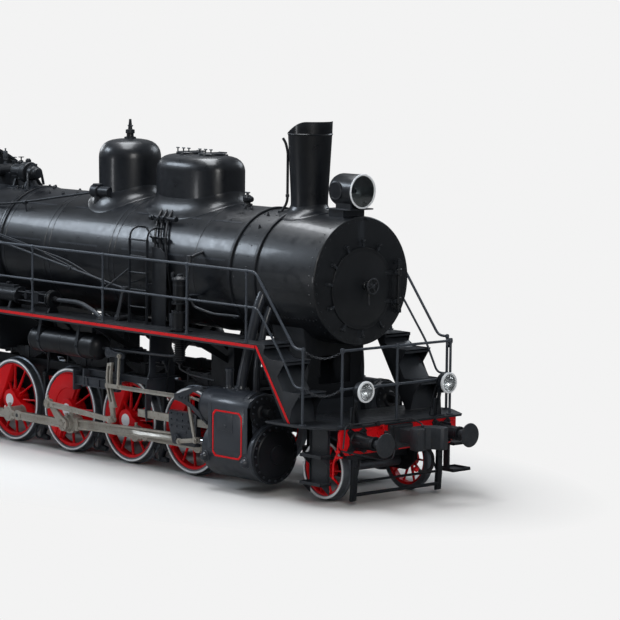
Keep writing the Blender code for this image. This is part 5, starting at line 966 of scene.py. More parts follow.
def makeMountings():
    plan = mountingPlan
    stack = newPiece()
    centreX, rim, top = plan["chimneyX"], plan["chimneyRim"], plan["chimneyTop"]
    rows = [(3.86, 0.24), (3.86, 0.262), (4.1, 0.266), (rim - 0.02, 0.312)]
    beadRows = [(rim - 0.012 + 0.024 * step / 4, 0.314 + 0.009 * math.sin(math.pi * step / 4))
                for step in range(5)]
    inner = [(rim + 0.01, 0.302), (4.6, 0.28), (4.1, 0.244)]
    segments = 80

    def cowlTop(angle):
        share = min(1.0, max(0.0, (math.cos(angle) + 0.72) / 1.35))
        return rim + 0.016 + (top - rim - 0.018) * share * share * (3 - 2 * share)

    rings = []
    for height, radius in rows + beadRows:
        rings.append(vertexRing(stack, (centreX, 0, 0), "Z", height, radius, segments))
    for radius in (0.318, 0.31):
        rings.append([stack.verts.new(axisPoint((centreX, 0, 0), "Z", cowlTop(math.tau * step / segments),
            radius, math.tau * step / segments)) for step in range(segments)])
    for height, radius in inner:
        rings.append(vertexRing(stack, (centreX, 0, 0), "Z", height, radius, segments))
    bridgeRings(stack, rings, closed=True)
    skirt(stack, [(centreX + x, y) for x, y in ringPoints((0, 0), 0.266, 64)], 0.1, 0.17)
    for step in range(12):
        x, y = polar((centreX, 0), 0.4, math.tau * step / 12)
        if abs(y) < 0.42:
            rivet(stack, (x, y, boilerSurface(x, y) + 0.01), (0, y, 0.9), 0.014)
    finishPiece(stack, "chimneyStack", "boilerBlack", stands=["chimney"])

    pipes = newPiece()
    pipe(pipes, [(4.02, -0.22, 3.86), (4.1, -0.167, 4.0), (4.1, -0.167, 4.72), (4.07, -0.185, 4.85),
                 (4.03, -0.2, 4.91)], 0.019, 12, 0.1)
    disc(pipes, (4.02, -0.22, 0), "Z", 3.84, 3.89, 0.04, 16)
    disc(pipes, (4.1, -0.167, 0), "Z", 4.08, 4.12, 0.027, 16)
    # valve between the sand dome and the chimney
    x, y, tall = 3.12, -0.06, 0.19
    base = boilerSurface(x, y)
    disc(pipes, (x, y, 0), "Z", base - 0.02, base + 0.03, 0.075, 24)
    lathe(pipes, [(base, 0), (base, 0.05), (base + 0.05, 0.046), (base + 0.07, 0.066), (base + 0.12, 0.07),
                  (base + 0.15, 0.05), (base + 0.16, 0.022), (base + tall, 0.016), (base + tall, 0)],
          (x, y, 0), "Z", 24)
    bar(pipes, (x - 0.05, y, base + tall), (x + 0.05, y, base + tall), 0.011, 8)
    bar(pipes, (x + 0.02, y, base + 0.1), (x + 0.13, y - 0.03, base + 0.1), 0.03, 14)
    bar(pipes, (x + 0.09, y - 0.02, base + 0.1), (x + 0.12, y - 0.03, base + 0.1), 0.045, 14)
    base = 4.762
    lathe(pipes, shifted(base, [(-0.04, 0), (-0.04, 0.09), (0, 0.09), (0.01, 0.056), (0.05, 0.052),
                                (0.06, 0.07), (0.11, 0.068), (0.12, 0.034), (0.19, 0.026), (0.27, 0.018),
                                (0.27, 0)]), (plan["steamX"], 0, 0), "Z", 24)
    bar(pipes, (0.3, 0, base + 0.17), (0.41, 0, base + 0.17), 0.012, 8)
    # steam valve on the dome's flank with its long operating rod
    flank, reach = -0.46, 3.955
    disc(pipes, (0.16, flank, reach), "X", -0.1, 0.06, 0.1, 28)
    disc(pipes, (0.2, flank, reach), "X", 0.0, 0.26, 0.074, 24)
    disc(pipes, (0.16, flank, 0), "Z", reach - 0.2, reach + 0.09, 0.06, 24)
    disc(pipes, (0.16, flank, 0), "Z", reach + 0.08, reach + 0.11, 0.078, 20)
    bar(pipes, (0.0, flank, reach - 0.01), (0.12, flank, reach - 0.01), 0.05, 20)
    pipe(pipes, [(0.02, flank - 0.02, reach - 0.03), (-1.29, -0.72, 3.715), (-1.95, -0.735, 3.64),
                 (-2.6, -0.74, 3.63), (-3.97, -0.75, 3.63)], 0.019, 12, 0.3)
    for x, y, up in ((-1.31, -0.72, 3.71), (-2.75, -0.74, 3.63)):
        bar(pipes, (x, y + 0.04, up - 0.16), (x, y, up), 0.014, 10)
        bar(pipes, (x - 0.04, y, up), (x + 0.04, y, up), 0.034, 14)
    finishPiece(pipes, "boilerFittings", "frameBlack")

    dome = newPiece()
    wall = plan["steamRadius"]
    lathe(dome, [(3.75, 0), (3.75, wall - 0.01), (4.45, wall), (4.51, 0.466), (4.57, 0.452), (4.62, 0.426),
                 (4.665, 0.386), (4.697, 0.336), (4.72, 0.27), (4.735, 0.18), (4.741, 0.09), (4.743, 0)],
          (plan["steamX"], 0, 0), "Z", 96)
    skirt(dome, [(plan["steamX"] + x, y) for x, y in ringPoints((0, 0), wall, 72)], 0.16, 0.16)
    finishPiece(dome, "steamDome", "boilerBlack", stands=["steam_dome"], smooth=40)

    sand = newPiece()
    middle, long, half, power = plan["sandX"], plan["sandLong"], plan["sandHalf"], 2 / 2.7
    oval = []
    for step in range(96):
        turn = math.tau * step / 96
        cosine, sine = math.cos(turn), math.sin(turn)
        oval.append((middle + long * math.copysign(abs(cosine) ** power, cosine),
                     half * math.copysign(abs(sine) ** power, sine)))

    def ovalRing(height, inset):
        return [sand.verts.new((middle + (x - middle) * (long - inset) / long, y * (half - inset) / half,
                                height)) for x, y in oval]

    rings = [ovalRing(height, inset) for height, inset in ((3.72, 0.0), (4.36, 0.0), (4.41, 0.008),
        (4.46, 0.028), (4.505, 0.062), (4.54, 0.11), (4.562, 0.17), (4.575, 0.24), (4.58, 0.3))]
    bridgeRings(sand, rings)
    sand.faces.new(rings[0])
    sand.faces.new(rings[-1])
    skirt(sand, oval, 0.17, 0.16)
    for x in plan["lids"]:
        lathe(sand, [(4.56, 0), (4.56, 0.205), (4.575, 0.205), (4.5795, 0.16), (4.5798, 0)], (x, 0, 0), "Z",
              48)
        block(sand, (x - 0.05, x + 0.05), (0.236, 0.27), (4.54, 4.585))
    finishPiece(sand, "sandDome", "boilerBlack", stands=["sand_dome"], smooth=40)
    for number, x in enumerate(plan["lids"], start=1):
        lid = newPiece()
        seat = 4.5805
        lathe(lid, shifted(seat, [(0, 0), (0, 0.2), (0.022, 0.2), (0.03, 0.192), (0.034, 0.15),
                                  (0.036, 0)]), (x, 0, 0), "Z", 56)
        bar(lid, (x - 0.09, 0.21, seat + 0.03), (x + 0.09, 0.21, seat + 0.03), 0.012, 12)
        block(lid, (x - 0.03, x + 0.03), (0.0, 0.21), (seat + 0.028, seat + 0.04))
        for across in (-0.13, 0.0, 0.12):
            bar(lid, (x + across, -0.12, seat + 0.02), (x + across, -0.12, seat + 0.085), 0.01, 10)
            bar(lid, (x + across - 0.032, -0.12, seat + 0.085), (x + across + 0.032, -0.12, seat + 0.085),
                0.0095, 10)
        finishPiece(lid, f"sandLid{number}", "boilerBlack", body=f"sand_lid_{number}_leaf",
                    stands=[f"sand_lid_{number}"], smooth=30)


lampPlan = {"height": 4.23, "front": 5.48, "radius": 0.235, "length": 0.53, "shelf": 3.985}


def makeHeadlamp():
    plan = lampPlan
    front, radius, centre = plan["front"], plan["radius"], (0, 0, plan["height"])
    rear = front - plan["length"]
    drum, rim, glass, bowl = newPieces(4)
    lathe(drum, [(rear, 0), (rear, 0.12), (rear + 0.02, 0.165), (rear + 0.06, 0.212),
                 (rear + 0.1, radius - 0.006), (rear + 0.13, radius), (front - 0.05, radius),
                 (front - 0.045, radius + 0.006), (front - 0.012, radius + 0.006),
                 (front - 0.012, radius - 0.02), (front - 0.2, radius - 0.02), (front - 0.3, 0.1),
                 (front - 0.3, 0)], centre, "X", 72)
    for side, _ in sides:
        at = (rear + 0.22, 0, plan["height"])
        sideLathe(drum, side, shifted(radius, [(-0.05, 0), (-0.05, 0.13), (0.004, 0.13), (0.008, 0.122),
            (0.008, 0.112), (0.003, 0.106), (0.003, 0)]), at, 48)
        sideBlock(drum, side, (5.1, 5.4), (0.12, 0.16), (plan["shelf"], plan["height"] - 0.14))
    block(drum, (5.14, 5.36), (-0.13, 0.13), (plan["shelf"], plan["height"] - 0.2))
    slab(drum, [[(5.0, -0.25), (5.43, -0.25), (5.46, -0.22), (5.46, 0.22), (5.43, 0.25), (5.0, 0.25)]], "Z",
         plan["shelf"] - 0.016, plan["shelf"], 0.003)
    for side, _ in sides:
        sideBlock(drum, side, (5.0, 5.3), (0.2, 0.18), (3.8, plan["shelf"] - 0.01))
    for x in (5.0, 5.28):
        block(drum, (x, x + 0.02), (-0.19, 0.19), (3.84, plan["shelf"] - 0.01))
    finishPiece(drum, "headlampDrum", "boilerBlack", stands=["headlamp"])
    lathe(rim, shifted(front, [(-0.012, radius - 0.018), (-0.012, radius + 0.004), (-0.006, radius + 0.008),
                               (0.004, radius + 0.006), (0.01, radius - 0.002), (0.006, radius - 0.012),
                               (0, radius - 0.018)]), centre, "X", 72)
    finishPiece(rim, "headlampRim", "whiteEnamel")
    lathe(glass, shifted(front, [(-0.012, 0), (-0.012, radius - 0.022), (-0.004, radius - 0.022),
                                 (0.004, 0.15), (0.008, 0)]), centre, "X", 64)
    finishPiece(glass, "headlampGlass", "windowGlass", smooth=50)
    lathe(bowl, shifted(front, [(-0.27, 0), (-0.26, 0.05), (-0.22, 0.12), (-0.14, 0.18), (-0.05, 0.212),
                                (-0.05, 0.214), (-0.15, 0.185), (-0.23, 0.125), (-0.28, 0.05),
                                (-0.285, 0)]), centre, "X", 64)
    disc(bowl, centre, "X", front - 0.2, front - 0.15, 0.028, 20)
    bar(bowl, (front - 0.27, 0, plan["height"]), (front - 0.18, 0, plan["height"]), 0.014, 12)
    finishPiece(bowl, "headlampBowl", "darkIron", smooth=50)


makeBarrel()
makeSmokebox()
makeMountings()
makeHeadlamp()
print("boiler made")


# Front end
frontPlan = {"beamFront": 6.268, "beamHalf": 1.102, "beamTop": 1.08, "beamLow": 0.72, "deck": 1.112,
             "bufferY": 0.804, "bufferZ": 0.908, "lampY": 0.79, "lampZ": 1.595, "lampFront": 6.448,
             "railX": 6.211, "railY": 1.03, "postX": 5.797, "postY": 1.373, "foot": 1.1125,
             "flangeFoot": 1.1123}


# A hanging chain of oval links, each turned a quarter from the last.
def chainLinks(piece, start, end, sag, count, size=0.021, wire=0.0052):
    start, end = Vector(start), Vector(end)

    def place(share):
        spot = start.lerp(end, share)
        spot.z -= sag * 4 * share * (1 - share)
        return spot

    for index in range(count):
        share = (index + 0.5) / count
        along = (place(min(1, share + 0.02)) - place(max(0, share - 0.02))).normalized()
        across = along.cross(Vector((0, 0, 1))).normalized()
        if index % 2:
            across = along.cross(across)
        reach = (end - start).length / count * 0.78
        points = []
        for step in range(14):
            angle = math.tau * step / 14
            points.append(place(share) + along * reach * math.cos(angle) + across * size * 0.62
                          * math.sin(angle))
        normal = along.cross(across)
        rings = []
        for step, point in enumerate(points):
            tangent = (points[(step + 1) % 14] - points[step - 1]).normalized()
            other = tangent.cross(normal)
            rings.append([piece.verts.new(point + wire * (math.cos(math.tau * turn / 6) * normal
                + math.sin(math.tau * turn / 6) * other)) for turn in range(6)])
        bridgeRings(piece, rings, closed=True)


def makeFrontBeam():
    plan = frontPlan
    front, half, top, low = plan["beamFront"], plan["beamHalf"], plan["beamTop"], plan["beamLow"]
    beam = newPiece()
    outline = [(-half, low + 0.11), (-half + 0.11, low), (half - 0.11, low), (half, low + 0.11),
               (half, top), (-half, top)]
    slab(beam, [outline], "X", front - 0.028, front, 0.003)
    block(beam, (front - 0.058, front - 0.02), (-half + 0.002, half - 0.002), (top - 0.03, top - 0.002))
    block(beam, (front - 0.058, front - 0.02), (-half + 0.12, half - 0.12), (low + 0.002, low + 0.03))
    for side, _ in sides:
        sideBlock(beam, side, (front - 0.058, front - 0.02), (half - 0.03, half - 0.002),
                  (low + 0.12, top - 0.01))
        for y in (0.3, 0.42, 0.54, 1.03):
            for z in (0.78, 0.87, 0.96, 1.04):
                rivet(beam, (front, side * y, z), (1, 0, 0), 0.015)
    for step in range(13):
        rivet(beam, (front, -1.02 + step * 0.17, top - 0.025), (1, 0, 0), 0.011)
    finishPiece(beam, "bufferBeam", "signalRed", stands=["front_beam"], bevel=0.002)

    for side, word in sides:
        y, z = side * plan["bufferY"], plan["bufferZ"]
        case, head = newPieces(2)
        lathe(case, shifted(front, [(0.0005, 0), (0.0005, 0.135), (0.018, 0.135), (0.03, 0.118),
                                    (0.08, 0.106), (0.2, 0.096), (0.34, 0.092), (0.35, 0.1), (0.39, 0.1),
                                    (0.395, 0.085), (0.395, 0)]), (0, y, z), "X", 48)
        spider = []
        for turn in range(4):
            for off, radius in ((-0.16, 0.225), (0.16, 0.225), (math.pi / 4, 0.105)):
                angle = math.tau * turn / 4 + math.pi / 4 + off
                spider.append((y + radius * math.cos(angle), z + radius * math.sin(angle)))
        slab(case, [spider], "X", front + 0.0005, front + 0.02, 0.003)
        for turn in range(4):
            angle = math.tau * turn / 4 + math.pi / 4
            spot = (front + 0.02, y + 0.19 * math.cos(angle), z + 0.19 * math.sin(angle))
            hexNut(case, spot, (1, 0, 0), 0.024, 0.022)
            across = Vector((0, math.cos(angle - math.pi / 4), math.sin(angle - math.pi / 4)))
            tiltedBlock(case, Vector((front + 0.1, y, z)) + across * 0.105,
                        (0.2, 0.05, 0.018) if abs(across.y) > 0.5 else (0.2, 0.018, 0.05),
                        Matrix.Identity(3))
        finishPiece(case, f"bufferCase{word}", "frameBlack", stands=[f"buffer_{word.lower()}"],
                    slotName="dark_steel", smooth=30, bevel=0.003)
        lathe(head, [(6.62, 0), (6.62, 0.062), (6.8, 0.062), (6.812, 0.075), (6.822, 0.15), (6.83, 0.164),
                     (6.842, 0.17), (6.852, 0.165), (6.859, 0.14), (6.8635, 0.07), (6.864, 0)], (0, y, z),
              "X", 56)
        finishPiece(head, f"bufferHead{word}", "darkIron", smooth=35)

    jaw = newPiece()
    outer = [(6.62, -0.1), (6.69, -0.2), (6.8, -0.235), (6.87, -0.22), (6.9, -0.15), (6.88, -0.1),
             (6.81, -0.07), (6.79, 0.0), (6.82, 0.07), (6.9, 0.1), (6.97, 0.11), (7.0, 0.15), (6.99, 0.23),
             (6.93, 0.275), (6.8, 0.27), (6.7, 0.23), (6.62, 0.12)]
    slab(jaw, [outer], "Z", 0.775, 1.085, 0.018)
    slab(jaw, [[(6.285, -0.085), (6.66, -0.1), (6.66, 0.12), (6.285, 0.085)]], "Z", 0.83, 1.03, 0.02)
    block(jaw, (6.2685, 6.31), (-0.22, 0.22), (0.745, 1.075))
    block(jaw, (6.3, 6.36), (-0.16, 0.16), (0.78, 1.06))
    for z in (0.775, 1.06):
        disc(jaw, (6.9, 0.19, 0), "Z", z, z + 0.03, 0.045, 24)
    for y in (-0.19, 0.19):
        for z in (0.78, 0.91, 1.04):
            hexNut(jaw, (6.31, y, z), (1, 0, 0), 0.022, 0.02)
    bar(jaw, (6.78, -0.05, 1.085), (6.78, -0.05, 1.12), 0.02, 12)
    finishPiece(jaw, "couplerHead", "darkIron", stands=["coupler"], smooth=35, bevel=0.006)

    rods = newPiece()  # uncoupling rod, brake pipe with its hose and cock
    pipe(rods, [(6.31, -1.09, 0.83), (6.31, -1.05, 1.13), (6.31, -0.9, 1.145), (6.31, 0.1, 1.145),
                (6.42, 0.12, 1.145), (6.74, -0.03, 1.13), (6.78, -0.05, 1.1)], 0.011, 10, 0.04)
    pipe(rods, [(6.31, -1.12, 0.8), (6.35, -0.95, 0.76), (6.36, -0.36, 0.61), (6.37, -0.22, 0.62),
                (6.37, -0.16, 0.78)], 0.013, 10, 0.04)
    for y in (-0.95, -0.45):
        block(rods, (6.268, 6.325), (y - 0.02, y + 0.02), (1.1, 1.16))
    finishPiece(rods, "uncouplingRod", "darkIron", smooth=38)
    hose, ends = newPieces(2)
    pipe(hose, [(6.33, 0.3, 0.9), (6.42, 0.33, 0.76), (6.44, 0.5, 0.62), (6.42, 0.5, 0.42),
                (6.39, 0.37, 0.37), (6.36, 0.25, 0.43)], 0.024, 16, 0.12, 8)
    pipe(hose, [(6.36, -0.36, 1.0), (6.44, -0.36, 0.99), (6.47, -0.3, 0.86), (6.45, -0.2, 0.78)], 0.027, 16,
         0.12, 8)
    finishPiece(hose, "brakeHose", "hoseRubber", smooth=40)
    pipe(ends, [(6.24, -0.36, 1.0), (6.37, -0.36, 1.0)], 0.03, 14)
    disc(ends, (0, -0.36, 1.0), "X", 6.262, 6.285, 0.055, 20)
    bar(ends, (6.33, -0.36, 1.0), (6.33, -0.36, 1.09), 0.013, 10)
    bar(ends, (6.33, -0.42, 1.09), (6.33, -0.34, 1.09), 0.012, 10)
    bar(ends, (6.37, 0.27, 0.415), (6.35, 0.22, 0.445), 0.034, 14)
    pipe(ends, [(6.2, -1.08, 0.9), (6.2, -1.09, 0.76), (6.19, -1.13, 0.68), (6.18, -1.15, 0.6),
                (6.18, -1.15, 0.4)], 0.013, 14, 0.04)
    disc(ends, (6.2, -1.085, 0), "Z", 0.76, 0.8, 0.034, 18)
    disc(ends, (6.2, -1.1, 0), "Z", 0.68, 0.72, 0.028, 18)
    bar(ends, (6.2, -1.09, 0.7), (6.26, -1.05, 0.7), 0.014, 10)
    finishPiece(ends, "brakePipe", "signalRed", smooth=38)


# The front deck's edge, drawn in by an inset.
def deckOutline(inset):
    rear, corner, front = 5.12 + inset, 5.847 - inset * 0.4, 6.288 - inset
    half = [(rear, 1.45 - inset), (corner, 1.45 - inset), (6.25 - inset, 1.24 - inset),
            (front, 1.2 - inset)]
    return [(x, -y) for x, y in half] + list(reversed(half))


def makePlatform():
    plan = frontPlan
    deck, steps = newPieces(2)
    low = plan["deck"] - 0.03
    edge = deckOutline(0.0)
    slab(deck, [edge], "Z", plan["deck"] - 0.012, plan["deck"], 0.003)
    slab(deck, [deckOutline(0.004), deckOutline(0.03)], "Z", low, plan["deck"] - 0.01, 0.002)
    for x in (5.3, 5.8):
        block(deck, (x, x + 0.04), (-1.42, 1.42), (low, plan["deck"] - 0.012))
    for row in range(7):  # raised tread bars
        for x in range(11):
            place = Vector((5.18 + x * 0.1, -1.32 + row * 0.44, plan["deck"] + 0.001))
            if place.x < 5.85 or abs(place.y) < 1.0:
                tiltedBlock(deck, place, (0.06, 0.014, 0.005),
                            Matrix.Rotation(math.radians(45 if (row + x) % 2 else -45), 3, "Z"))
    finishPiece(deck, "frontDeck", "deckBlack", stands=["front_platform"])
    # the right step hangs on a broad panel, the left one on a narrow bar further ahead
    for side, (low, high), (treadLow, treadHigh), depth in ((-1, (5.66, 6.04), (5.64, 6.06), 0.2),
            (1, (6.05, 6.15), (5.94, 6.26), 0.34)):
        y = side * 1.08
        block(steps, (low, high), (y, y + side * 0.016), (0.29, 1.082))
        for x in (low + 0.008, high - 0.016):
            block(steps, (x, x + 0.008), (y + side * 0.014, y + side * 0.04), (0.31, 1.08))
        for z in (0.29, 0.67):
            block(steps, (treadLow, treadHigh), (y - side * 0.01, y + side * depth), (z + 0.008, z + 0.02))
            for edgeY in (0.0, depth - 0.01):
                block(steps, (treadLow, treadHigh), (y + side * (edgeY - 0.01), y + side * (edgeY + 0.004)),
                      (z, z + 0.045))
            for x in (treadLow, treadHigh - 0.01):
                block(steps, (x, x + 0.01), (y - side * 0.008, y + side * (depth - 0.01)), (z, z + 0.045))
            for x in (low - 0.004, high - 0.004) if side < 0 else ():
                slab(steps, [outward(side, ((1.09, z - 0.13), (1.1, z - 0.13),
                                            (1.07 + depth * 0.9, z + 0.008), (1.09, z + 0.008)))], "X", x,
                     x + 0.008, 0.001)
        spread = (high - low) / 2 - 0.06
        for z in (0.36, 0.42, 0.74, 0.8, 1.03):
            for along in ((-spread, 0.0, spread) if spread > 0.05 else (0.0,)):
                rivet(steps, ((low + high) / 2 + along, y + side * 0.016, z), (0, side, 0), 0.012)
    finishPiece(steps, "frontSteps", "deckBlack", bevel=0.002)
    guard = newPiece()
    for side, _ in sides:
        y = side * 0.81
        slab(guard, [[(6.215, 0.71), (6.265, 0.71), (6.262, 0.3), (6.243, 0.075), (6.2, 0.062),
                      (6.19, 0.09), (6.205, 0.3)]], "Y", y - 0.045, y + 0.045, 0.004)
        block(guard, (6.2, 6.262), (y - 0.09, y + 0.09), (0.655, 0.712))
        for z in (0.62, 0.54):
            hexNut(guard, (6.262, y, z), (1, 0, 0), 0.018, 0.016)
        pipe(guard, sidePath(side, [(6.2, 0.66, 0.7), (6.225, 0.74, 0.42), (6.23, 0.79, 0.32)]), 0.013, 8)
    bar(guard, (6.238, -0.79, 0.16), (6.238, 0.79, 0.16), 0.024, 20)
    bar(guard, (6.23, -0.79, 0.335), (6.23, 0.79, 0.335), 0.018, 20)
    finishPiece(guard, "railGuard", "frameBlack", stands=["rail_guard"], bevel=0.002)


def makeFrontLamps():
    plan = frontPlan
    for side, word in sides:
        y, z, front = side * plan["lampY"], plan["lampZ"], plan["lampFront"]
        case, rim, glass = newPieces(3)
        lathe(case, shifted(front, [(-0.2, 0), (-0.2, 0.05), (-0.185, 0.085), (-0.14, 0.128), (-0.1, 0.14),
                                    (-0.03, 0.142), (-0.03, 0.118), (-0.12, 0.1), (-0.16, 0.03),
                                    (-0.16, 0)]), (0, y, z), "X", 56)
        pipe(case, [(6.2, y + side * 0.02, plan["foot"]), (6.2, y + side * 0.02, 1.3), (6.24, y, 1.4),
                    (6.26, y, 1.5)], 0.027, 12, 0.05)
        block(case, (6.14, 6.27), (y - 0.085, y + 0.085), (plan["flangeFoot"], 1.13))
        slab(case, [taper(y, 0.075, 0.06, 1.125, 1.36), taper(y, 0.03, 0.025, 1.17, 1.31)],
             "X", 6.185, 6.215, 0.003)
        block(case, (front - 0.22, front - 0.14), (y - 0.03, y + 0.03), (z - 0.15, z - 0.09))
        pipe(case, [(front - 0.19, y, z), (6.18, y, z - 0.05), (6.14, y - side * 0.05, 1.3),
                    (6.12, y - side * 0.06, 1.12)], 0.009, 8, 0.04)
        finishPiece(case, f"frontLampCase{word}", "frameBlack", stands=[f"front_lamp_{word.lower()}"])
        lathe(rim, shifted(front, [(-0.036, 0.118), (-0.036, 0.143), (-0.028, 0.148), (-0.008, 0.147),
                                   (0.004, 0.138), (0.004, 0.126), (-0.004, 0.118)]), (0, y, z), "X", 56)
        finishPiece(rim, f"frontLampRim{word}", "whiteEnamel")
        lathe(glass, shifted(front, [(-0.016, 0), (-0.016, 0.12), (-0.008, 0.12), (0, 0.08), (0.004, 0)]),
              (0, y, z), "X", 48)
        for step in range(9):
            across = -0.1 + step * 0.025
            tall = math.sqrt(max(0.0, 0.112 ** 2 - across ** 2))
            bar(glass, (front - 0.002, y + across, z - tall), (front - 0.002, y + across, z + tall), 0.0045,
                6)
        finishPiece(glass, f"frontLampGlass{word}", "lampGlass", smooth=50)
        bowl = newPiece()
        lathe(bowl, shifted(front, [(-0.14, 0), (-0.12, 0.06), (-0.06, 0.1), (-0.03, 0.115),
                                    (-0.032, 0.117), (-0.065, 0.103), (-0.125, 0.065), (-0.15, 0)]),
              (0, y, z), "X", 48)
        disc(bowl, (0, y, z), "X", front - 0.11, front - 0.07, 0.018, 16)
        finishPiece(bowl, f"frontLampBowl{word}", "brightSteel", slotName="dark_steel", smooth=50)


makeFrontBeam()
makePlatform()
makeFrontLamps()
print("front end made")


# Boards, stairs and rails
railPlan = {"foot": 2.1402, "plateFoot": 2.1403, "top": 3.137, "middle": 2.64, "y": 1.385, "board": 2.14,
            "outer": 1.4, "posts": (-3.78, -2.9, -1.9, -0.24, 1.448, 3.353, 4.63), "frontTop": 2.149,
            "frontMiddle": 1.62}
stairTreads = ((5.1, 5.42, 1.94), (5.42, 5.76, 1.53))


def makeBoards():
    for side, word in sides:
        board, line = newPieces(2)
        outer = railPlan["outer"] * side
        top = railPlan["board"]
        edge = [(-3.9797, 0.926), (-3.9797, 1.4), (4.84, 1.4), (4.84, 0.78), (4.53, 0.78), (4.53, 1.12),
                (4.17, 1.12), (4.17, 0.78), (-1.6, 0.78), (-1.6, 0.926)]
        outlines = [[(x, side * y) for x, y in edge]]
        if side < 0:
            outlines.append(ringPoints((3.01, -1.2), 0.175, 32))
        slab(board, outlines, "Z", top - 0.014, top, 0.003)
        block(board, (-3.97, 4.83), (outer - side * 0.016, outer + side * 0.002),
              (top - 0.085, top - 0.012))
        for x in [-3.84 + step * 0.62 for step in range(14)]:
            block(board, (x - 0.012, x + 0.012), (side * (0.8 if x > -1.6 else 1.0), outer - side * 0.02),
                  (top - 0.05, top - 0.012))
        for step in range(29):
            rivet(board, (-3.93 + step * 0.31, outer + side * 0.002, top - 0.03), (0, side, 0), 0.009)
        for x in (-0.35, 1.1, 3.35):
            arm = outward(side, [(1.36, top - 0.03), (1.36, top - 0.075), (0.52, 1.62), (0.38, 1.45),
                                 (0.34, 1.45), (0.34, 1.6), (0.78, top - 0.03)])
            hole = outward(side, [(1.1, top - 0.09), (0.62, 1.77), (0.6, 1.9), (0.82, top - 0.09)])
            slab(board, [arm, hole], "X", x - 0.012, x + 0.012, 0.002)
        # stair side plates, risers and treads
        plateEdge = [(4.8, 2.138), (5.03, 2.138), (5.0, 2.02), (5.12, 1.955), (5.45, 1.955), (5.3, 1.74),
                     (5.38, 1.6), (5.42, 1.545), (5.77, 1.545), (5.6, 1.32), (5.55, frontPlan["foot"]),
                     (5.45, frontPlan["foot"])]
        for y in (side * 0.905, outer - side * 0.018):
            slab(board, [plateEdge], "Y", y, y + side * 0.012, 0.002)
        for start, end, up in ((4.84, 5.03, 2.138),) + stairTreads:
            block(board, (start, end), (side * 0.91, outer - side * 0.008), (up - 0.016, up))
            block(board, (end - 0.01, end), (side * 0.91, outer - side * 0.008), (up - 0.045, up))
            for slat in range(4):
                x = start + (end - start) * (slat + 0.6) / 4.4
                block(board, (x - 0.012, x + 0.012), (side * 0.93, outer - side * 0.03), (up, up + 0.005))
        for (x0, z0), (x1, z1) in (((4.86, 2.12), (5.1, 1.94)), ((5.14, 1.93), (5.42, 1.53)),
                                   ((5.46, 1.5), (5.54, 1.115))):
            slab(board, [[(x0, z0), (x0 + 0.012, z0), (x1 + 0.012, z1), (x1, z1)]], "Y", side * 0.915,
                 outer - side * 0.02, 0.001)
        finishPiece(board, f"runningBoard{word}", "deckBlack", stands=[f"running_board_{word.lower()}"])
        lineOut = outer + side * 0.006
        block(line, (-3.97, 4.83), (outer + side * 0.0015, lineOut), (top - 0.058, top - 0.018))
        slab(line, [[(4.82, top - 0.018), (4.865, top - 0.018), (5.565, 1.118), (5.52, 1.118)]], "Y",
             outer - side * 0.012, outer + side * 0.0, 0.002)
        finishPiece(line, f"redLine{word}", "signalRed")


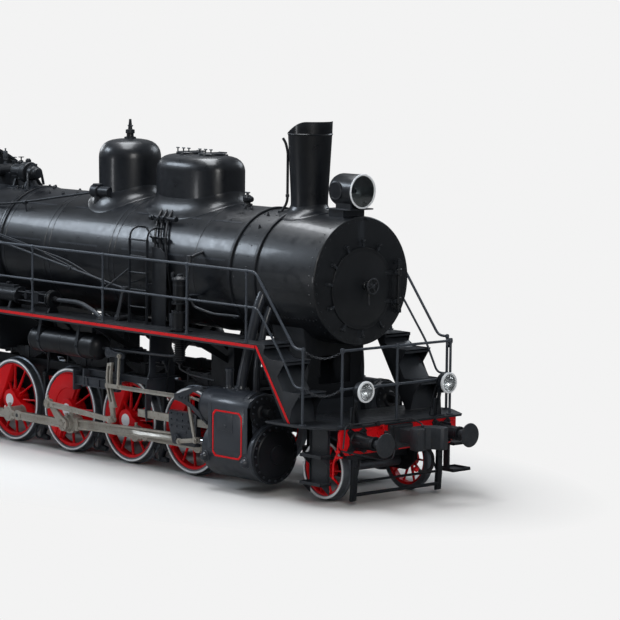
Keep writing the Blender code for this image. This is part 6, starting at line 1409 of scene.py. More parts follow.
def makeRails():
    plan = railPlan
    for side, word in sides:
        rails = newPiece()
        y = side * plan["y"]
        pipe(rails, [(-3.98, y, plan["top"]), (4.813, y, plan["top"]),
                     (5.622, side * frontPlan["postY"], 2.149), (5.81, side * frontPlan["postY"], 2.149)],
             0.019, 16, 0.09, 6)
        pipe(rails, [(-3.98, y, plan["middle"]), (4.86, y, plan["middle"]), (5.35, y, 2.05),
                     (5.62, side * 1.36, 1.62), (5.8, side * frontPlan["postY"], 1.62)], 0.016, 16, 0.09, 6)
        for x in plan["posts"]:
            bar(rails, (x, y, plan["board"]), (x, y, plan["top"] - 0.01), 0.0165, 14)
            for z in (plan["top"], plan["middle"]):
                disc(rails, (x, y, z), "X", -0.03, 0.03, 0.026, 18)
                alongLine(rails, (x, y, z - 0.06), (x, y, z),
                          [(0, 0), (0, 0.021), (0.05, 0.023), (0.06, 0)], 14)
            disc(rails, (x, y, 0), "Z", plan["board"] + 0.0003, plan["board"] + 0.014, 0.042, 20)
            alongLine(rails, (x, y, plan["board"]), (x, y, plan["board"] + 0.06),
                      [(0, 0), (0, 0.026), (0.05, 0.022), (0.06, 0)], 14)
        bar(rails, (frontPlan["postX"], side * frontPlan["postY"], frontPlan["foot"]),
            (frontPlan["postX"], side * frontPlan["postY"], 2.16), 0.019, 16)
        for z in (2.149, 1.62):
            lathe(rails, shifted(z, [(-0.03, 0), (-0.03, 0.024), (-0.01, 0.029), (0.012, 0.029),
                                     (0.028, 0.02), (0.032, 0)]),
                  (frontPlan["postX"], side * frontPlan["postY"], 0), "Z", 20)
        disc(rails, (frontPlan["postX"], side * frontPlan["postY"], 0), "Z", frontPlan["flangeFoot"], 1.126,
             0.05, 20)
        finishPiece(rails, f"handrail{word}", "railBlack", stands=[f"handrail_{word.lower()}"], smooth=35)
    rails, chains = newPieces(2)
    x, y = frontPlan["railX"], frontPlan["railY"]
    for z in (plan["frontTop"], plan["frontMiddle"]):
        bar(rails, (x, -y, z), (x, y, z), 0.019, 16)
        for post in (-y, 0.0, y):
            lathe(rails, shifted(z, [(-0.035, 0), (-0.035, 0.025), (-0.012, 0.031), (0.012, 0.031),
                                     (0.035, 0.025), (0.035, 0)]), (x, post, 0), "Z", 20)
    for post in (-y, 0.0, y):
        bar(rails, (x, post, frontPlan["foot"]), (x, post, plan["frontTop"]), 0.018, 16)
        disc(rails, (x, post, 0), "Z", frontPlan["flangeFoot"], 1.128, 0.052, 20)
    finishPiece(rails, "frontRail", "railBlack", stands=["front_rail"], smooth=35)
    for side, _ in sides:
        for z, sag in ((plan["frontTop"] - 0.02, 0.09), (plan["frontMiddle"], 0.1)):
            chainLinks(chains, (x - 0.02, side * y, z), (frontPlan["postX"] + 0.02, side * 1.368, z), sag,
                       17)
    finishPiece(chains, "railChains", "darkIron", smooth=50)


makeBoards()
makeRails()
print("boards and rails made")


# Motion: main rods, crossheads, valve gear and cylinders
motionPlan = {"cylinderY": 1.0725, "cylinderZ": 0.585, "valveY": 1.2, "valveZ": 1.17, "mainRod": 2.53,
              "guideLow": 0.785, "guideTop": 0.895, "link": (1.42, 1.2), "footDrop": 0.5, "footBack": 0.02,
              "eccentric": 0.125, "lead": math.radians(118.0), "eccentricRod": 1.49,
              "leverTop": (3.2, 1.21), "lever": 0.62, "union": 0.42,}


# The lower point where two circles cross.
def meet(first, firstRadius, second, secondRadius):
    across, up = second[0] - first[0], second[1] - first[1]
    span = math.hypot(across, up)
    along = (firstRadius ** 2 - secondRadius ** 2 + span ** 2) / (2 * span)
    off = math.sqrt(firstRadius ** 2 - along ** 2)
    spots = [(first[0] + (along * across - side * off * up) / span,
              first[1] + (along * up + side * off * across) / span) for side in (-1, 1)]
    return min(spots, key=lambda spot: spot[1])


# A rod of I section: a thin web inside an outline with a long window, and turned eyes.
def flutedRod(piece, side, start, end, startRadius, endRadius, startHeight, endHeight, inner, outer,
              startClear, endClear, holes=()):
    length = math.hypot(end[0] - start[0], end[1] - start[1])
    along = Vector(((end[0] - start[0]) / length, (end[1] - start[1]) / length))
    across = Vector((-along.y, along.x))

    def on(distance, height):
        spot = Vector(start) + along * distance + across * height
        return (spot.x, spot.y)

    def half(distance):
        return (startHeight + (endHeight - startHeight) * distance / length) * 0.5 * 0.56

    first, last = startRadius + startClear, length - endRadius - endClear
    window = [on(first, half(first)), on(first - 0.02, 0), on(first, -half(first)), on(last, -half(last)),
              on(last + 0.02, 0), on(last, half(last))]
    outline = eyeBar(start, end, startRadius, endRadius, startHeight, endHeight, 20)
    sideSlab(piece, side, [outline, window] + list(holes), inner, outer, 0.003)
    web = (outer - inner) * 0.3
    sideSlab(piece, side, [[on(first - 0.03, half(first)), on(first - 0.03, -half(first)),
                            on(last + 0.03, -half(last)), on(last + 0.03, half(last))]], inner + web,
             outer - web, 0.001)


def makeMotion():
    plan = motionPlan
    y, pinZ = plan["cylinderY"], plan["cylinderZ"]
    for side, word in sides:
        low = word.lower()
        pin = crankPin(side, 0.0)
        small = (pin[0] + math.sqrt(plan["mainRod"] ** 2 - (pin[1] - pinZ) ** 2), pinZ)
        rod, fittings, heads, bars, casting = newPieces(5)
        flutedRod(rod, side, pin, small, 0.135, 0.09, 0.15, 0.115, y - 0.034, y + 0.034, 0.08, 0.07,
                  [ringPoints(small, 0.041, 24)])
        for span, radius in (((1.025, 1.12), 0.148), ((1.03, 1.122), 0.118)):
            sideLathe(rod, side, [(span[0], 0), (span[0], radius - 0.006), (span[0] + 0.006, radius),
                                  (span[1] - 0.006, radius), (span[1], radius - 0.006), (span[1], 0)],
                      (pin[0], 0, pin[1]), 56)
        aim = math.atan2(small[1] - pin[1], small[0] - pin[0])
        tilt = Matrix.Rotation(-aim, 3, "Y")
        for along, wide in ((-0.155, 0.05), (0.17, 0.07)):  # strap block and wedge of the big end
            tiltedBlock(rod, (pin[0] + along * math.cos(aim), side * y, pin[1] + along * math.sin(aim)),
                        (wide, 0.09, 0.2), tilt)
            for up in (-0.085, 0.085):
                spot = Vector((pin[0] + along * math.cos(aim) - up * math.sin(aim), side * (y + 0.045),
                               pin[1] + along * math.sin(aim) + up * math.cos(aim)))
                hexNut(fittings, spot, (0, side, 0), 0.016, 0.012)
        alongLine(rod, (pin[0], side * y, pin[1] + 0.14), (pin[0], side * y, pin[1] + 0.25),
                  [(0, 0), (0, 0.032), (0.03, 0.032), (0.036, 0.022), (0.05, 0.022), (0.05, 0.028),
                   (0.07, 0.026), (0.075, 0)], 14)
        finishPiece(rod, f"mainRod{word}", "rodSteel", stands=[f"main_rod_{low}"], bevel=0.0015)

        rear, front = small[0] - 0.2, small[0] + 0.42
        outline = [(rear, 0.76), (small[0] - 0.11, 0.5), (small[0] - 0.07, 0.485), (front - 0.03, 0.485),
                   (front, 0.515), (front, 0.95), (front - 0.03, 0.968), (rear + 0.03, 0.968), (rear, 0.95)]
        for inner, outer in ((1.027, 1.042), (1.1028, 1.118)):
            sideSlab(heads, side, [outline], inner, outer, 0.003)
        sideBlock(heads, side, (rear, front), (1.04, 1.105), (0.8955, 0.966))
        sideBlock(heads, side, (small[0] + 0.11, front), (1.04, 1.105), (0.49, 0.7845))
        sideBlock(heads, side, (rear + 0.05, front), (1.04, 1.105), (0.745, 0.7845))
        for z in (0.93, 0.84, 0.75):
            for step in range(5):
                hexNut(heads, (rear + 0.06 + step * 0.125, side * 1.118, z), (0, side, 0), 0.016, 0.012)
        for x0, x1, z0, z1 in ((rear + 0.02, front - 0.02, 0.785, 0.8),
                               (small[0] - 0.02, small[0] + 0.2, 0.66, 0.7),
                               (small[0] + 0.24, front - 0.02, 0.5, 0.72)):
            sideBlock(heads, side, (x0, x1), (1.117, 1.127), (z0, z1))
        disc(heads, (small[0], 0, small[1]), "Y", side * 1.1, side * 1.146, 0.062, 32)
        hexNut(heads, (small[0], side * 1.146, small[1]), (0, side, 0), 0.036, 0.026)
        drop = (small[0] + 0.1, small[1] - 0.04)
        sideSlab(heads, side, [eyeBar(small, drop, 0.06, 0.045, 0.08, 0.06, 12)], 1.118, 1.1485, 0.003)
        finishPiece(heads, f"crosshead{word}", "cylinderBlackPaintedLight", stands=[f"crosshead_{low}"],
                    slotName="dark_steel", bevel=0.002)
        bar(bars, (front - 0.01, side * y, pinZ), (3.7297, side * y, pinZ), 0.045, 28)
        lathe(bars, shifted(front, [(-0.005, 0.044), (-0.005, 0.051), (0.05, 0.051), (0.056, 0.048),
                                    (0.056, 0.044)]), (0, side * y, pinZ), "X", 32)
        finishPiece(bars, f"pistonRod{word}", "brightSteel")
        guide = newPiece()
        sideBlock(guide, side, (1.925, 3.8295), (y - 0.03, y + 0.03), (plan["guideLow"], plan["guideTop"]))
        finishPiece(guide, f"guideBar{word}", "rodSteel", stands=[f"motion_bracket_{low}"], bevel=0.004)
        yoke = [(0.5803, 1.1), (1.02, 1.1), (1.035, 0.9), (1.03, 0.74), (1.115, 0.74), (1.13, 0.9),
                (1.12, 1.3), (1.06, 1.45), (1.045, 2.109), (0.78, 2.109), (0.5803, 1.66)]
        window = [(0.72, 1.42), (0.95, 1.42), (0.95, 1.6), (0.8, 1.6)]
        slab(casting, [outward(side, yoke), outward(side, window)], "X", 2.115, 2.145, 0.003)
        for a, b, c, d in ((0.58, 1.12, 1.352, 1.37), (0.58, 1.02, 1.1, 1.118)):
            sideBlock(casting, side, (2.07, 2.19), (a, b), (c, d))
        slab(casting, [outward(side, ((0.5803, 1.1), (1.16, 1.1), (1.16, 1.37), (0.5803, 1.37)))], "X",
             0.69, 0.73, 0.003)
        sideBlock(casting, side, (0.69, 2.14), (1.03, 1.05), (1.26, 1.37))
        sideBlock(casting, side, (0.69, 2.14), (1.0, 1.08), (1.352, 1.37))
        # link bearer: a ribbed box girder with a flanged end and the trunnion housing
        sideBlock(casting, side, (0.53, 1.36), (1.125, 1.15), (1.12, 1.255))
        for z in (1.12, 1.243):
            sideBlock(casting, side, (0.53, 1.36), (1.09, 1.175), (z, z + 0.014))
        for x in (0.8, 1.08):
            sideBlock(casting, side, (x, x + 0.014), (1.095, 1.17), (1.125, 1.25))
        sideBlock(casting, side, (0.51, 0.535), (1.05, 1.2), (1.04, 1.34))
        for dy in (1.07, 1.18):
            for z in (1.07, 1.16, 1.31):
                hexNut(casting, (0.51, side * dy, z), (-1, 0, 0), 0.016, 0.014)
        sideSlab(casting, side, [[(1.3, 1.1), (1.52, 1.1), (1.54, 1.14), (1.54, 1.28), (1.5, 1.315),
                                  (1.33, 1.315), (1.3, 1.28)]], 1.09, 1.1775, 0.006)
        disc(casting, (1.42, 0, 1.2), "Y", side * 1.08, side * 1.1797, 0.06, 32)
        finishPiece(casting, f"motionCasting{word}", "cylinderBlackPaintedLight", bevel=0.003)

        gear = newPiece()
        eccentric = polar((0.0, driverWheel["height"]), plan["eccentric"], crankAngle[side] + plan["lead"])
        foot = meet(eccentric, plan["eccentricRod"], plan["link"],
                    math.hypot(plan["footDrop"], plan["footBack"]))
        sideSlab(gear, side, [eyeBar(pin, eccentric, 0.1, 0.062, 0.15, 0.09, 18)], 1.205, 1.25, 0.006)
        for turn in range(4):
            place = polar(pin, 0.066, math.tau * turn / 4 + 0.4)
            hexNut(gear, (place[0], side * 1.25, place[1]), (0, side, 0), 0.017, 0.014)
        disc(gear, (pin[0], 0, pin[1]), "Y", side * 1.2502, side * 1.258, 0.035, 24)
        flutedRod(gear, side, eccentric, foot, 0.078, 0.055, 0.085, 0.07, 1.255, 1.295, 0.08, 0.08)
        for place, radius, out in ((eccentric, 0.045, 1.312), (foot, 0.03, 1.31)):
            disc(gear, (place[0], 0, place[1]), "Y", side * 1.25, side * out, radius, 28)
            disc(gear, (place[0], 0, place[1]), "Y", side * 1.29, side * 1.299, radius + 0.018, 28)
        alongLine(gear, (eccentric[0], side * 1.275, eccentric[1] + 0.07),
                  (eccentric[0], side * 1.275, eccentric[1] + 0.16),
                  [(0, 0), (0, 0.022), (0.025, 0.022), (0.03, 0.015), (0.04, 0.015), (0.04, 0.02),
                   (0.055, 0.018), (0.058, 0)], 12)
        finishPiece(gear, f"eccentricGear{word}", "rodSteel", stands=[f"eccentric_rod_{low}"], bevel=0.0015)

        valve = newPiece()
        linkX, linkZ = plan["link"]
        lean = math.atan2(foot[0] - linkX, linkZ - foot[1])

        def onLink(across, up):
            return (linkX + across * math.cos(lean) - up * math.sin(lean),
                    linkZ + across * math.sin(lean) + up * math.cos(lean))

        def bow(offset, reach):
            count = 16
            return [onLink(offset - 0.027 + 0.075 * (up / 0.33) ** 2 * 0.9, up)
                    for up in [reach - 2 * reach * step / count for step in range(count + 1)]]

        outer = bow(0.05, 0.33) + list(reversed(bow(-0.055, 0.33)))
        slot = bow(0.022, 0.285) + list(reversed(bow(-0.024, 0.285)))
        sideSlab(valve, side, [outer, slot], 1.18, 1.23, 0.004)
        sideSlab(valve, side, [eyeBar(onLink(0.0, -0.3), foot, 0.055, 0.05, 0.08, 0.07, 14)], 1.182, 1.228,
                 0.004)
        disc(valve, (foot[0], 0, foot[1]), "Y", side * 1.18, side * 1.305, 0.0278, 24)
        start, end = onLink(-0.027, 0.0), plan["leverTop"]
        disc(valve, (start[0], 0, start[1]), "Y", side * 1.18, side * 1.262, 0.035, 24)
        flutedRod(valve, side, start, end, 0.045, 0.045, 0.062, 0.062, 1.234, 1.26, 0.3, 0.1)
        lift, armTop, shaft = (linkX + 0.24, linkZ + 0.012), (linkX + 0.27, linkZ + 0.46), (linkX - 0.02,
            linkZ + 0.48)
        sideSlab(valve, side, [eyeBar(lift, armTop, 0.036, 0.036, 0.034, 0.034, 14)], 1.252, 1.28, 0.003)
        for place in (lift, armTop):
            disc(valve, (place[0], 0, place[1]), "Y", side * 1.2, side * 1.292, 0.022, 20)
        foot2 = meet(end, plan["lever"], drop, plan["union"])
        sideSlab(valve, side, [eyeBar(end, foot2, 0.05, 0.045, 0.055, 0.04, 14)], 1.21, 1.24, 0.003)
        sideSlab(valve, side, [eyeBar(foot2, drop, 0.045, 0.045, 0.062, 0.062, 14)], 1.1503, 1.185, 0.003)
        for place, inside, outside in ((end, 1.19, 1.275), (foot2, 1.14, 1.252), (drop, 1.13, 1.2)):
            disc(valve, (place[0], 0, place[1]), "Y", side * inside, side * outside, 0.027, 20)
        bar(valve, (3.24, side * 1.2, 1.21), (3.6695, side * 1.2, 1.17), 0.022, 20)
        finishPiece(valve, f"valveGear{word}", "rodSteel", stands=[f"valve_motion_{low}"], bevel=0.0015)
        dark = newPiece()
        sideSlab(dark, side, [eyeBar(armTop, shaft, 0.052, 0.078, 0.07, 0.1, 18)], 1.19, 1.245, 0.006)
        bar(dark, (shaft[0], side * 1.25, shaft[1]), (shaft[0], side * 0.6, shaft[1]), 0.045, 24)
        sideBlock(dark, side, (shaft[0] - 0.07, shaft[0] + 0.07), (1.0, 1.06), (1.3705, shaft[1] + 0.06))
        arms = [(3.0, 1.165), (3.0, 1.255), (3.14, 1.28), (3.34, 1.36), (3.52, 1.415), (3.72, 1.42),
                (3.72, 1.37), (3.55, 1.36), (3.4, 1.315), (3.3, 1.25), (3.3, 1.17), (3.42, 1.12),
                (3.6, 1.02), (3.72, 0.95), (3.72, 0.885), (3.56, 0.97), (3.36, 1.085), (3.14, 1.15)]
        guideFace = 1.315
        sideSlab(dark, side, [arms], 1.285, guideFace, 0.005)
        for zs in ((1.37, 1.42), (0.93, 0.98)):
            sideBlock(dark, side, (3.62, 3.72), (1.21, guideFace), zs)
        sideSlab(dark, side, [rectangle(3.08, 3.28, 1.15, 1.27)], 1.265, 1.3, 0.004)
        for x in (3.11, 3.18, 3.25):
            hexNut(dark, (x, side * guideFace, 1.22), (0, side, 0), 0.016, 0.02)
        finishPiece(dark, f"valveGuide{word}", "cylinderBlackPaintedLight", slotName="dark_steel", bevel=0.002)


def makeCylinders():
    plan = motionPlan
    for side, word in sides:
        y, z = side * plan["cylinderY"], plan["cylinderZ"]
        valveY, valveZ = side * plan["valveY"], plan["valveZ"]
        body, covers, line, studs, pipes = newPieces(5)
        lathe(body, [(3.81, 0), (3.81, 0.39), (3.814, 0.405), (3.835, 0.412), (4.72, 0.412), (4.8, 0.412),
                     (4.812, 0.425), (4.85, 0.43), (4.885, 0.425), (4.89, 0.41), (4.89, 0)], (0, y, z), "X",
              96)
        lathe(body, [(3.7, 0), (3.7, 0.238), (3.708, 0.25), (3.735, 0.262), (4.6, 0.262), (4.605, 0.268),
                     (4.69, 0.268), (4.7, 0.262), (4.7, 0)], (0, valveY, valveZ), "X", 80)
        out = plan["cylinderY"] + 0.412
        outline = [(0.8, z), (1.2, z - 0.36), (out - 0.13, z - 0.27), (out - 0.035, z - 0.14),
                   (out, z + 0.02), (out, 1.25), (out - 0.045, 1.33), (1.3, 1.4), (1.12, 1.43), (0.9, 1.3)]
        slab(body, [outward(side, outline)], "X", 3.955, 4.785, 0.008)
        sideBlock(body, side, (4.03, 4.73), (0.5803, 0.9), (0.83, 1.25))
        for start, end in ((3.955, 4.03), (4.71, 4.785)):
            slab(body, [outward(side, ((out - 0.16, z - 0.2), (out + 0.004, z + 0.03), (out + 0.004, 1.25),
                                       (out - 0.06, 1.25)))], "X", start, end, 0.002)
        finishPiece(body, f"cylinderBody{word}", "cylinderBlackPaintedLight", stands=[f"cylinder_{word.lower()}"])
        lathe(covers, [(4.885, 0), (4.885, 0.405), (4.893, 0.41), (4.912, 0.408), (4.918, 0.4),
                       (4.92, 0.34), (4.935, 0.325), (4.955, 0.2), (4.958, 0.135), (4.985, 0.128),
                       (4.99, 0.1), (4.992, 0)], (0, y, z), "X", 80)
        lathe(covers, [(4.7, 0), (4.7, 0.255), (4.74, 0.258), (4.742, 0.24), (4.8, 0.238), (4.805, 0.225),
                       (4.815, 0.12), (4.84, 0.1), (4.845, 0.06), (4.95, 0.055), (4.955, 0.045),
                       (4.955, 0)], (0, valveY, valveZ), "X", 64)
        for x in (3.73, 4.6, 4.7):
            lathe(covers, [(x - 0.008, 0.255), (x - 0.008, 0.2665 + 0.006 * (x > 4)),
                           (x + 0.008, 0.2665 + 0.006 * (x > 4)), (x + 0.008, 0.255)], (0, valveY, valveZ),
                  "X", 80)
        lathe(covers, [(3.73, 0.046), (3.73, 0.085), (3.76, 0.09), (3.765, 0.115), (3.81, 0.12),
                       (3.812, 0.046)], (0, y, z), "X", 40)
        lathe(covers, [(3.67, 0.023), (3.67, 0.1), (3.7, 0.12), (3.702, 0.023)], (0, valveY, valveZ), "X",
              40)
        finishPiece(covers, f"cylinderCovers{word}", "frameBlack")
        for place in ringOf(20, (0, y, z), "X", 4.918, 0.372):
            hexNut(studs, place, (1, 0, 0), 0.017, 0.02)
        for place in ringOf(14, (0, valveY, valveZ), "X", 4.805, 0.2):
            hexNut(studs, place, (1, 0, 0), 0.014, 0.018)
        for place in ringOf(16, (0, y, z), "X", 3.81, 0.35):
            hexNut(studs, place, (-1, 0, 0), 0.017, 0.02)
        for x in (3.885, 4.745):  # relief bosses low on the side
            place = Vector((x, side * (plan["cylinderY"] + 0.385), z - 0.1))
            normal = Vector((0, side * 0.97, -0.24))
            alongLine(studs, place, place + normal * 0.1,
                      [(0, 0), (0, 0.086), (0.025, 0.084), (0.032, 0.064), (0.065, 0.058), (0.09, 0.036),
                       (0.095, 0)], 24)
        sideSlab(studs, side, [rectangle(4.16, 4.48, 0.88, 1.11)], out - 0.002, out + 0.006, 0.002)
        sideSlab(studs, side, [rectangle(4.15, 4.49, 0.87, 0.885)], out - 0.002, out + 0.01, 0.001)
        rivet(studs, (4.32, side * (out + 0.006), 0.95), (0, side, 0), 0.026, 14)
        finishPiece(studs, f"cylinderStuds{word}", "cylinderBlackPaintedLight")

        def notched(inset):
            low, high, rear, front, cut = 0.505 + inset, 1.165 - inset, 4.05 + inset, 4.675 - inset, 0.06
            corners = ((rear, low, 1, 1), (front, low, -1, 1), (front, high, -1, -1), (rear, high, 1, -1))
            points = []
            for index, (x, up, dx, dz) in enumerate(corners):
                first, second = (x, up + dz * cut), (x + dx * cut, up)
                middle = (x + dx * cut * 0.45, up + dz * cut * 0.45)
                points += [first, middle, second] if index % 2 == 0 else [second, middle, first]
            return points

        sideSlab(line, side, [notched(0.0), notched(0.024)], out - 0.001, out + 0.003, 0.0005)
        finishPiece(line, f"cylinderLine{word}", "signalRed")
        pipe(pipes, sidePath(side, [(4.22, 1.12, 1.36), (4.24, 1.1, 1.62), (4.34, 0.9, 2.62),
                                    (4.34, 0.78, 2.84)]), 0.072, 24, 0.2, 6)
        pipe(pipes, sidePath(side, [(4.42, 1.0, 1.3), (4.42, 1.0, 1.75), (4.44, 0.86, 2.4),
                                    (4.44, 0.7, 2.72)]), 0.052, 20, 0.2, 6)
        lathe(pipes, [(1.3, 0), (1.3, 0.052), (1.66, 0.052), (1.665, 0.062), (1.7, 0.062), (1.71, 0.05),
                      (1.71, 0)], (4.02, side * 1.15, 0), "Z", 28)
        for x, across, base, radius in ((4.22, 1.12, 1.41, 0.13), (4.42, 1.0, 1.36, 0.09),
                                        (4.02, 1.15, 1.4, 0.085)):
            lathe(pipes, shifted(base, [(-0.05, 0), (-0.05, radius), (0.02, radius), (0.03, radius * 0.7),
                                        (0.07, radius * 0.62), (0.07, 0)]), (x, side * across, 0), "Z", 32)
            for place in ringOf(6, (x, side * across, 0), "Z", base + 0.02, radius * 0.84):
                hexNut(pipes, place, (0, 0, 1), 0.014, 0.02)
        finishPiece(pipes, f"steamPipes{word}", "cylinderBlackPaintedLight", smooth=40)


makeMotion()
makeCylinders()
print("motion made")


# Frame, springs and brake gear
framePlan = {"inner": 0.49, "outer": 0.58, "top": 1.3, "rear": -5.3, "cleats": (-2.13, -0.71, 0.71, 2.13),
             "stayTop": 1.285, "truckPin": 4.45, "hangers": (2.133, 0.711, -0.711, -2.133, -3.56),
             "wheelAhead": 0.711, "oilBoxes": ((0.2, 0.98, -0.6, -0.3, 1.3, 2.02),
    (3.0, 3.5, -0.62, -0.24, 1.26, 1.98))}


def makeFrame():
    plan = framePlan
    bars, trims, springs, boxes = newPieces(4)
    edge = [(plan["rear"], plan["top"]), (plan["rear"], 0.86)]
    for x in reversed(wheelPlan["axles"]):
        edge += shifted(x, [(-0.3, 0.84), (-0.26, 0.8), (-0.21, 0.5), (-0.18, 0.46), (0.18, 0.46),
                            (0.21, 0.5), (0.26, 0.8), (0.3, 0.84)])
    edge += [(3.5, 0.84), (3.8, 0.97), (5.9, 0.97), (6.05, 0.78), (6.2097, 0.78), (6.2097, 1.06),
             (5.1, 1.06), (5.0, plan["top"])]
    gaps = [ringPoints((x, 0.66), 0.1003, 40) for x in wheelPlan["axles"]]
    for rear, front in ((-5.0, -3.3), (-2.45, -1.85), (-1.0, -0.42), (0.42, 1.0), (1.85, 2.4), (3.1, 3.9)):
        gaps.append([(rear + 0.05, 0.95), (front - 0.05, 0.95), (front, 1.0), (front, 1.12),
                     (front - 0.05, 1.17), (rear + 0.05, 1.17), (rear, 1.12), (rear, 1.0)])
    for side, _ in sides:
        sideSlab(bars, side, [edge] + gaps, plan["inner"], plan["outer"], 0.006)
        for x in wheelPlan["axles"]:
            for left in (-0.24, 0.2):  # horn plates
                sideSlab(bars, side, [rectangle(x + left, x + left + 0.04, 0.5, 0.92)],
                         plan["outer"] - 0.02, plan["outer"] + 0.045, 0.003)
            sideSlab(trims, side, [shifted(x, [(-0.17, 0.49), (0.17, 0.49), (0.17, 0.86), (0.1, 0.9),
                (-0.1, 0.9), (-0.17, 0.86)]), ringPoints((x, 0.66), 0.102, 24)], plan["outer"] - 0.01,
                     plan["outer"] + 0.06, 0.006)
            for leaf in range(9):  # springs on top of the frame, longest leaf uppermost
                reach = 0.2 + leaf * 0.035
                height = 1.31 + leaf * 0.0165
                sideBlock(springs, side, (x - reach, x + reach), (0.49, 0.58), (height, height + 0.014))
            sideBlock(springs, side, (x - 0.05, x + 0.05), (0.48, 0.59), (1.3005, 1.475))
            for end in (-0.46, 0.46):
                bar(springs, (x + end, side * 0.535, 1.14), (x + end, side * 0.535, 1.5), 0.018, 12)
                hexNut(springs, (x + end, side * 0.535, 1.46), (0, 0, 1), 0.034, 0.03)
        pipe(trims, sidePath(side, [(3.4, 0.62, 0.95), (2.2, 0.63, 0.93), (-4.9, 0.63, 0.93)]), 0.018, 10)
    for x in plan["cleats"] + (3.46,):
        block(bars, (x - 0.05, x + 0.05), (-0.5, 0.5), (0.9, 1.26))
        block(bars, (x - 0.12, x + 0.12), (-0.5, 0.5), (1.24, 1.265))
    block(bars, (-5.29, -4.7), (-0.5, 0.5), (0.88, plan["stayTop"]))
    block(bars, (4.27, 4.97), (-0.5, 0.5), (0.99, plan["stayTop"]))
    block(bars, (5.98, 6.195), (-0.5, 0.5), (0.8, 1.05))
    bar(bars, (plan["truckPin"], 0, 0.42), (plan["truckPin"], 0, 1.0), 0.0498, 28)
    block(bars, (-5.62, -5.25), (-0.09, 0.09), (1.0, 1.12))
    for x in (4.29, 4.92):
        slab(bars, [[(-0.58, 1.28), (0.58, 1.28), (0.5, 1.7), (0.62, 2.42), (-0.62, 2.42), (-0.5, 1.7)],
                    rectangle(-0.3, 0.3, 1.5, 1.9)], "X", x, x + 0.03, 0.004)
    block(bars, (4.3, 4.94), (-0.56, 0.56), (plan["stayTop"], 1.31))
    for side, _ in sides:
        slab(bars, [outward(side, [(0.57, plan["stayTop"]), (0.54, plan["stayTop"]), (0.47, 1.7),
                                   (0.6, 2.44), (0.63, 2.44), (0.5, 1.7)])], "X", 4.3, 4.94, 0.003)
    for x0, x1, y0, y1, z0, z1 in plan["oilBoxes"]:
        block(boxes, (x0, x1), (y0, y1), (z0, z1))
        block(boxes, (x0 - 0.015, x1 + 0.015), (y0 - 0.015, y1 + 0.015), (z1, z1 + 0.025))
        for step in range(5):
            hexNut(boxes, (x0 + 0.06 + (x1 - x0 - 0.12) * step / 4, y0, z1 - 0.06), (0, -1, 0), 0.014,
                   0.012)
            pipe(boxes, [(x0 + 0.08 + (x1 - x0 - 0.16) * step / 4, y0 + 0.05, z1 + 0.01),
                         (x0 + 0.1 + (x1 - x0 - 0.16) * step / 4, y0 + 0.02, z1 + 0.1),
                         (x0 + 0.5, -0.72, z1 + 0.14), (x0 + 0.7, -0.74, 2.1)], 0.009, 8, 0.05)
    # a dark block that only fills the gap under the boiler with darkness: painted shade, no part of the
    # engine
    block(boxes, (0.1, 1.12), (-0.34, -0.3), (1.84, 2.17))
    block(boxes, (-1.25, -0.35), (0.8, 1.02), (railPlan["plateFoot"], 2.46))
    block(boxes, (-1.27, -0.33), (0.79, 1.03), (2.46, 2.485))
    for x in (-1.15, -0.8, -0.45):
        disc(boxes, (x, 0.91, 0), "Z", 2.485, 2.52, 0.04, 18)
        hexNut(boxes, (x, 1.02, 2.3), (0, 1, 0), 0.016, 0.014)
    finishPiece(boxes, "oilBoxes", "frameBlack", bevel=0.004)
    finishPiece(bars, "mainFrame", "frameBlack", stands=["main_frame"])
    finishPiece(springs, "axleSprings", "darkIron", slotName="black_paint", bevel=0.002)

    brake = newPiece()
    for x in plan["hangers"]:  # hangers, blocks and beams behind each wheel
        for side, _ in sides:
            y = side * 0.8
            top, low = (x + 0.02, 1.12), (x + 0.045, 0.4)
            slab(brake, [eyeBar(top, low, 0.04, 0.04, 0.045, 0.045, 10)], "Y", y - 0.018, y + 0.018, 0.003)
            bar(brake, (top[0], side * 0.575, 1.12), (top[0], side * 0.83, 1.12), 0.022, 14)
            wheel = (x + plan["wheelAhead"], driverWheel["height"])
            shoe = arcPoints(wheel, 0.638, 180, 212, 8) + arcPoints(wheel, 0.7, 212, 180, 8)
            slab(brake, [shoe], "Y", y - 0.05, y + 0.05, 0.003)
            bar(brake, (low[0], side * 0.9, low[1]), (low[0], side * 0.56, low[1]), 0.024, 14)
            pipe(brake, [(x + 0.1, y + side * 0.03, 0.42), (x, y + side * 0.03, 0.2),
                         (x - 0.05, y + side * 0.03, 0.13), (x - 0.17, y + side * 0.02, 0.14),
                         (x - 0.2, y, 0.3)], 0.017, 8, 0.05)
            slab(brake, [shifted(x, [(0.09, 0.5), (0.02, 0.47), (-0.06, 0.2), (-0.06, 0.12), (0.12, 0.12),
                                     (0.13, 0.17), (0.02, 0.2), (0.12, 0.4)])], "Y", y - 0.03, y + 0.03,
                 0.003)
        bar(brake, (x + 0.045, -0.6, 0.4), (x + 0.045, 0.6, 0.4), 0.028, 14)
    bar(brake, (-3.5, 0.0, 0.38), (2.2, 0.0, 0.38), 0.016, 12)
    for side, _ in sides:  # sand pipes ahead of the driven wheels
        for x in plan["hangers"][:3]:
            pipe(brake, sidePath(side, [(x + 0.06, 0.68, 2.05), (x + 0.06, 0.74, 1.5),
                                        (x - 0.02, 0.79, 0.6), (x - 0.09, 0.79, 0.2)]), 0.014, 8, 0.1)
    finishPiece(brake, "brakeGear", "frameBlack")
    truck = newPiece()
    truckAxle = (wheelPlan["leadX"], leadWheel["height"])
    for side, _ in sides:
        y = side * 0.59
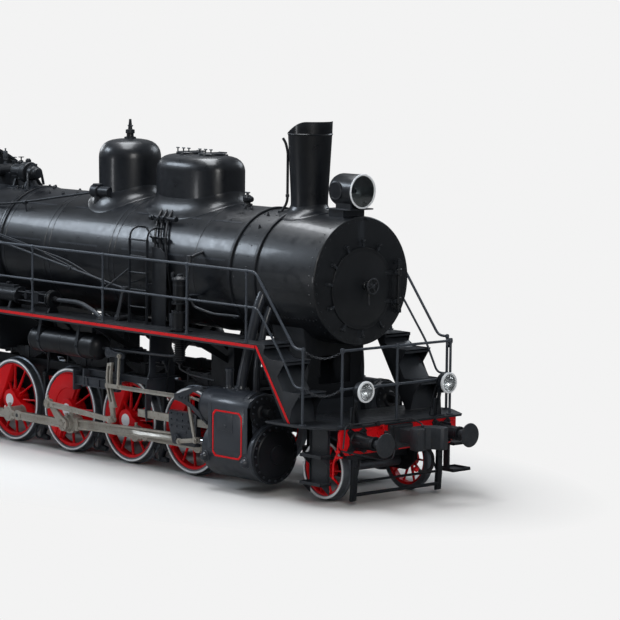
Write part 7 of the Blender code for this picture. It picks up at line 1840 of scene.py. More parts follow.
        sideSlab(truck, side, [[(5.243, 0.488), (5.503, 0.328), (5.823, 0.328), (6.003, 0.488),
                                (6.003, 0.62), (5.95, 0.648), (5.3, 0.648), (5.243, 0.62)],
                               ringPoints(truckAxle, 0.0753, 28)], 0.56, 0.62, 0.005)
        sideSlab(truck, side, [rectangle(5.52, 5.8, 0.34, 0.57), ringPoints(truckAxle, 0.076, 28)], 0.615,
                 0.655, 0.004)
        for x in (5.35, 5.44, 5.88, 5.96):
            hexNut(truck, (x, side * 0.62, 0.56), (0, side, 0), 0.018, 0.016)
        pipe(truck, sidePath(side, [(4.47, 0.06, 0.5), (5.3, 0.46, 0.54), (5.38, 0.58, 0.55)]), 0.034, 14,
             0.1)
    block(truck, (5.463, 5.863), (-0.57, 0.57), (0.55, 0.648))
    lathe(truck, [(0.64, 0), (0.64, 0.2), (0.66, 0.19), (0.706, 0.16), (0.708, 0)], (truckAxle[0], 0, 0),
          "Z", 40)
    lathe(truck, [(0.45, 0.0503), (0.45, 0.11), (0.55, 0.11), (0.55, 0.0503)], (plan["truckPin"], 0, 0),
          "Z", 32)
    finishPiece(truck, "truckFrame", "frameBlack", body="truck", stands=["leading_truck"], bevel=0.002)


makeFrame()
print("frame made")


# Air pump, reservoirs, ladder and reversing gear
pumpPlan = {"x": 2.98, "y": -1.2, "body": 0.1, "flange": 0.118, "finIn": 0.066, "finOut": 0.088}


# A place on the boiler's flank. Degrees are counted up from its side.
def onBoiler(x, side, degrees, lift):
    reach, angle = boilerRadius(x) + lift, math.radians(degrees)
    return Vector((x, side * reach * math.cos(angle), boilerPlan["height"] + reach * math.sin(angle)))


def makeAirPump():
    plan = pumpPlan
    x, y = plan["x"], plan["y"]
    pump, pipes = newPieces(2)
    profile = [(1.665, 0), (1.665, 0.028), (1.69, 0.05), (1.7, 0.084)]
    for fin in range(12):
        low = 1.712 + fin * 0.0265
        profile += shifted(low, [(0, plan["finIn"]), (0.007, plan["finIn"]), (0.009, plan["finOut"]),
                                 (0.0145, plan["finOut"]), (0.0175, plan["finIn"])])
    profile += [(2.03, 0.09), (2.045, 0.09), (2.05, 0.06), (2.15, 0.06), (2.16, plan["flange"]),
                (2.178, plan["flange"]), (2.182, plan["body"] + 0.004), (2.4, plan["body"] + 0.004),
                (2.404, plan["flange"]), (2.424, plan["flange"]), (2.43, 0.055), (2.52, 0.055),
                (2.526, plan["flange"]), (2.546, plan["flange"]), (2.55, plan["body"]),
                (2.86, plan["body"]), (2.865, plan["flange"]), (2.89, plan["flange"]), (2.905, 0.085),
                (2.925, 0.05), (2.955, 0.036), (2.96, 0)]
    lathe(pump, profile, (x, y, 0), "Z", 56)
    for z, reach in ((2.178, 0.109), (2.424, 0.109), (2.546, 0.109), (2.89, 0.1)):
        for place in ringOf(10, (x, y, z), "Z", 0, reach):
            hexNut(pump, place, (0, 0, 1), 0.011, 0.012)
    for z in (2.6, 2.8):
        lathe(pump, [(z - 0.01, plan["body"] - 0.004), (z - 0.01, plan["body"] + 0.004),
                     (z + 0.01, plan["body"] + 0.004), (z + 0.01, plan["body"] - 0.004)], (x, y, 0), "Z",
              56)
    # valve chest, lubricator and bracket
    block(pump, (x - 0.165, x - 0.08), (y - 0.055, y + 0.055), (2.2, 2.38))
    for z in (2.215, 2.365):
        for across in (-0.04, 0.04):
            hexNut(pump, (x - 0.165, y + across, z), (-1, 0, 0), 0.011, 0.012)
    disc(pump, (x - 0.12, y, 0), "Z", 2.38, 2.42, 0.032, 20)
    disc(pump, (x - 0.135, y - 0.02, 0), "Z", 2.9, 2.955, 0.03, 20)
    disc(pump, (x - 0.135, y - 0.02, 0), "Z", 2.955, 2.975, 0.018, 16)
    bar(pump, (x - 0.08, y, 2.84), (x - 0.135, y - 0.02, 2.91), 0.014, 10)
    for z in (2.1, 2.66):
        block(pump, (x - 0.06, x + 0.06), (y + 0.09, -0.86), (z - 0.03, z - 0.01))
        slab(pump, [[(y + 0.09, z - 0.012), (-0.87, z - 0.012), (-0.9, z - 0.13), (y + 0.09, z - 0.05)]],
             "X", x - 0.008, x + 0.008, 0.001)
    finishPiece(pump, "airPump", "frameBlack", stands=["air_pump"])
    pipe(pipes, [(x + 0.08, y, 2.2), (x + 0.17, y, 2.2), (x + 0.17, y, 3.02), (x + 0.12, y + 0.08, 3.2),
                 (x + 0.1, -0.78, 3.28)], 0.021, 14, 0.1)
    disc(pipes, (x + 0.145, y + 0.05, 0), "Z", 3.1, 3.23, 0.04, 20)
    pipe(pipes, [(x + 0.1, y + 0.02, 2.62), (x + 0.17, y + 0.05, 2.62), (x + 0.2, y + 0.09, 2.5),
                 (x + 0.5, -1.02, 2.42), (4.0, -0.96, 2.42)], 0.019, 12, 0.1)
    pipe(pipes, [(x - 0.08, y, 1.78), (x - 0.2, y + 0.02, 1.76), (x - 0.5, -1.13, 1.74), (1.6, -1.12, 1.72),
                 (1.15, -1.12, 1.72)], 0.02, 12, 0.1)
    pipe(pipes, [(x, y, 1.67), (x, y, 1.6), (x + 0.1, y + 0.1, 1.52), (x + 0.6, -1.05, 1.48)], 0.012, 10,
         0.06)
    finishPiece(pipes, "pumpPipes", "darkIron", smooth=35)


def makeReservoirs():
    for side, word in sides:
        tank = newPiece()
        y, z, low, high, radius = side * 1.12, 1.72, -0.55, 1.15, 0.188
        profile = shifted(low, [(0, 0), (0.006, 0.06), (0.024, 0.115), (0.052, 0.158), (0.085, 0.181),
                                (0.115, radius)])
        for seam in (low + 0.13, 0.3, high - 0.13):
            profile += [(seam - 0.014, radius), (seam - 0.012, radius + 0.004),
                        (seam + 0.012, radius + 0.004), (seam + 0.014, radius)]
        profile += shifted(high, [(-0.1, radius), (-0.085, 0.181), (-0.052, 0.158), (-0.024, 0.115),
                                  (-0.006, 0.06), (0, 0)])
        lathe(tank, profile, (0, y, z), "X", 64)
        for x in (-0.21, 0.725):
            lathe(tank, [(-0.03, radius - 0.003), (-0.03, radius + 0.009), (0.03, radius + 0.009),
                         (0.03, radius - 0.003)], (x, y, z), "X", 64)
            for across in (-0.2, 0.2):
                slab(tank, [[(y + across - 0.008, z - 0.02), (y + across + 0.008, z - 0.02),
                             (y + across * 0.55 + 0.008, 2.1095), (y + across * 0.55 - 0.008, 2.1095)]],
                     "X", x - 0.03, x + 0.03, 0.002)
                hexNut(tank, (x, y + across * 1.02, z), (0, across, 0), 0.02, 0.018)
                block(tank, (x - 0.03, x + 0.03), (y + across * 0.55 - 0.045, y + across * 0.55 + 0.045),
                      (2.095, 2.1095))
        for x in (low + 0.3, high - 0.3):
            disc(tank, (x, y, 0), "Z", z - radius - 0.03, z - radius + 0.01, 0.026, 16)
        for end, way in ((low, -1), (high, 1)):
            disc(tank, (end, y, z), "X", min(0, way * 0.03) - 0.005, max(0, way * 0.03) + 0.005, 0.03, 20)
        finishPiece(tank, f"airReservoir{word}", "frameBlack", stands=[f"air_reservoir_{word.lower()}"])


def makeLadder():
    ladder, pipes = newPieces(2)
    y, low, high = -1.05, 2.14, 3.38
    for x in (1.655, 2.055):
        slab(ladder, [rectangle(x - 0.006, x + 0.006, low, high)], "Y", y - 0.022, y + 0.022, 0.001)
        pipe(ladder, [(x, y, high - 0.02), (x, y + 0.02, high + 0.1), (x, y + 0.14, high + 0.16),
                      (x, y + 0.3, high + 0.14)], 0.014, 10, 0.06)
        block(ladder, (x - 0.02, x + 0.02), (y - 0.04, y + 0.04), (low + 0.0003, low + 0.008))
        bar(ladder, (x, y, 2.72), (x, -0.88, 2.74), 0.01, 8)
    for z in (2.38, 2.63, 2.88, 3.12, 3.36):
        bar(ladder, (1.655, y, z), (2.055, y, z), 0.0125, 12)
        for x in (1.655, 2.055):
            disc(ladder, (x, y, z), "X", -0.01, 0.01, 0.02, 12)
    finishPiece(ladder, "boilerLadder", "frameBlack")
    # sanding pipes down both flanks, with their valves on a cross pipe, and a flat black plate on each
    # flank just ahead of the ladder
    for side, _ in sides:
        for start, turn in ((1.72, 0.42), (1.84, 0.42), (1.96, 0.42)):
            run = [onBoiler(start, side, 60, 0.03), onBoiler(start + turn * 0.3, side, 44, 0.05),
                   onBoiler(start + turn * 0.7, side, 24, 0.045), onBoiler(start + turn, side, 4, 0.04),
                   onBoiler(start + turn, side, -24, 0.04), Vector((start + turn, side * 0.92, 2.2))]
            pipe(pipes, run, 0.019, 12, 0.12)
            for share, degrees, size in ((0.3, 44, 0.045), (0.7, 24, 0.036), (1.0, 4, 0.036)):
                place = onBoiler(start + turn * share, side, degrees, 0.05)
                disc(pipes, place, "Z", -0.045, 0.04, size, 16)
                bar(pipes, place, place + Vector((0, side * 0.09, 0.05)), 0.014, 10)
        low, high = onBoiler(1.74, side, 44, 0.075), onBoiler(2.28, side, 44, 0.075)
        bar(pipes, low, high, 0.024, 14)
        for share in (0.0, 0.5, 1.0):
            disc(pipes, low.lerp(high, share), "X", -0.03, 0.03, 0.042, 16)
        # a flat black plate on each flank that darkens that part of the flank; what lies there is not known
        darkFlankPlate = [(2.1, railPlan["plateFoot"]), (2.42, railPlan["plateFoot"]), (2.42, 3.1), (2.38, 3.2),
                  (2.3, 3.26), (2.1, 3.28)]
        sideSlab(pipes, side, [darkFlankPlate], 0.985, 1.0, 0.002)
    finishPiece(pipes, "sandPipes", "frameBlack", smooth=35)


def makeReverser():
    gear, rods = newPieces(2)
    y, z = -1.15, 2.335
    lathe(gear, [(-1.46, 0), (-1.46, 0.1), (-1.455, 0.138), (-1.42, 0.138), (-1.415, 0.118), (-0.86, 0.118),
                 (-0.855, 0.138), (-0.82, 0.138), (-0.815, 0.09), (-0.8, 0.05), (-0.8, 0)], (0, y, z), "X",
          56)
    for x, way in ((-1.46, -1), (-0.82, 1)):
        for place in ringOf(8, (x, y, z), "X", 0, 0.122, 0.3):
            hexNut(gear, place, (way, 0, 0), 0.012, 0.012)
    for x in (-1.3, -1.0):
        slab(gear, [taper(y, 0.12, 0.07, railPlan["foot"], z - 0.06)], "X", x - 0.025, x + 0.025, 0.003)
    block(gear, (-1.36, -0.94), (y - 0.05, y + 0.05), (z + 0.1, z + 0.15))
    disc(gear, (-1.15, y, 0), "Z", z + 0.15, z + 0.19, 0.035, 18)
    for across in (-0.07, 0.07):  # tie bars between the cylinder and its yoke
        for up in (-0.06, 0.07):
            bar(gear, (-0.84, y + across, z + up), (-0.06, y + across, z + up), 0.0125, 12)
    bar(gear, (-0.82, y, z), (-0.3, y, z), 0.022, 16)
    block(gear, (-0.42, -0.3), (y - 0.085, y + 0.085), (z - 0.08, z + 0.09))
    block(gear, (-0.66, -0.6), (y - 0.075, y + 0.075), (z - 0.03, z + 0.085))
    slab(gear, [[(-0.6, railPlan["foot"]), (-0.52, railPlan["foot"]), (-0.36, z - 0.05),
                 (-0.42, z - 0.05)]], "Y", y - 0.05, y - 0.03, 0.002)
    lathe(gear, [(-0.09, 0), (-0.09, 0.125), (-0.08, 0.14), (-0.055, 0.14), (-0.05, 0.11), (-0.045, 0.11),
                 (-0.04, 0.135), (-0.015, 0.135), (-0.005, 0.12), (-0.005, 0.05), (0.08, 0.046), (0.08, 0)],
          (0, y, z + 0.005), "X", 48)
    slab(gear, [taper(y, 0.1, 0.05, railPlan["foot"], z - 0.08)], "X", -0.06, -0.03, 0.002)
    finishPiece(gear, "reversingCylinder", "frameBlack", bevel=0.002)
    pipe(rods, [(0.06, y, 2.34), (0.62, y, 2.35), (1.0, y - 0.02, 2.24), (1.12, y - 0.02, 2.17),
                (1.12, y - 0.02, railPlan["plateFoot"])], 0.034, 18, 0.16)
    disc(rods, (1.12, y - 0.02, 0), "Z", railPlan["plateFoot"], 2.16, 0.055, 20)
    # reach rod from the cab to the lifting arm, with its knuckle
    start, knuckle, end = Vector((-3.975, -0.985, 3.48)), Vector((0.24, -1.05, 2.83)), Vector((1.56, -1.05,
        2.62))
    bar(rods, start, knuckle, 0.0165, 14)
    bar(rods, knuckle, end, 0.0165, 14)
    disc(rods, knuckle, "Y", -0.03, 0.03, 0.036, 20)
    disc(rods, end, "Y", -0.03, 0.03, 0.04, 20)
    bar(rods, (1.12, -1.08, 2.6), (1.63, -1.0, 2.95), 0.0125, 12)
    slab(rods, [eyeBar((1.56, 2.62), (1.42, 2.18), 0.045, 0.06, 0.05, 0.07)], "Y", -1.1, -1.082, 0.002)
    bar(rods, (1.42, -1.12, 2.18), (1.42, -0.84, 2.18), 0.036, 18)
    for x, up, high in ((-3.975, 3.6, 3.11), (-3.975, 3.55, 2.94)):
        pipe(rods, [(x, -1.02, up), (-0.88 if high > 3 else 0.12, -1.02, high),
                    (0.3 if high > 3 else 1.0, -0.97, high - 0.3)], 0.0095, 10, 0.2)
    finishPiece(rods, "reachRods", "darkIron", smooth=35)


# Firebox with its generator, steam stand and whistle, and the boiler's back plate
fireboxPlan = {"front": -1.7003, "rear": -4.5, "half": 0.925, "low": 1.42, "standX": -2.66, "up": 4.107}


def makeFirebox():
    plan = fireboxPlan
    half, height = plan["half"], boilerPlan["height"]
    shell, studs = newPieces(2)
    crown = arcPoints((0, height), half, 0, 180, 60)
    outline = [(half - 0.02, plan["low"])] + crown + [(-half + 0.02, plan["low"])]
    slab(shell, [outline], "X", plan["rear"], plan["front"], 0.006)
    slab(shell, [[(-4.35, 1.43), (-4.3, 1.33), (-1.9, 1.33), (-1.75, 1.43)]], "Y", -0.46, 0.46, 0.004)
    for x in (-1.78, -2.9, -3.9):
        band = arcPoints((0, height), half + 0.006, 0, 180, 60)
        slab(shell, [[(half - 0.015, 1.6)] + band + [(-half + 0.015, 1.6), (-half + 0.03, 1.6)]
                     + arcPoints((0, height), half - 0.006, 180, 0, 60) + [(half - 0.03, 1.6)]], "X",
             x - 0.03, x + 0.03, 0.001)
    finishPiece(shell, "fireboxShell", "boilerBlack", stands=["firebox"], smooth=25)
    for side, _ in sides:
        for step in range(9):
            x = -1.98 - step * 0.24
            for up in (1.56, 2.55):  # washout plugs and the foundation ring's rivets
                out = Vector((0, side, 0))
                rivet(studs, (x, side * (half - 0.003), up), out, 0.02 if up > 2 else 0.015)
        for x in (-2.3, -3.3):
            disc(studs, (x, 0, 2.9), "Y", side * (half + 0.028) if side < 0 else half - 0.01,
                 side * (half - 0.01) if side < 0 else half + 0.028, 0.06, 28)
            for place in ringOf(6, (x, side * (half + 0.026), 2.9), "Y", 0, 0.042):
                hexNut(studs, place, (0, side, 0), 0.011, 0.01)
        pipe(studs, sidePath(side, [(-1.9, 0.94, 2.3), (-2.5, 0.95, 2.26), (-3.3, 0.95, 2.26),
                                    (-3.97, 0.95, 2.3)]), 0.022, 12, 0.1)
    for x, y in ((-1.84, -0.28), (-1.96, -0.28), (-2.06, -0.3), (-1.84, 0.28), (-2.02, 0.3)):
        up = height + math.sqrt(half ** 2 - y * y)
        disc(studs, (x, y, 0), "Z", up - 0.02, up + 0.03, 0.022, 14)
        hexNut(studs, (x, y, up + 0.03), (0, 0, 1), 0.016, 0.018)
    finishPiece(studs, "fireboxStuds", "boilerBlack")

    works = newPiece()
    up, y = plan["up"], -0.1
    lathe(works, [(-2.42, 0), (-2.42, 0.05), (-2.4, 0.085), (-2.37, 0.118), (-2.35, 0.13), (-2.33, 0.132),
                  (-2.14, 0.132), (-2.135, 0.142), (-2.12, 0.142), (-2.115, 0.16), (-2.1, 0.165),
                  (-1.99, 0.165), (-1.975, 0.155), (-1.97, 0.118), (-1.87, 0.11), (-1.85, 0.095),
                  (-1.8, 0.088), (-1.78, 0.07), (-1.77, 0)], (0, y, up), "X", 56)
    for place in ringOf(10, (-2.115, y, up), "X", 0, 0.152):
        hexNut(works, place, (-1, 0, 0), 0.012, 0.012)
    for step in range(14):  # cooling slots of the dynamo
        out = axisPoint((-2.24, y, up), "X", 0, 0.134, math.tau * step / 14)
        tiltedBlock(works, out, (0.13, 0.008, 0.012), Matrix.Rotation(math.tau * step / 14, 3, "X"))
    for x in (-2.28, -1.98):
        slab(works, [taper(y, 0.13, 0.07, up - 0.23, up - 0.06)], "X", x - 0.02, x + 0.02, 0.003)
    block(works, (-2.36, -1.84), (y - 0.17, y + 0.17), (up - 0.3, up - 0.215))
    slab(works, [[(-2.95, up - 0.3), (-1.8, up - 0.3), (-1.94, up - 0.12), (-2.1, up - 0.1),
                  (-2.5, up - 0.02), (-2.9, up - 0.04)]], "Y", y - 0.06, y + 0.06, 0.004)
    disc(works, (-2.05, y, 0), "Z", up + 0.14, up + 0.2, 0.045, 24)
    disc(works, (-2.05, y, 0), "Z", up + 0.2, up + 0.215, 0.03, 20)
    disc(works, (-2.26, y, 0), "Z", up + 0.12, up + 0.165, 0.05, 24)
    block(works, (-1.93, -1.87), (y - 0.04, y + 0.04), (up + 0.08, up + 0.14))
    pipe(works, [(-1.94, y - 0.1, up), (-1.86, y - 0.16, up - 0.02), (-1.8, y - 0.2, up - 0.12),
                 (-1.76, y - 0.24, up - 0.26)], 0.016, 12, 0.06)
    pipe(works, [(-2.05, y + 0.14, up), (-2.05, y + 0.25, up), (-2.05, y + 0.3, up - 0.2)], 0.022, 12, 0.06)
    # steam stand across the boiler, with its valves, and the whistle
    stand = plan["standX"]
    lathe(works, [(-0.31, 0), (-0.31, 0.09), (-0.3, 0.125), (-0.27, 0.125), (-0.265, 0.1), (0.265, 0.1),
                  (0.27, 0.125), (0.3, 0.125), (0.31, 0.09), (0.31, 0)], (stand, 0, up), "Y", 48)
    lathe(works, [(height + half - 0.03, 0), (height + half - 0.03, 0.14), (height + half + 0.03, 0.13),
                  (height + half + 0.05, 0.09), (up, 0.085), (up, 0)], (stand, 0, 0), "Z", 40)
    for across in (-0.24, 0.08, 0.22):
        disc(works, (stand, across, 0), "Z", up + 0.08, up + 0.15, 0.034, 20)
        bar(works, (stand, across, up + 0.14), (stand, across, up + 0.2), 0.011, 10)
        lathe(works, [(up + 0.196, 0.03), (up + 0.196, 0.046), (up + 0.206, 0.046), (up + 0.206, 0.03)],
              (stand, across, 0), "Z", 24)
        bar(works, (stand - 0.04, across, up + 0.2), (stand + 0.04, across, up + 0.2), 0.006, 8)
    for across in (-0.31, 0.31):
        way = 1 if across > 0 else -1
        pipe(works, [(stand, across, up), (stand, across + way * 0.1, up - 0.02),
                     (stand, across + way * 0.26, up - 0.2),
                     (stand - 0.02, across + way * 0.42, up - 0.42)], 0.026, 14, 0.1)
    finishPiece(works, "generatorAndStand", "frameBlack")
    whistle = newPiece()
    base = 4.2
    lathe(whistle, shifted(base, [(0, 0), (0, 0.03), (0.05, 0.022), (0.06, 0.03), (0.075, 0.04),
                                  (0.085, 0.04), (0.09, 0.034), (0.1, 0.036), (0.2, 0.036), (0.212, 0.03),
                                  (0.218, 0.012), (0.24, 0.01), (0.245, 0.018), (0.255, 0.012),
                                  (0.258, 0)]), (stand, -0.09, 0), "Z", 32)
    finishPiece(whistle, "whistle", "darkIron", smooth=40)

    # what the crew see of the boiler: fire door, gauges, water glasses and regulator
    back, brasses = newPieces(2)
    rear = plan["rear"] - 0.0005
    disc(back, (0, 0, 2.15), "X", rear - 0.06, rear, 0.26, 48)
    disc(back, (0, 0, 2.15), "X", rear - 0.1, rear - 0.05, 0.2, 48)
    for way in (-1, 1):
        slab(back, [[(way * 0.01, 1.98), (way * 0.2, 2.02), (way * 0.22, 2.15), (way * 0.2, 2.28),
                     (way * 0.01, 2.32)]], "X", rear - 0.125, rear - 0.1, 0.004)
        bar(back, (rear - 0.13, way * 0.15, 2.1), (rear - 0.13, way * 0.15, 2.22), 0.012, 10)
    block(back, (rear - 0.09, rear), (-0.3, 0.3), (1.86, 1.885))
    for place in ringOf(28, (0, 0, height), "X", rear, 0.86):
        rivet(back, place, (-1, 0, 0), 0.014)
    disc(back, (0, 0, 3.42), "X", rear - 0.05, rear, 0.12, 32)
    bar(back, (rear - 0.16, 0, 3.42), (rear - 0.03, 0, 3.42), 0.03, 16)
    slab(back, [eyeBar((0.0, 3.42), (0.52, 3.2), 0.045, 0.025, 0.04, 0.03)], "X", rear - 0.16, rear - 0.14,
         0.003)
    bar(back, (rear - 0.24, 0.52, 3.2), (rear - 0.14, 0.52, 3.2), 0.018, 12)
    pipe(back, [(rear - 0.02, -0.6, 3.5), (rear - 0.1, -0.6, 3.5), (rear - 0.12, -0.6, 2.9),
                (rear - 0.1, -0.75, 2.3), (rear - 0.05, -0.8, 1.75)], 0.03, 14, 0.1)
    pipe(back, [(rear - 0.02, 0.7, 3.3), (rear - 0.1, 0.7, 3.3), (rear - 0.12, 0.72, 2.6),
                (rear - 0.1, 0.75, 1.75)], 0.026, 14, 0.1)
    finishPiece(back, "backPlate", "smokeboxBlack")
    for across in (-0.28, 0.28):
        bar(brasses, (rear - 0.09, across, 2.74), (rear - 0.09, across, 3.1), 0.012, 14)
        for up in (2.7, 3.14):
            disc(brasses, (rear - 0.09, across, 0), "Z", up - 0.04, up + 0.04, 0.026, 18)
            bar(brasses, (rear - 0.09, across, up), (rear, across, up), 0.018, 14)
            bar(brasses, (rear - 0.14, across, up), (rear - 0.09, across, up), 0.01, 10)
    for across, up, size in ((-0.05, 3.68, 0.1), (0.25, 3.62, 0.075), (-0.32, 3.6, 0.065)):
        disc(brasses, (0, across, up), "X", rear - 0.075, rear - 0.02, size, 36)
    for across in (-0.5, -0.4, 0.42):
        lathe(brasses, [(rear - 0.15, 0.04), (rear - 0.15, 0.055), (rear - 0.135, 0.055),
                        (rear - 0.135, 0.04)], (0, across, 2.55), "X", 28)
        bar(brasses, (rear - 0.145, across - 0.045, 2.55), (rear - 0.145, across + 0.045, 2.55), 0.007, 8)
        bar(brasses, (rear - 0.15, across, 2.55), (rear, across, 2.55), 0.014, 12)
    finishPiece(brasses, "backPlateBrasses", "brass", smooth=40)


# Cab
cabPlan = {"front": -3.98, "rear": -5.45, "half": 1.5, "wall": 0.04, "eaves": 3.72, "top": 4.5,
           "windowFronts": (-4.13, -4.78), "windowLong": 0.55, "windowLow": 2.75, "windowTop": 3.45}


def roofHeight(y, lift=0.0):
    half = cabPlan["half"] + 0.05
    rise = cabPlan["top"] - cabPlan["eaves"]
    radius = (half ** 2 + rise ** 2) / (2 * rise)
    return cabPlan["top"] - radius + math.sqrt(max(0.0, (radius + lift) ** 2 - y * y))


def makeCab():
    plan = cabPlan
    trims, frames, panes, inside = newPieces(4)
    for side, _ in sides:
        out = side * plan["half"]
        for front in plan["windowFronts"]:
            low, high = front - plan["windowLong"], front
            rim = rectangle(low - 0.03, high + 0.03, plan["windowLow"] - 0.03, plan["windowTop"] + 0.03)
            hole = rectangle(low + 0.004, high - 0.004, plan["windowLow"] + 0.004,
                             plan["windowTop"] - 0.004)
            slab(trims, [rim, hole], "Y", out + side * 0.0004, out + side * 0.012, 0.002)
            edge = rectangle(low + 0.006, high - 0.006, plan["windowLow"] + 0.006,
                             plan["windowTop"] - 0.006)
            gap = rectangle(low + 0.05, high - 0.05, plan["windowLow"] + 0.05, plan["windowTop"] - 0.05)
            slab(frames, [edge, gap], "Y", out - side * 0.032, out - side * 0.01, 0.003)
            slab(panes, [rectangle(low + 0.046, high - 0.046, plan["windowLow"] + 0.046,
                                   plan["windowTop"] - 0.046)], "Y", out - side * 0.023, out - side * 0.019,
                 0.001)
        # arm rest, gutter, belt rail, rivets and hand rails
        block(trims, (-5.36, -4.1), (out - side * 0.001, out + side * 0.045), (2.665, 2.695))
        sideBlock(trims, side, (plan["rear"] - 0.14, plan["front"] + 0.07), (1.53, 1.549), (3.724, 3.75))
        for z in (1.56, 2.62, 3.62):
            for step in range(24):
                rivet(trims, (-5.42 + step * 0.0595, out, z), (0, side, 0), 0.0085)
        for x in (-5.42, -4.05):
            for step in range(22):
                rivet(trims, (x, out, 1.62 + step * 0.092), (0, side, 0), 0.0085)
        for x in (-5.38, -4.07):
            pipe(trims, [(x, out, 1.75), (x, out + side * 0.045, 1.77), (x, out + side * 0.045, 2.5),
                         (x, out, 2.52)], 0.0135, 12, 0.04)
        # steps to the cab
        for x in (-5.36, -4.98):
            sideBlock(trims, side, (x - 0.008, x + 0.008), (1.3, 1.42), (0.62, 1.6))
        for z in (0.62, 0.95, 1.28):
            sideBlock(trims, side, (-5.36, -4.98), (1.27, 1.45), (z, z + 0.02))
            sideBlock(trims, side, (-5.36, -4.98), (1.44, 1.45), (z, z + 0.05))
        inward = side * (plan["half"] - plan["wall"])
        block(frames, (-5.3, -4.95), (inward - side * 0.34, inward - side * 0.05), (2.16, 2.21))
        for x in (-5.27, -4.98):
            bar(frames, (x, inward - side * 0.19, 1.66), (x, inward - side * 0.19, 2.16), 0.022, 12)
        block(frames, (-5.33, -5.28), (inward - side * 0.34, inward - side * 0.05), (2.21, 2.56))
    # roof ribs, ventilator and its frame
    for x in (-5.56, -5.1, -4.5, -3.95):
        outer = [(y, roofHeight(y, 0.012)) for y in [-1.54 + step * 0.077 for step in range(41)]]
        inner = [(y, roofHeight(y, -0.002)) for y in [1.54 - step * 0.077 for step in range(41)]]
        slab(trims, [outer + inner], "X", x - 0.02, x + 0.02, 0.001)
    for x in (-5.1, -4.5):
        for step in range(19):
            y = -1.44 + step * 0.16
            rivet(trims, (x, y, roofHeight(y, 0.012)), (0, y, 2.0), 0.009)
    hatch = rectangle(-5.0, -4.6, -0.42, 0.42)
    slab(trims, [hatch], "Z", 4.44, 4.56, 0.006)
    slab(trims, [rectangle(-5.06, -4.54, -0.48, 0.48)], "Z", 4.56, 4.585, 0.006)
    for side, _ in sides:  # front door handles, eyebrow over the doors
        sideBlock(trims, side, (-3.979, -3.93), (1.05, 1.38), (3.69, 3.7))
        slab(trims, [rectangle(side * 1.03, side * 1.06, 2.14, 3.69)], "X", -3.9795, -3.972, 0.001)
    finishPiece(trims, "cabTrims", "boilerBlack")
    finishPiece(frames, "cabWindowFrames", "plainWood")
    finishPiece(panes, "cabPanes", "windowGlass", smooth=40)
    for step in range(19):
        y = -1.43 + step * 0.1515
        block(inside, (-5.44, -4.52), (y, y + 0.146), (1.6603, 1.672))
    finishPiece(inside, "cabPlanks", "plainWood", bevel=0.002)
    for side, word in sides:
        leaf, pane = newPieces(2)
        inner, sill, head = 1.06, 2.17, 3.67
        y0, y1 = side * (inner + 0.09), side * (inner + 0.2)
        slab(leaf, [rectangle(y0 - side * 0.02, y1 + side * 0.02, head - 0.67, head - 0.18),
                    rectangle(y0 + side * 0.004, y1 - side * 0.004, head - 0.646, head - 0.204)], "X",
             -3.98, -3.97, 0.001)
        for z in (sill + 0.16, sill + 0.62):
            sideBlock(leaf, side, (-3.98, -3.974), (inner + 0.03, inner + 0.26), (z - 0.012, z + 0.012))
        pipe(leaf, sidePath(side, [(-3.98, 1.31, 2.86), (-3.945, 1.31, 2.87), (-3.945, 1.31, 2.97),
                                   (-3.98, 1.31, 2.98)]), 0.008, 10, 0.02)
        finishPiece(leaf, f"cabDoorTrim{word}", "boilerBlack", body=f"cab_door_{word.lower()}_leaf")
        slab(pane, [rectangle(y0 - side * 0.004, y1 + side * 0.004, head - 0.654, head - 0.196)], "X",
             -4.002, -3.998, 0.001)
        finishPiece(pane, f"cabDoorPane{word}", "windowGlass", body=f"cab_door_{word.lower()}_leaf",
                    smooth=40)


makeAirPump()
makeReservoirs()
makeLadder()
makeReverser()
makeFirebox()
makeCab()
print("fittings, firebox and cab made")


# Light, floor and sky
studio = {
    "backdrop": 0.896,
    "sky": 0.16, "glossy": 0.12, "floorShadeInReflections": 0.75,
    "skyLow": (0.32, 0.36, 0.44),
    "skyHigh": (0.8, 0.9, 1.0),
    "floorTone": 0.78,
    "floorNear": 5.6,
    "floorFar": 8.6,
    "lamps": (
        # name, place, aim, width, height, power, colour
        ("topPanel", (-1.0, -1.0, 15.0), (0.0, 0.0, 2.0), 14.0, 5.0, 2300.0, (0.93, 0.96, 1.0)),
        ("flankPanel", (-17.0, -12.0, 15.0), (0.0, 0.0, 3.0), 10.0, 5.0, 2100.0, (0.78, 0.88, 1.0)),
        ("lowPanel", (-6.0, -20.0, 3.5), (0.0, 0.0, 1.0), 3.0, 3.0, 260.0, (0.95, 0.97, 1.0)),
        ("frontPanel", (18.0, -9.0, 9.0), (1.0, 0.0, 1.5), 6.0, 6.0, 900.0, (1.0, 0.99, 0.97)),
        ("farPanel", (2.0, 16.0, 12.0), (0.0, 0.0, 2.0), 10.0, 6.0, 700.0, (0.85, 0.92, 1.0)),
        ("rearPanel", (-22.0, 4.0, 9.0), (-3.0, 0.0, 2.0), 8.0, 5.0, 500.0, (0.9, 0.95, 1.0)),
    ),
}


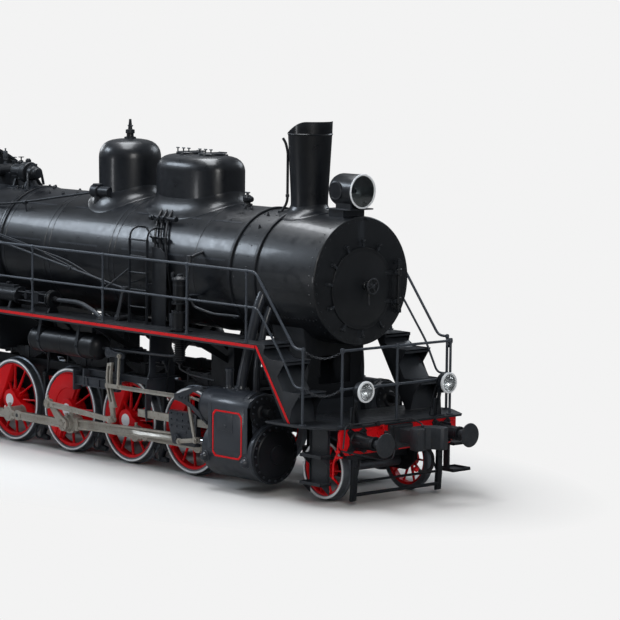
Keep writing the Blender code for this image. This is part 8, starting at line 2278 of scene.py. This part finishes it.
def makeStudio():
    world = bpy.data.worlds.new("paleSky")
    bpy.context.scene.world = world
    world.use_nodes = True
    tree = world.node_tree
    tree.nodes.clear()
    output = tree.nodes.new("ShaderNodeOutputWorld")
    seen, sky = tree.nodes.new("ShaderNodeBackground"), tree.nodes.new("ShaderNodeBackground")
    both = tree.nodes.new("ShaderNodeMixShader")
    seen.inputs["Color"].default_value = (*[studio["backdrop"]] * 3, 1.0)
    place = tree.nodes.new("ShaderNodeTexCoord")
    height = tree.nodes.new("ShaderNodeSeparateXYZ")
    tree.links.new(place.outputs["Generated"], height.inputs["Vector"])
    shade = mixColour(tree, rampNode(tree, height.outputs["Z"], -0.05, 0.75), studio["skyLow"],
                      studio["skyHigh"])
    tree.links.new(shade, sky.inputs["Color"])
    sky.inputs["Strength"].default_value = studio["sky"]
    rays = tree.nodes.new("ShaderNodeLightPath")
    shine = timesNode(tree, rays.outputs["Is Glossy Ray"], studio["glossy"])
    eye = plusNode(tree, rays.outputs["Is Camera Ray"], rays.outputs["Is Transmission Ray"])
    tree.links.new(plusNode(tree, eye, shine), both.inputs[0])
    tree.links.new(sky.outputs[0], both.inputs[1])
    tree.links.new(seen.outputs[0], both.inputs[2])
    tree.links.new(both.outputs[0], output.inputs["Surface"])

    floorMesh = bpy.data.meshes.new("floor")
    reach = 150.0
    floorMesh.from_pydata([(-reach, -reach, 0), (reach, -reach, 0), (reach, reach, 0), (-reach, reach, 0)],
                          [], [(0, 1, 2, 3)])
    floor = bpy.data.objects.new("floor", floorMesh)
    bpy.context.scene.collection.objects.link(floor)
    pale = bpy.data.materials.new("paleFloor")
    pale.use_nodes = True
    tree = pale.node_tree
    tree.nodes.clear()
    output = tree.nodes.new("ShaderNodeOutputMaterial")
    lit, glow = tree.nodes.new("ShaderNodeBsdfDiffuse"), tree.nodes.new("ShaderNodeEmission")
    both = tree.nodes.new("ShaderNodeMixShader")
    lit.inputs["Color"].default_value = (studio["floorTone"], studio["floorTone"] * 0.975,
                                         studio["floorTone"] * 0.94, 1.0)
    glow.inputs["Color"].default_value = (*[studio["backdrop"]] * 3, 1.0)
    rays = tree.nodes.new("ShaderNodeLightPath")
    place = tree.nodes.new("ShaderNodeTexCoord")
    squash = tree.nodes.new("ShaderNodeMapping")
    squash.inputs["Scale"].default_value = (1.0, 1.9, 1.0)
    away = tree.nodes.new("ShaderNodeVectorMath")
    away.operation = "LENGTH"
    tree.links.new(place.outputs["Object"], squash.inputs["Vector"])
    tree.links.new(squash.outputs["Vector"], away.inputs[0])
    far = rampNode(tree, away.outputs["Value"], studio["floorNear"], studio["floorFar"])
    tree.links.new(timesNode(tree, rays.outputs["Is Camera Ray"], far), both.inputs[0])
    # glossy rays see most of the floor as dark grey: painted shade in the floor's reflection on the lower
    # sides of the engine
    dim, near = tree.nodes.new("ShaderNodeBsdfDiffuse"), tree.nodes.new("ShaderNodeMixShader")
    dim.inputs["Color"].default_value = (0.1, 0.1, 0.1, 1.0)
    tree.links.new(timesNode(tree, rays.outputs["Is Glossy Ray"], studio["floorShadeInReflections"]), near.inputs[0])
    tree.links.new(lit.outputs[0], near.inputs[1])
    tree.links.new(dim.outputs[0], near.inputs[2])
    tree.links.new(near.outputs[0], both.inputs[1])
    tree.links.new(glow.outputs[0], both.inputs[2])
    tree.links.new(both.outputs[0], output.inputs["Surface"])
    floorMesh.materials.append(pale)

    for name, place, aim, width, height, power, colour in studio["lamps"]:
        lamp = bpy.data.lights.new(name, "AREA")
        lamp.shape = "RECTANGLE"
        lamp.size = width
        lamp.size_y = height
        lamp.energy = power
        lamp.color = colour
        holder = bpy.data.objects.new(name, lamp)
        holder.location = place
        holder.rotation_euler = (Vector(aim) - Vector(place)).to_track_quat("-Z", "Y").to_euler()
        bpy.context.scene.collection.objects.link(holder)


makeStudio()
bpy.context.scene.view_settings.view_transform = "Standard"

# The CAD pieces that stay in view are the cab's plates and doors.
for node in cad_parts.values():
    node.data.materials.clear()
    node.data.materials.append(finishes["boilerBlack"])
